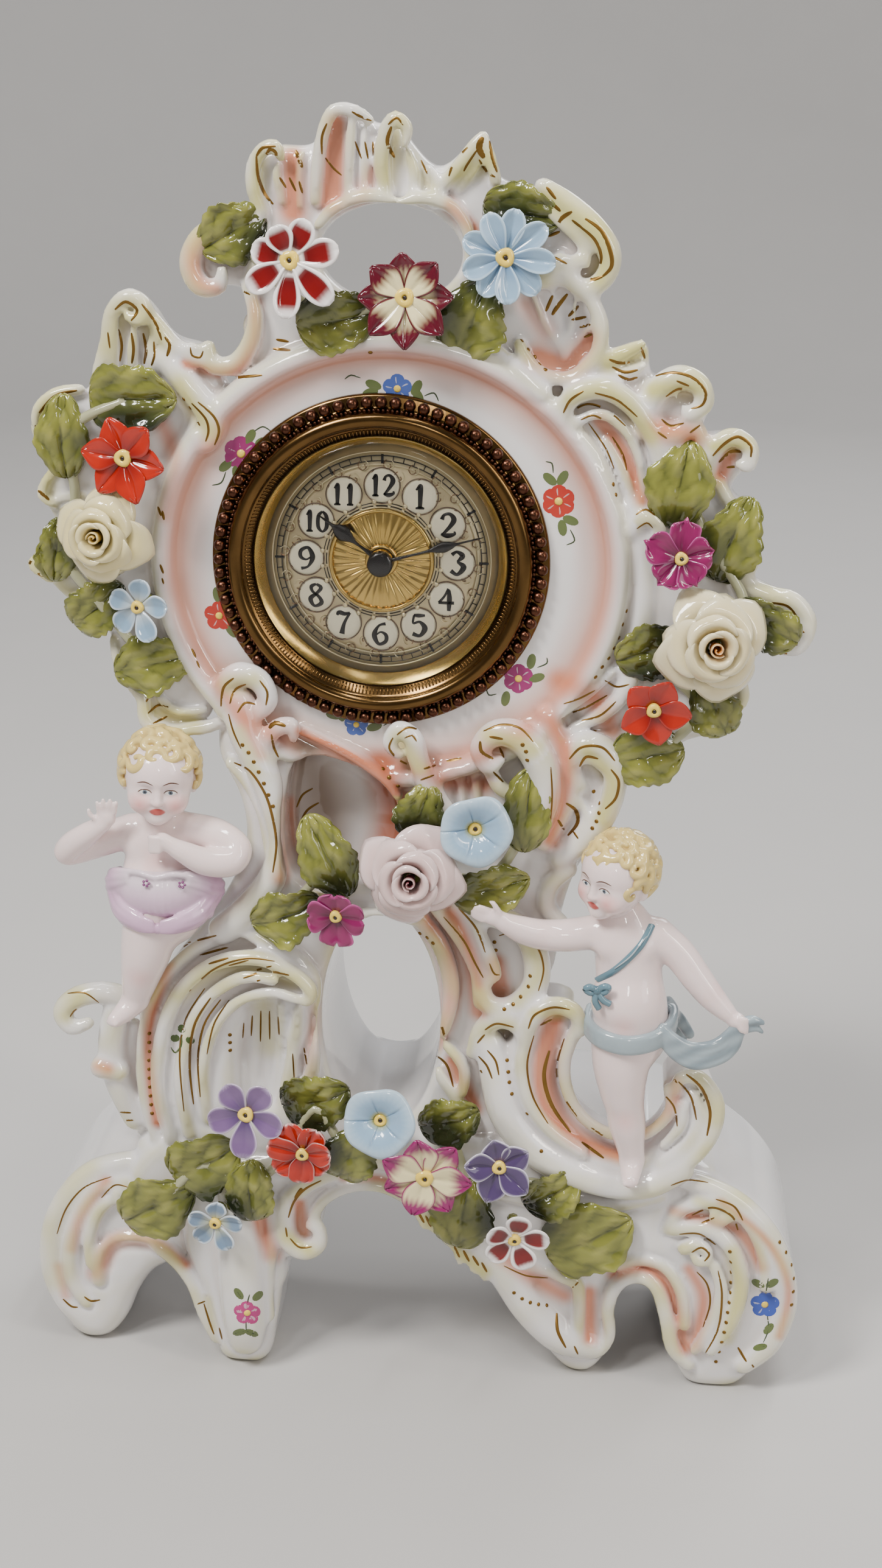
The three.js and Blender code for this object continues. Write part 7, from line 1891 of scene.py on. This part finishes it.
def make_head():
    """A calm, generic child's head: its points, faces and colours in its own frame."""
    clay = Clay((-16, -17, -24), (16, 17, 18), fine_step(0.36))
    clay.egg((0, 1.5, 3), (12, 12.8, 12.2))
    clay.egg((0, -2, -3), (10.4, 10, 11), blend=4)
    clay.egg((0, -5.2, 4), (8.4, 6.4, 6.6), blend=4)
    for side in (-1, 1):
        clay.egg((side * 5.2, -7.4, -5.6), (4.6, 4.0, 4.3), blend=3)
        clay.egg((side * 11.5, 1.5, -2.4), (1.6, 2.6, 3.5), blend=1)
        clay.egg((side * 4.3, -12.2, -0.7), (2.7, 1.5, 1.8), blend=2, carve=True)
        clay.egg((side * 4.3, -9.9, -0.8), (2.2, 1.3, 1.5), blend=0.8)
        clay.egg((side * 1.25, -12.1, -4.5), (0.95, 0.9, 0.75), blend=0.6)
        clay.egg((side * 1.2, -11.2, -7.3), (1.5, 1.0, 0.65), blend=0.6)
    clay.egg((0, -8.3, -11.4), (3.4, 3.0, 2.6), blend=3)
    clay.sweep([(0, -10.9, 0.6, 0.9), (0, -12.2, -2.2, 1.0), (0, -13.0, -4.2, 1.25)], blend=1.4)
    clay.egg((0, -11.0, -8.5), (1.6, 1.0, 0.75), blend=0.6)
    clay.sweep([(-2.3, -12.0, -7.8, 0.22), (0, -12.5, -8.0, 0.3), (2.3, -12.0, -7.8, 0.22)], blend=0.4,
               carve=True)
    clay.sweep([(0, 1, -9, 6.2), (0, 2.5, -15, 6.0), (0, 3.0, -22, 6.6)], blend=3)
    clay.soften()
    points, faces = clay.surface()
    colours = np.tile(SKIN, (len(points), 1))
    front = points[:, 1] < -5
    for side in (-1, 1):
        far = np.hypot(points[:, 0] - side * 6.0, points[:, 2] + 5.4) / 4.6
        colours = blend(colours, BLUSH, 0.62 * np.clip(1 - far, 0, 1) ** 0.8 * front)
    lips = (np.abs(points[:, 0]) / 2.7) ** 2 + ((points[:, 2] + 7.9) / 1.35) ** 2
    colours = blend(colours, LIP, np.clip(1.15 - lips, 0, 1) * 3 * (points[:, 1] < -11.0))
    tip = np.hypot(points[:, 0], points[:, 2] + 4.6) / 2.2
    colours = blend(colours, BLUSH, 0.25 * np.clip(1 - tip, 0, 1) * front)
    return points, faces, colours


def make_face_lines(points, faces):
    """Eyes, lids and brows as fine strokes on the head's own skin."""
    tree = skin_tree(points, faces)
    shape = Shape()

    def ahead(x, z):
        hit, normal, _, _ = tree.ray_cast(Vector((x, -40.0, z)), Vector((0.0, 1.0, 0.0)))
        return None if hit is None else (np.array(hit), np.array(normal if normal.y < 0 else -normal))

    for side in (-1, 1):
        for line, width, colour, lift, taper in FACE_LINES:
            lay_stroke(shape, ahead, [(side * EYE_APART + x, z) for x, z in line], width, colour, lift, taper)
    return shape


def make_hair(curls, size):
    """A cap of thick curls, each a small hook that winds in over the head."""
    clay = Clay((-20, -19, -17), (20, 20, 23), fine_step(0.4))
    clay.egg((0, 3.0, 4.0), (12.4, 12.0, 12.2))
    clay.egg((0, 5.0, -1.5), (11.6, 9.6, 9.5), blend=3)
    clay.egg((0, -12.5, -6.5), (9.8, 9.5, 13.0), blend=1.5, carve=True)
    rng = np.random.default_rng(curls)
    middle = np.array([0, 2.0, 2.6])
    for i in range(curls):
        height = 1 - 1.5 * (i + 0.5) / curls
        angle = GOLDEN_ANGLE * i
        ring = math.sqrt(max(1 - height * height, 0))
        out = np.array([ring * math.cos(angle), ring * math.sin(angle), height])
        spot = middle + out * HAIR_REACH
        if (spot[1] < -4 and spot[2] < 7.5 and abs(spot[0]) < 10) or (spot[2] < -3 and spot[1] < 0):
            continue
        side = unit(np.cross(out, [0.2, 0.3, 1.0]))
        down = np.cross(side, out)
        spin, hand = rng.uniform(0, 6.28), rng.choice((-1, 1))
        across = side * math.cos(spin) + down * math.sin(spin)
        along = np.cross(out, across) * hand
        reach = size * rng.uniform(0.85, 1.2)
        hook = []
        for t in np.linspace(0, 1, 8):
            r = reach * (1.1 - 0.85 * t)
            hook.append([*(spot + across * r * math.cos(5.0 * t) + along * r * math.sin(5.0 * t)
                           + out * (0.2 + 0.9 * t)), 0.9 + 0.8 * math.sin(math.pi * min(t * 1.3, 1)) ** 0.7])
        clay.sweep(hook, blend=0.7, per_span=3)
    points, faces = clay.surface()
    # Painted shade: the hair is darker deeper in, between the curls.
    reach = np.linalg.norm(points - middle, axis=1)
    groove = np.clip((14.0 - reach) / 1.6, 0, 1)
    return points, faces, blend(np.tile(HAIR, (len(points), 1)), HAIR_SHADE, 0.75 * groove)


def set_head(points, at, look, nod, tip=0.0, size=1.0):
    """Turns a head's points: look to the viewer's left is positive, and nod is downwards."""
    turn = (Matrix.Rotation(math.radians(-look), 3, "Z") @ Matrix.Rotation(math.radians(nod), 3, "X")
            @ Matrix.Rotation(math.radians(tip), 3, "Y"))
    return (points * size) @ np.array(turn).T + np.asarray(at, float)


def fingers(clay, roots, direction, length, radius=0.95, spread=0.0):
    """A row of fingers, each a short rod that thins out from its root."""
    for i, root in enumerate(roots):
        lean = np.array([spread * (i - 1.5), 0, 0])
        tip = np.asarray(root, float) + (np.asarray(direction) + lean) * length
        middle = (np.asarray(root) + tip) / 2
        clay.sweep([(*root, radius), (*middle, radius * 0.95), (*tip, radius * 0.75)], blend=0.5, per_span=3)


def flush_skin(points, spots):
    """The colour of each point of a body, a little redder at some spots."""
    colours = np.tile(SKIN, (len(points), 1))
    for spot in spots:
        far = np.linalg.norm(points - spot, axis=1) / BLUSH_REACH
        colours = blend(colours, BLUSH, 0.3 * np.clip(1 - far, 0, 1))
    return colours


def make_left_body():
    """The left cherub, a hand raised and the other on its chest."""
    clay = Clay((-116, -32, 118), (-38, 12, 222), fine_step(0.55))
    clay.sweep([(-72, -9, 213, 6), (-72.5, -8.5, 206, 9.5), (-73.5, -8.5, 198, 11), (-73, -9, 189, 12),
                (-71.5, -9, 179, 13)], blend=2, flat=0.85)
    clay.egg((-73.5, -14.5, 190), (11.5, 8, 9.5), blend=4)
    for side in (-1, 1):
        clay.egg((-73.5 + side * 5, -13.5, 203), (4.6, 3.2, 3.6), blend=3)
    clay.sweep([(-82, -9, 207, 5.6), (-92, -9, 203, 5.6), (-100, -10, 200, 5.2), (-103.5, -12, 199.3, 4.6),
                (-101, -14.5, 203, 4.5), (-95.5, -17, 207.8, 4.0), (-90.4, -18.5, 211.8, 2.9)], blend=2.5)
    clay.egg((-88.2, -19.2, 214.8), (3.1, 2.0, 3.3), blend=1.5)
    fingers(clay, [(-90.4, -19.6, 216.5), (-88.8, -19.8, 217.5), (-87.0, -19.8, 217.5),
                   (-85.5, -19.6, 216.7)],
            (0.05, -0.25, 1.0), 4.4, spread=0.12)
    clay.sweep([(-91.0, -19.6, 214, 1.1), (-93.3, -20.4, 215.9, 0.95), (-93.8, -20.8, 218.1, 0.8)], blend=0.6)
    clay.sweep([(-64, -9, 208, 5.8), (-54, -9.5, 206.5, 5.8), (-47, -12, 203, 5.4),
                (-48.5, -15.5, 199.8, 5.2),
                (-56, -18.5, 200.6, 4.7), (-63, -20.3, 204.4, 3.6), (-66.5, -21, 206.6, 2.8)], blend=2.5)
    clay.egg((-69.6, -21.4, 208.2), (3.4, 2.8, 3.0), blend=1.5)
    for i in range(4):
        z = 210.1 - 1.55 * i
        clay.sweep([(-70.1, -23.6, z, 1.0), (-72.8, -23.0, z - 0.2, 1.05), (-73.6, -21.2, z - 0.3, 0.95)],
                   blend=0.4, per_span=3)
    clay.sweep([(-74, -12, 186, 10.8), (-75.5, -13.5, 176, 9.8), (-77.5, -13.8, 166, 8.7),
                (-79.4, -13.5, 158, 7.1), (-80.9, -12.8, 151.5, 5.7), (-82, -12.3, 147, 4.7)], blend=3)
    clay.sweep([(-82.3, -12.3, 145.6, 4.4), (-85.3, -15.6, 142.9, 3.7), (-88, -19, 141.2, 2.7)], blend=1.5)
    for i in range(4):
        clay.egg((-87.2 - 1.05 * i, -21.4 + 0.6 * i, 140.7), (0.8, 1.1, 0.8), blend=0.5)
    clay.soften()
    points, faces = clay.surface()
    spots = ((-73, -20, 200), (-47, -12, 202), (-104, -12, 199), (-79, -20, 158))
    return points, faces, flush_skin(points, spots)


def make_left_cloth():
    """A wrap round the belly, gathered under it in folds with a ruffled hem."""
    clay = Clay((-106, -36, 164), (-38, 12, 208), fine_step(0.5))
    clay.egg((-71.5, -10.5, 188.5), (16.2, 13.2, 12))
    clay.egg((-72, -15.5, 189), (12, 9.6, 9.5), blend=3)
    clay.egg((-70.5, -9, 202.6), (30, 30, 6.2), blend=1, carve=True)
    clay.egg((-70.5, 4, 200.6), (34, 20, 10), blend=2, carve=True)
    for side in (-1, 1):
        for drop, wide, r in ((0, 0, 1.5), (3.2, 0.8, 1.7), (6.6, 0.6, 1.8), (9.8, -0.6, 1.7)):
            clay.sweep([(-71.5 + side * (9.5 + wide), -20.5, 196.6 - drop * 0.5, r * 0.7),
                        (-71.5 + side * (15 + wide), -16, 194.6 - drop * 0.7, r),
                        (-71.5 + side * (18 + wide), -9.5, 191.4 - drop * 0.8, r),
                        (-71.5 + side * (16.5 + wide), -3, 190 - drop * 0.7, r * 0.8)], blend=0.5)
            clay.sweep([(-71.5 + side * (17.2 + wide), -11, 189.6 - drop * 0.75, r),
                        (-71.5 + side * (13.4 + wide), -18.5, 184.6 - drop * 0.6, r),
                        (-71.5 + side * (7 + wide), -23.2, 181.8 - drop * 0.42, r * 0.9),
                        (-71.5 + side * 1.5, -24.4, 180.6 - drop * 0.36, r * 0.5)], blend=0.5)
    for i in range(9):
        x = -80 + 2.1 * i
        y = -24.6 + 0.06 * (x + 71.5) ** 2
        clay.sweep([(x, y + 0.8, 194.5, 0.5), (x + 0.15 * (x + 71.5), y - 0.1, 189, 0.75),
                    (x + 0.1 * (x + 71.5), y + 0.6, 183.5, 0.5)], blend=0.6)
    clay.sweep([(-88, -8, 191.5, 1.2), (-86, -14, 193.6, 1.2), (-82.5, -18.6, 195.8, 1.1),
                (-77, -22.2, 197, 1.1),
                (-72, -23.2, 196, 1.1), (-66, -22.4, 197, 1.1), (-60.5, -20, 195.6, 1.1),
                (-56, -15.4, 194.2, 1.2), (-53, -10, 192.2, 1.2)], blend=0.6)
    for i in range(17):
        turn = math.radians(196 + 148 * i / 16)
        out = 1 + 0.05 * math.sin(2.6 * i)
        clay.egg((-71.5 + 17 * out * math.cos(turn), -9 + 13.4 * out * math.sin(turn),
                  177 + 5 * abs(math.cos(turn)) + 0.6 * math.sin(4.1 * i)), (1.5, 1.5, 2.2), blend=0.7)
    clay.soften()
    points, faces = clay.surface()
    # Painted shade towards the hem and on the sides that turn away; the top fades to white in the middle.
    hem = np.clip((186 - points[:, 2]) / 8, 0, 1)
    side = np.clip((np.abs(points[:, 0] + 71.5) - 10) / 8, 0, 1)
    colours = blend(np.tile(LILAC_CLOTH, (len(points), 1)), LILAC_SHADE, 0.1 + 0.45 * np.maximum(hem, side))
    return points, faces, blend(colours, WHITE, 0.5 * np.clip((points[:, 2] - 188) / 6, 0, 1) * (1 - side))


def make_right_body():
    """The right cherub, its arms held out to both sides."""
    clay = Clay((28, -34, 76), (136, 14, 192), fine_step(0.55))
    clay.sweep([(82, -12, 187, 6), (83.5, -12, 180, 9.5), (84.5, -12, 172, 11), (85.5, -12.5, 162, 11.2),
                (86.5, -13, 151, 12.4), (87, -13, 142, 12)], blend=2, flat=0.85)
    clay.egg((84.5, -17.5, 156), (11, 8, 9.5), blend=4)
    for side in (-1, 1):
        clay.egg((83.5 + side * 5, -17, 176), (4.6, 3.2, 3.8), blend=3)
    clay.sweep([(76, -12, 179.5, 5.8), (66, -12.3, 177.5, 5.6), (57, -13.5, 177.5, 5.2),
                (49.5, -16, 180, 4.6), (43.5, -18.5, 183.5, 3.3)], blend=2.5)
    clay.egg((40, -19.6, 185.8), (3.9, 2.2, 3.0), blend=1.5)
    fingers(clay, [(38.5, -20, 188.2), (37.0, -20.2, 187.6), (36.2, -20.2, 186.2), (36.2, -20, 184.6)],
            (-0.85, -0.2, 0.45), 4.2)
    clay.sweep([(41.5, -20.5, 187.8, 1.2), (40.2, -21.2, 190.6, 1.0), (38.8, -21.4, 192.4, 0.85)], blend=0.6)
    clay.sweep([(94, -12, 179, 5.8), (101.5, -12.7, 172.5, 5.6), (107.5, -14, 165, 5.2),
                (113, -15.2, 158.5, 4.5), (118, -16.3, 153.8, 3.3)], blend=2.5)
    clay.egg((121.4, -17, 151.2), (3.3, 2.8, 2.8), blend=1.5)
    for i in range(4):
        clay.sweep([(122.9, -19.4, 153.0 - 1.35 * i, 1.0), (124.8, -18.6, 152.0 - 1.35 * i, 1.0),
                    (125.0, -16.8, 151.4 - 1.35 * i, 0.9)], blend=0.4, per_span=3)
    clay.sweep([(84, -13.5, 143, 10.4), (84, -14.2, 133, 9.8), (84.8, -14.3, 123, 8.0), (86, -14, 115.5, 6.7),
                (87.2, -13.6, 108, 6.3), (88.6, -13, 100, 4.9), (89.4, -12.8, 95.4, 4.4)], blend=3)
    clay.sweep([(89.4, -13, 93.4, 4.2), (89.2, -16.5, 91.4, 3.6), (89, -20.5, 90.6, 2.8)], blend=1.5)
    for i in range(4):
        clay.egg((87.0 + 1.35 * i, -22.6 + 0.4 * i, 90.2), (0.85, 1.1, 0.85), blend=0.5)
    clay.sweep([(88, -7, 143, 9), (88, -1, 130, 6.8), (87.5, 2.5, 117, 5.2), (87.5, 4, 104, 4.4)], blend=2)
    clay.soften()
    points, faces = clay.surface()
    spots = ((84, -25.5, 150), (113, -15, 160), (55, -14, 178), (86, -20, 113))
    return points, faces, flush_skin(points, spots)


def make_right_cloth():
    """A rolled wrap round the hips and its end, gathered up in the hand."""
    clay = Clay((64, -36, 118), (140, 14, 166), fine_step(0.55))
    for drop, r in ((0, 1.7), (2.1, 1.8), (4.2, 1.7)):
        clay.sweep([(73, -8, 149 - drop, r), (72.5, -15, 147.6 - drop, r), (77, -22, 146.4 - drop * 0.9, r),
                    (85, -25, 145.8 - drop * 0.9, r), (93.5, -23, 146.6 - drop * 0.9, r),
                    (99.5, -17, 148.8 - drop, r),
                    (101, -9, 150 - drop, r), (99.5, -2, 150 - drop, r)], blend=1.0)
    for drop, reach in ((0, 0.0), (2.0, 0.9), (4.0, 1.8), (6.0, 2.5)):
        clay.sweep([(97, -20, 148.5 - drop * 0.7, 1.8), (102, -21.2, 144.8 - drop * 0.95, 1.8),
                    (108 + reach * 0.3, -20.2 - 0.5 * reach, 142.2 - drop * 1.02, 1.7),
                    (114.5 + reach, -19.2, 143.2 - drop * 0.95, 1.6),
                    (119 + reach, -18.2, 146.6 - drop * 0.8, 1.6),
                    (121.6 + reach * 0.6, -17.8, 150 - drop * 0.4, 1.5)],
                   blend=0.5)
    clay.sweep([(123.2, -17.5, 150.5, 1.8), (126.8, -17.5, 151.8, 1.7), (130.2, -17.2, 150.9, 0.9)], blend=1)
    clay.sweep([(124.8, -17.5, 148.5, 1.6), (128.2, -17.2, 148.8, 1.2), (130.2, -17, 147.4, 0.7)], blend=1)
    clay.sweep([(99, -8, 150, 2.2), (103, -5, 145, 2.3), (107, -4, 139, 1.8)], blend=1.2)
    clay.sweep([(98, -3, 149, 2.2), (101, 0, 142, 2.3), (105, 1, 135, 1.8)], blend=1.2)
    points, faces = clay.surface()
    # Painted shade in stripes along the folds of the gathered end on the right; a little of the same colour
    # everywhere is the cloth's own tone.
    depth = 0.5 + 0.5 * np.sin(points[:, 2] * 1.1 - points[:, 0] * 0.5)
    right = np.clip((points[:, 0] - 92) / 12, 0, 1)
    return points, faces, blend(np.tile(BLUE_CLOTH, (len(points), 1)), BLUE_SHADE, 0.12 + 0.4 * depth * right)


def add_skin(node, part, points, faces, colours, material):
    """A piece of a cherub from its own points."""
    add_piece(node + part, make_mesh(node + part, points, faces, colours), material,
              replaces=(node,))


def rosette(shape, at):
    """Five small beads in a ring."""
    for i in range(5):
        turn = 2 * math.pi * i / 5
        points, faces = ball(0.55, (0.95 * math.cos(turn), 0.95 * math.sin(turn), 0), rows=5, columns=7)
        shape.add(stand(points, at), faces, ROSETTE)


def make_heads():
    """Both heads from one form, each with its own hair."""
    head, faces, colours = make_head()
    lines = make_face_lines(head, faces)
    for node, curls, curl_size, *place in HEADS:
        add_skin(node, "_head", set_head(head, *place), faces, colours, FLESH)
        hair, hair_faces, tones = make_hair(curls, curl_size)
        add_skin(node, "_hair", set_head(hair, *place), hair_faces, tones, ENAMEL)
        add_skin(node, "_face", set_head(np.vstack(lines.points), *place), lines.faces,
                 np.vstack(lines.colours), PAINTED)


def make_sash(tree):
    """A band across the right cherub's chest, with a bow at its end."""
    sash = Shape()

    def on_body(x, z):
        return eye_hit(tree, x, z)

    lay_stroke(sash, on_body, SASH_BAND, 2.6, SASH, 0.7, 0.1)
    # A painted highlight along the band.
    lay_stroke(sash, on_body, SASH_HIGHLIGHT, 0.7, blend(SASH, WHITE, np.array(0.4)), 1.0, 0.6)
    for rows in SASH_LOOPS:
        points, faces = tube(smooth(rows, 5), 1.15)
        sash.add(stand(points, (74.8, -24.5, 163.4)), faces, SASH)
    points, faces = ball(1.8, squash=0.8)
    sash.add(stand(points, (74.8, -25, 163.4)), faces, SASH * 0.7)
    sash.finish("cherub_right_sash", ENAMEL, "figure", replaces=("cherub_right",))


def make_cherubs():
    """Both cherubs with their cloths, the left one's rosettes and the right one's sash."""
    make_heads()
    add_skin("cherub_left", "_body", *make_left_body(), FLESH)
    add_skin("cherub_left", "_cloth", *make_left_cloth(), ENAMEL)
    buttons = Shape()
    for at in ((-74.5, -25.2, 194.6), (-63, -23.2, 193.8)):
        rosette(buttons, at)
    buttons.finish("cherub_left_rosettes", ENAMEL, "figure", replaces=("cherub_left",))
    points, faces, colours = make_right_body()
    add_skin("cherub_right", "_body", points, faces, colours, FLESH)
    add_skin("cherub_right", "_cloth", *make_right_cloth(), ENAMEL)
    make_sash(skin_tree(points, faces))


# The back: profiles as radius and height over its faces.
DOOR_FACE, RING_FACE = 1.2, 2.0
DOOR_RINGS = [(6, 0), (6, 0.4), (12, 0.7), (20, 0.75), (21, 1.2), (22.4, 1.25), (23.4, 0.7), (30, 0.55),
              (31, 1.0),
              (32.4, 1.05), (33.2, 0.5), (39.6, 0.4), (40.6, 1.1), (42.4, 1.5), (44.2, 1.1), (45.0, 0.2),
              (45.0, -0.7), (44.4, 0)]
PULL = [(0.01, 0), (3.4, 0), (3.5, 0.8), (3.2, 1.2), (3.2, 3.6), (4.0, 4.3), (4.1, 5.1), (3.2, 5.7),
        (0.01, 5.9)]
RING_EDGE = [(47.4, -0.3), (47.4, 0.5), (48.4, 0.8), (49.2, 0.3), (49.2, -0.3)]


def make_back():
    """Stamped rings on the back door with a turned pull, and a beaded edge on the back ring."""
    face = node_depths("back_door")[0] + DOOR_FACE
    ring = node_depths("back_ring")[0] + RING_FACE
    door = Shape()
    door.add(*lathe(raised(DOOR_RINGS, face), closed=True), WHITE)
    door.add(*lathe(raised(PULL, face), centre=(38.2, DIAL_Z), columns=32), WHITE)
    door.finish("back_door_stamped", BRASS, "brass", "door")
    edge = Shape()
    bead_ring(edge, 120, 50.6, ring + 0.2, 0.95)
    edge.add(*lathe(raised(RING_EDGE, ring), closed=True), WHITE)
    edge.finish("back_ring_beads", BRASS, "brass")


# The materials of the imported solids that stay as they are.
DRESSED = [
    (BRASS, ("hour_wheel", "cannon_pinion", "minute_wheel", "front_plate", "back_plate", "centre_wheel",
             "barrel",
             "third_wheel", "escape_wheel", "back_ring", "back_door", "regulator_lever", "strap_left",
             "strap_right", "balance_wheel")),
    (STEEL, ("pallet_lever", "winding_arbor")),
    (BLUED, ("hairspring",)),
    (GILT, ("winding_key", "set_knob")),
]


def dress_movement():
    """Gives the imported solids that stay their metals."""
    for metal, names in DRESSED:
        for name in names:
            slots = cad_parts[name].data.materials
            for i in range(len(slots)):
                slots[i] = metal


# Stage, in metres.
FLOOR_REACH, FLOOR_BEND, WALL_HEIGHT, FLOOR_COLUMNS = 2.6, 0.7, 1.8, 96
LIT = (0.0, 0.0, 0.22)
# Each row is the lamp, its place, size and power, and where they aren't the usual ones its colour and target.
LIGHTS = [
    ("key", (-0.75, -0.8, 1.5), (0.36, 0.5), 36, (1.0, 0.97, 0.93)),
    ("fill", (1.4, -1.1, 0.7), (0.5, 0.9), 4, (0.95, 0.97, 1.0)),
    ("strip_top", (0.3, -0.1, 1.7), (1.3, 0.06), 15),
    ("strip_right", (1.1, -0.6, 1.0), (0.1, 1.0), 8, (1.0, 0.92, 0.82)),
    ("spot_left", (-0.35, -1.2, 1.9), (0.16, 0.16), 7),
    ("wall_wash", (0.0, 0.7, 2.2), (1.6, 0.4), 20, (1.0, 1.0, 1.0), (0.0, 2.6, 0.4)),
    ("back_soft", (0.8, 1.5, 1.3), (0.8, 0.8), 12, (0.97, 0.98, 1.0)),
    ("spot_low", (0.15, -1.5, 0.9), (0.12, 0.2), 3, (1.0, 0.96, 0.9)),
]
SKY_LIGHT, SKY_STRENGTH = (0.86, 0.88, 0.92, 1.0), 0.18


def make_stage():
    """A pale round floor that curves up into a low wall on every side."""
    low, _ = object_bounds()
    flat = FLOOR_REACH - FLOOR_BEND
    rows = [(0.02, 0.0), (0.6, 0.0), (flat, 0.0)]
    for turn in np.linspace(0, math.pi / 2, 9)[1:]:
        rows.append((flat + FLOOR_BEND * math.sin(turn), FLOOR_BEND - FLOOR_BEND * math.cos(turn)))
    rows.append((FLOOR_REACH, WALL_HEIGHT))
    points = [(x, y, z + low.z) for r, z in rows for x, y in arc((0, 0), r, 0, 360, FLOOR_COLUMNS + 1)[:-1]]
    mesh = bpy.data.meshes.new("floor")
    mesh.from_pydata(points, [], grid_faces(len(rows), FLOOR_COLUMNS,
                                            wrap=True) + [tuple(range(FLOOR_COLUMNS))])
    mesh.shade_smooth()
    mesh.materials.append(shader("floor", linear(178, 176, 174), 0.8, bump=0.1, bump_size=60, mottle=0.03))
    floor = bpy.data.objects.new("floor", mesh)
    bpy.context.scene.collection.objects.link(floor)


def add_light(name, place, size, power, colour=(1.0, 1.0, 1.0), target=LIT):
    """A rectangular lamp that shines at a target."""
    data = bpy.data.lights.new(name, "AREA")
    data.shape = "RECTANGLE"
    data.size, data.size_y = size
    data.energy = power
    data.color = colour
    light = bpy.data.objects.new(name, data)
    light.location = place
    light.rotation_euler = (Vector(target) - Vector(place)).to_track_quat("-Z", "Y").to_euler()
    bpy.context.scene.collection.objects.link(light)


def make_lights():
    """The lamps, and a weak even light from all sides."""
    for row in LIGHTS:
        add_light(*row)
    world = bpy.data.worlds.new("studio")
    bpy.context.scene.world = world
    world.use_nodes = True
    sky = world.node_tree.nodes["Background"].inputs
    sky["Color"].default_value = SKY_LIGHT
    sky["Strength"].default_value = SKY_STRENGTH


make_camera()
CASE_TREE = make_case()
for row in BLOSSOMS:
    make_blossom(*row)
for row in ROSES:
    make_rose(*row)
for row in TRUMPETS:
    make_trumpet(*row)
for spray, (leaves, stem) in SPRAYS.items():
    make_spray(spray, leaves, stem)
make_bezel()
make_reflector()
make_dial()
make_sunburst()
make_hands()
make_glass()
make_gilding(CASE_TREE)
make_cherubs()
make_back()
dress_movement()
make_stage()
make_lights()
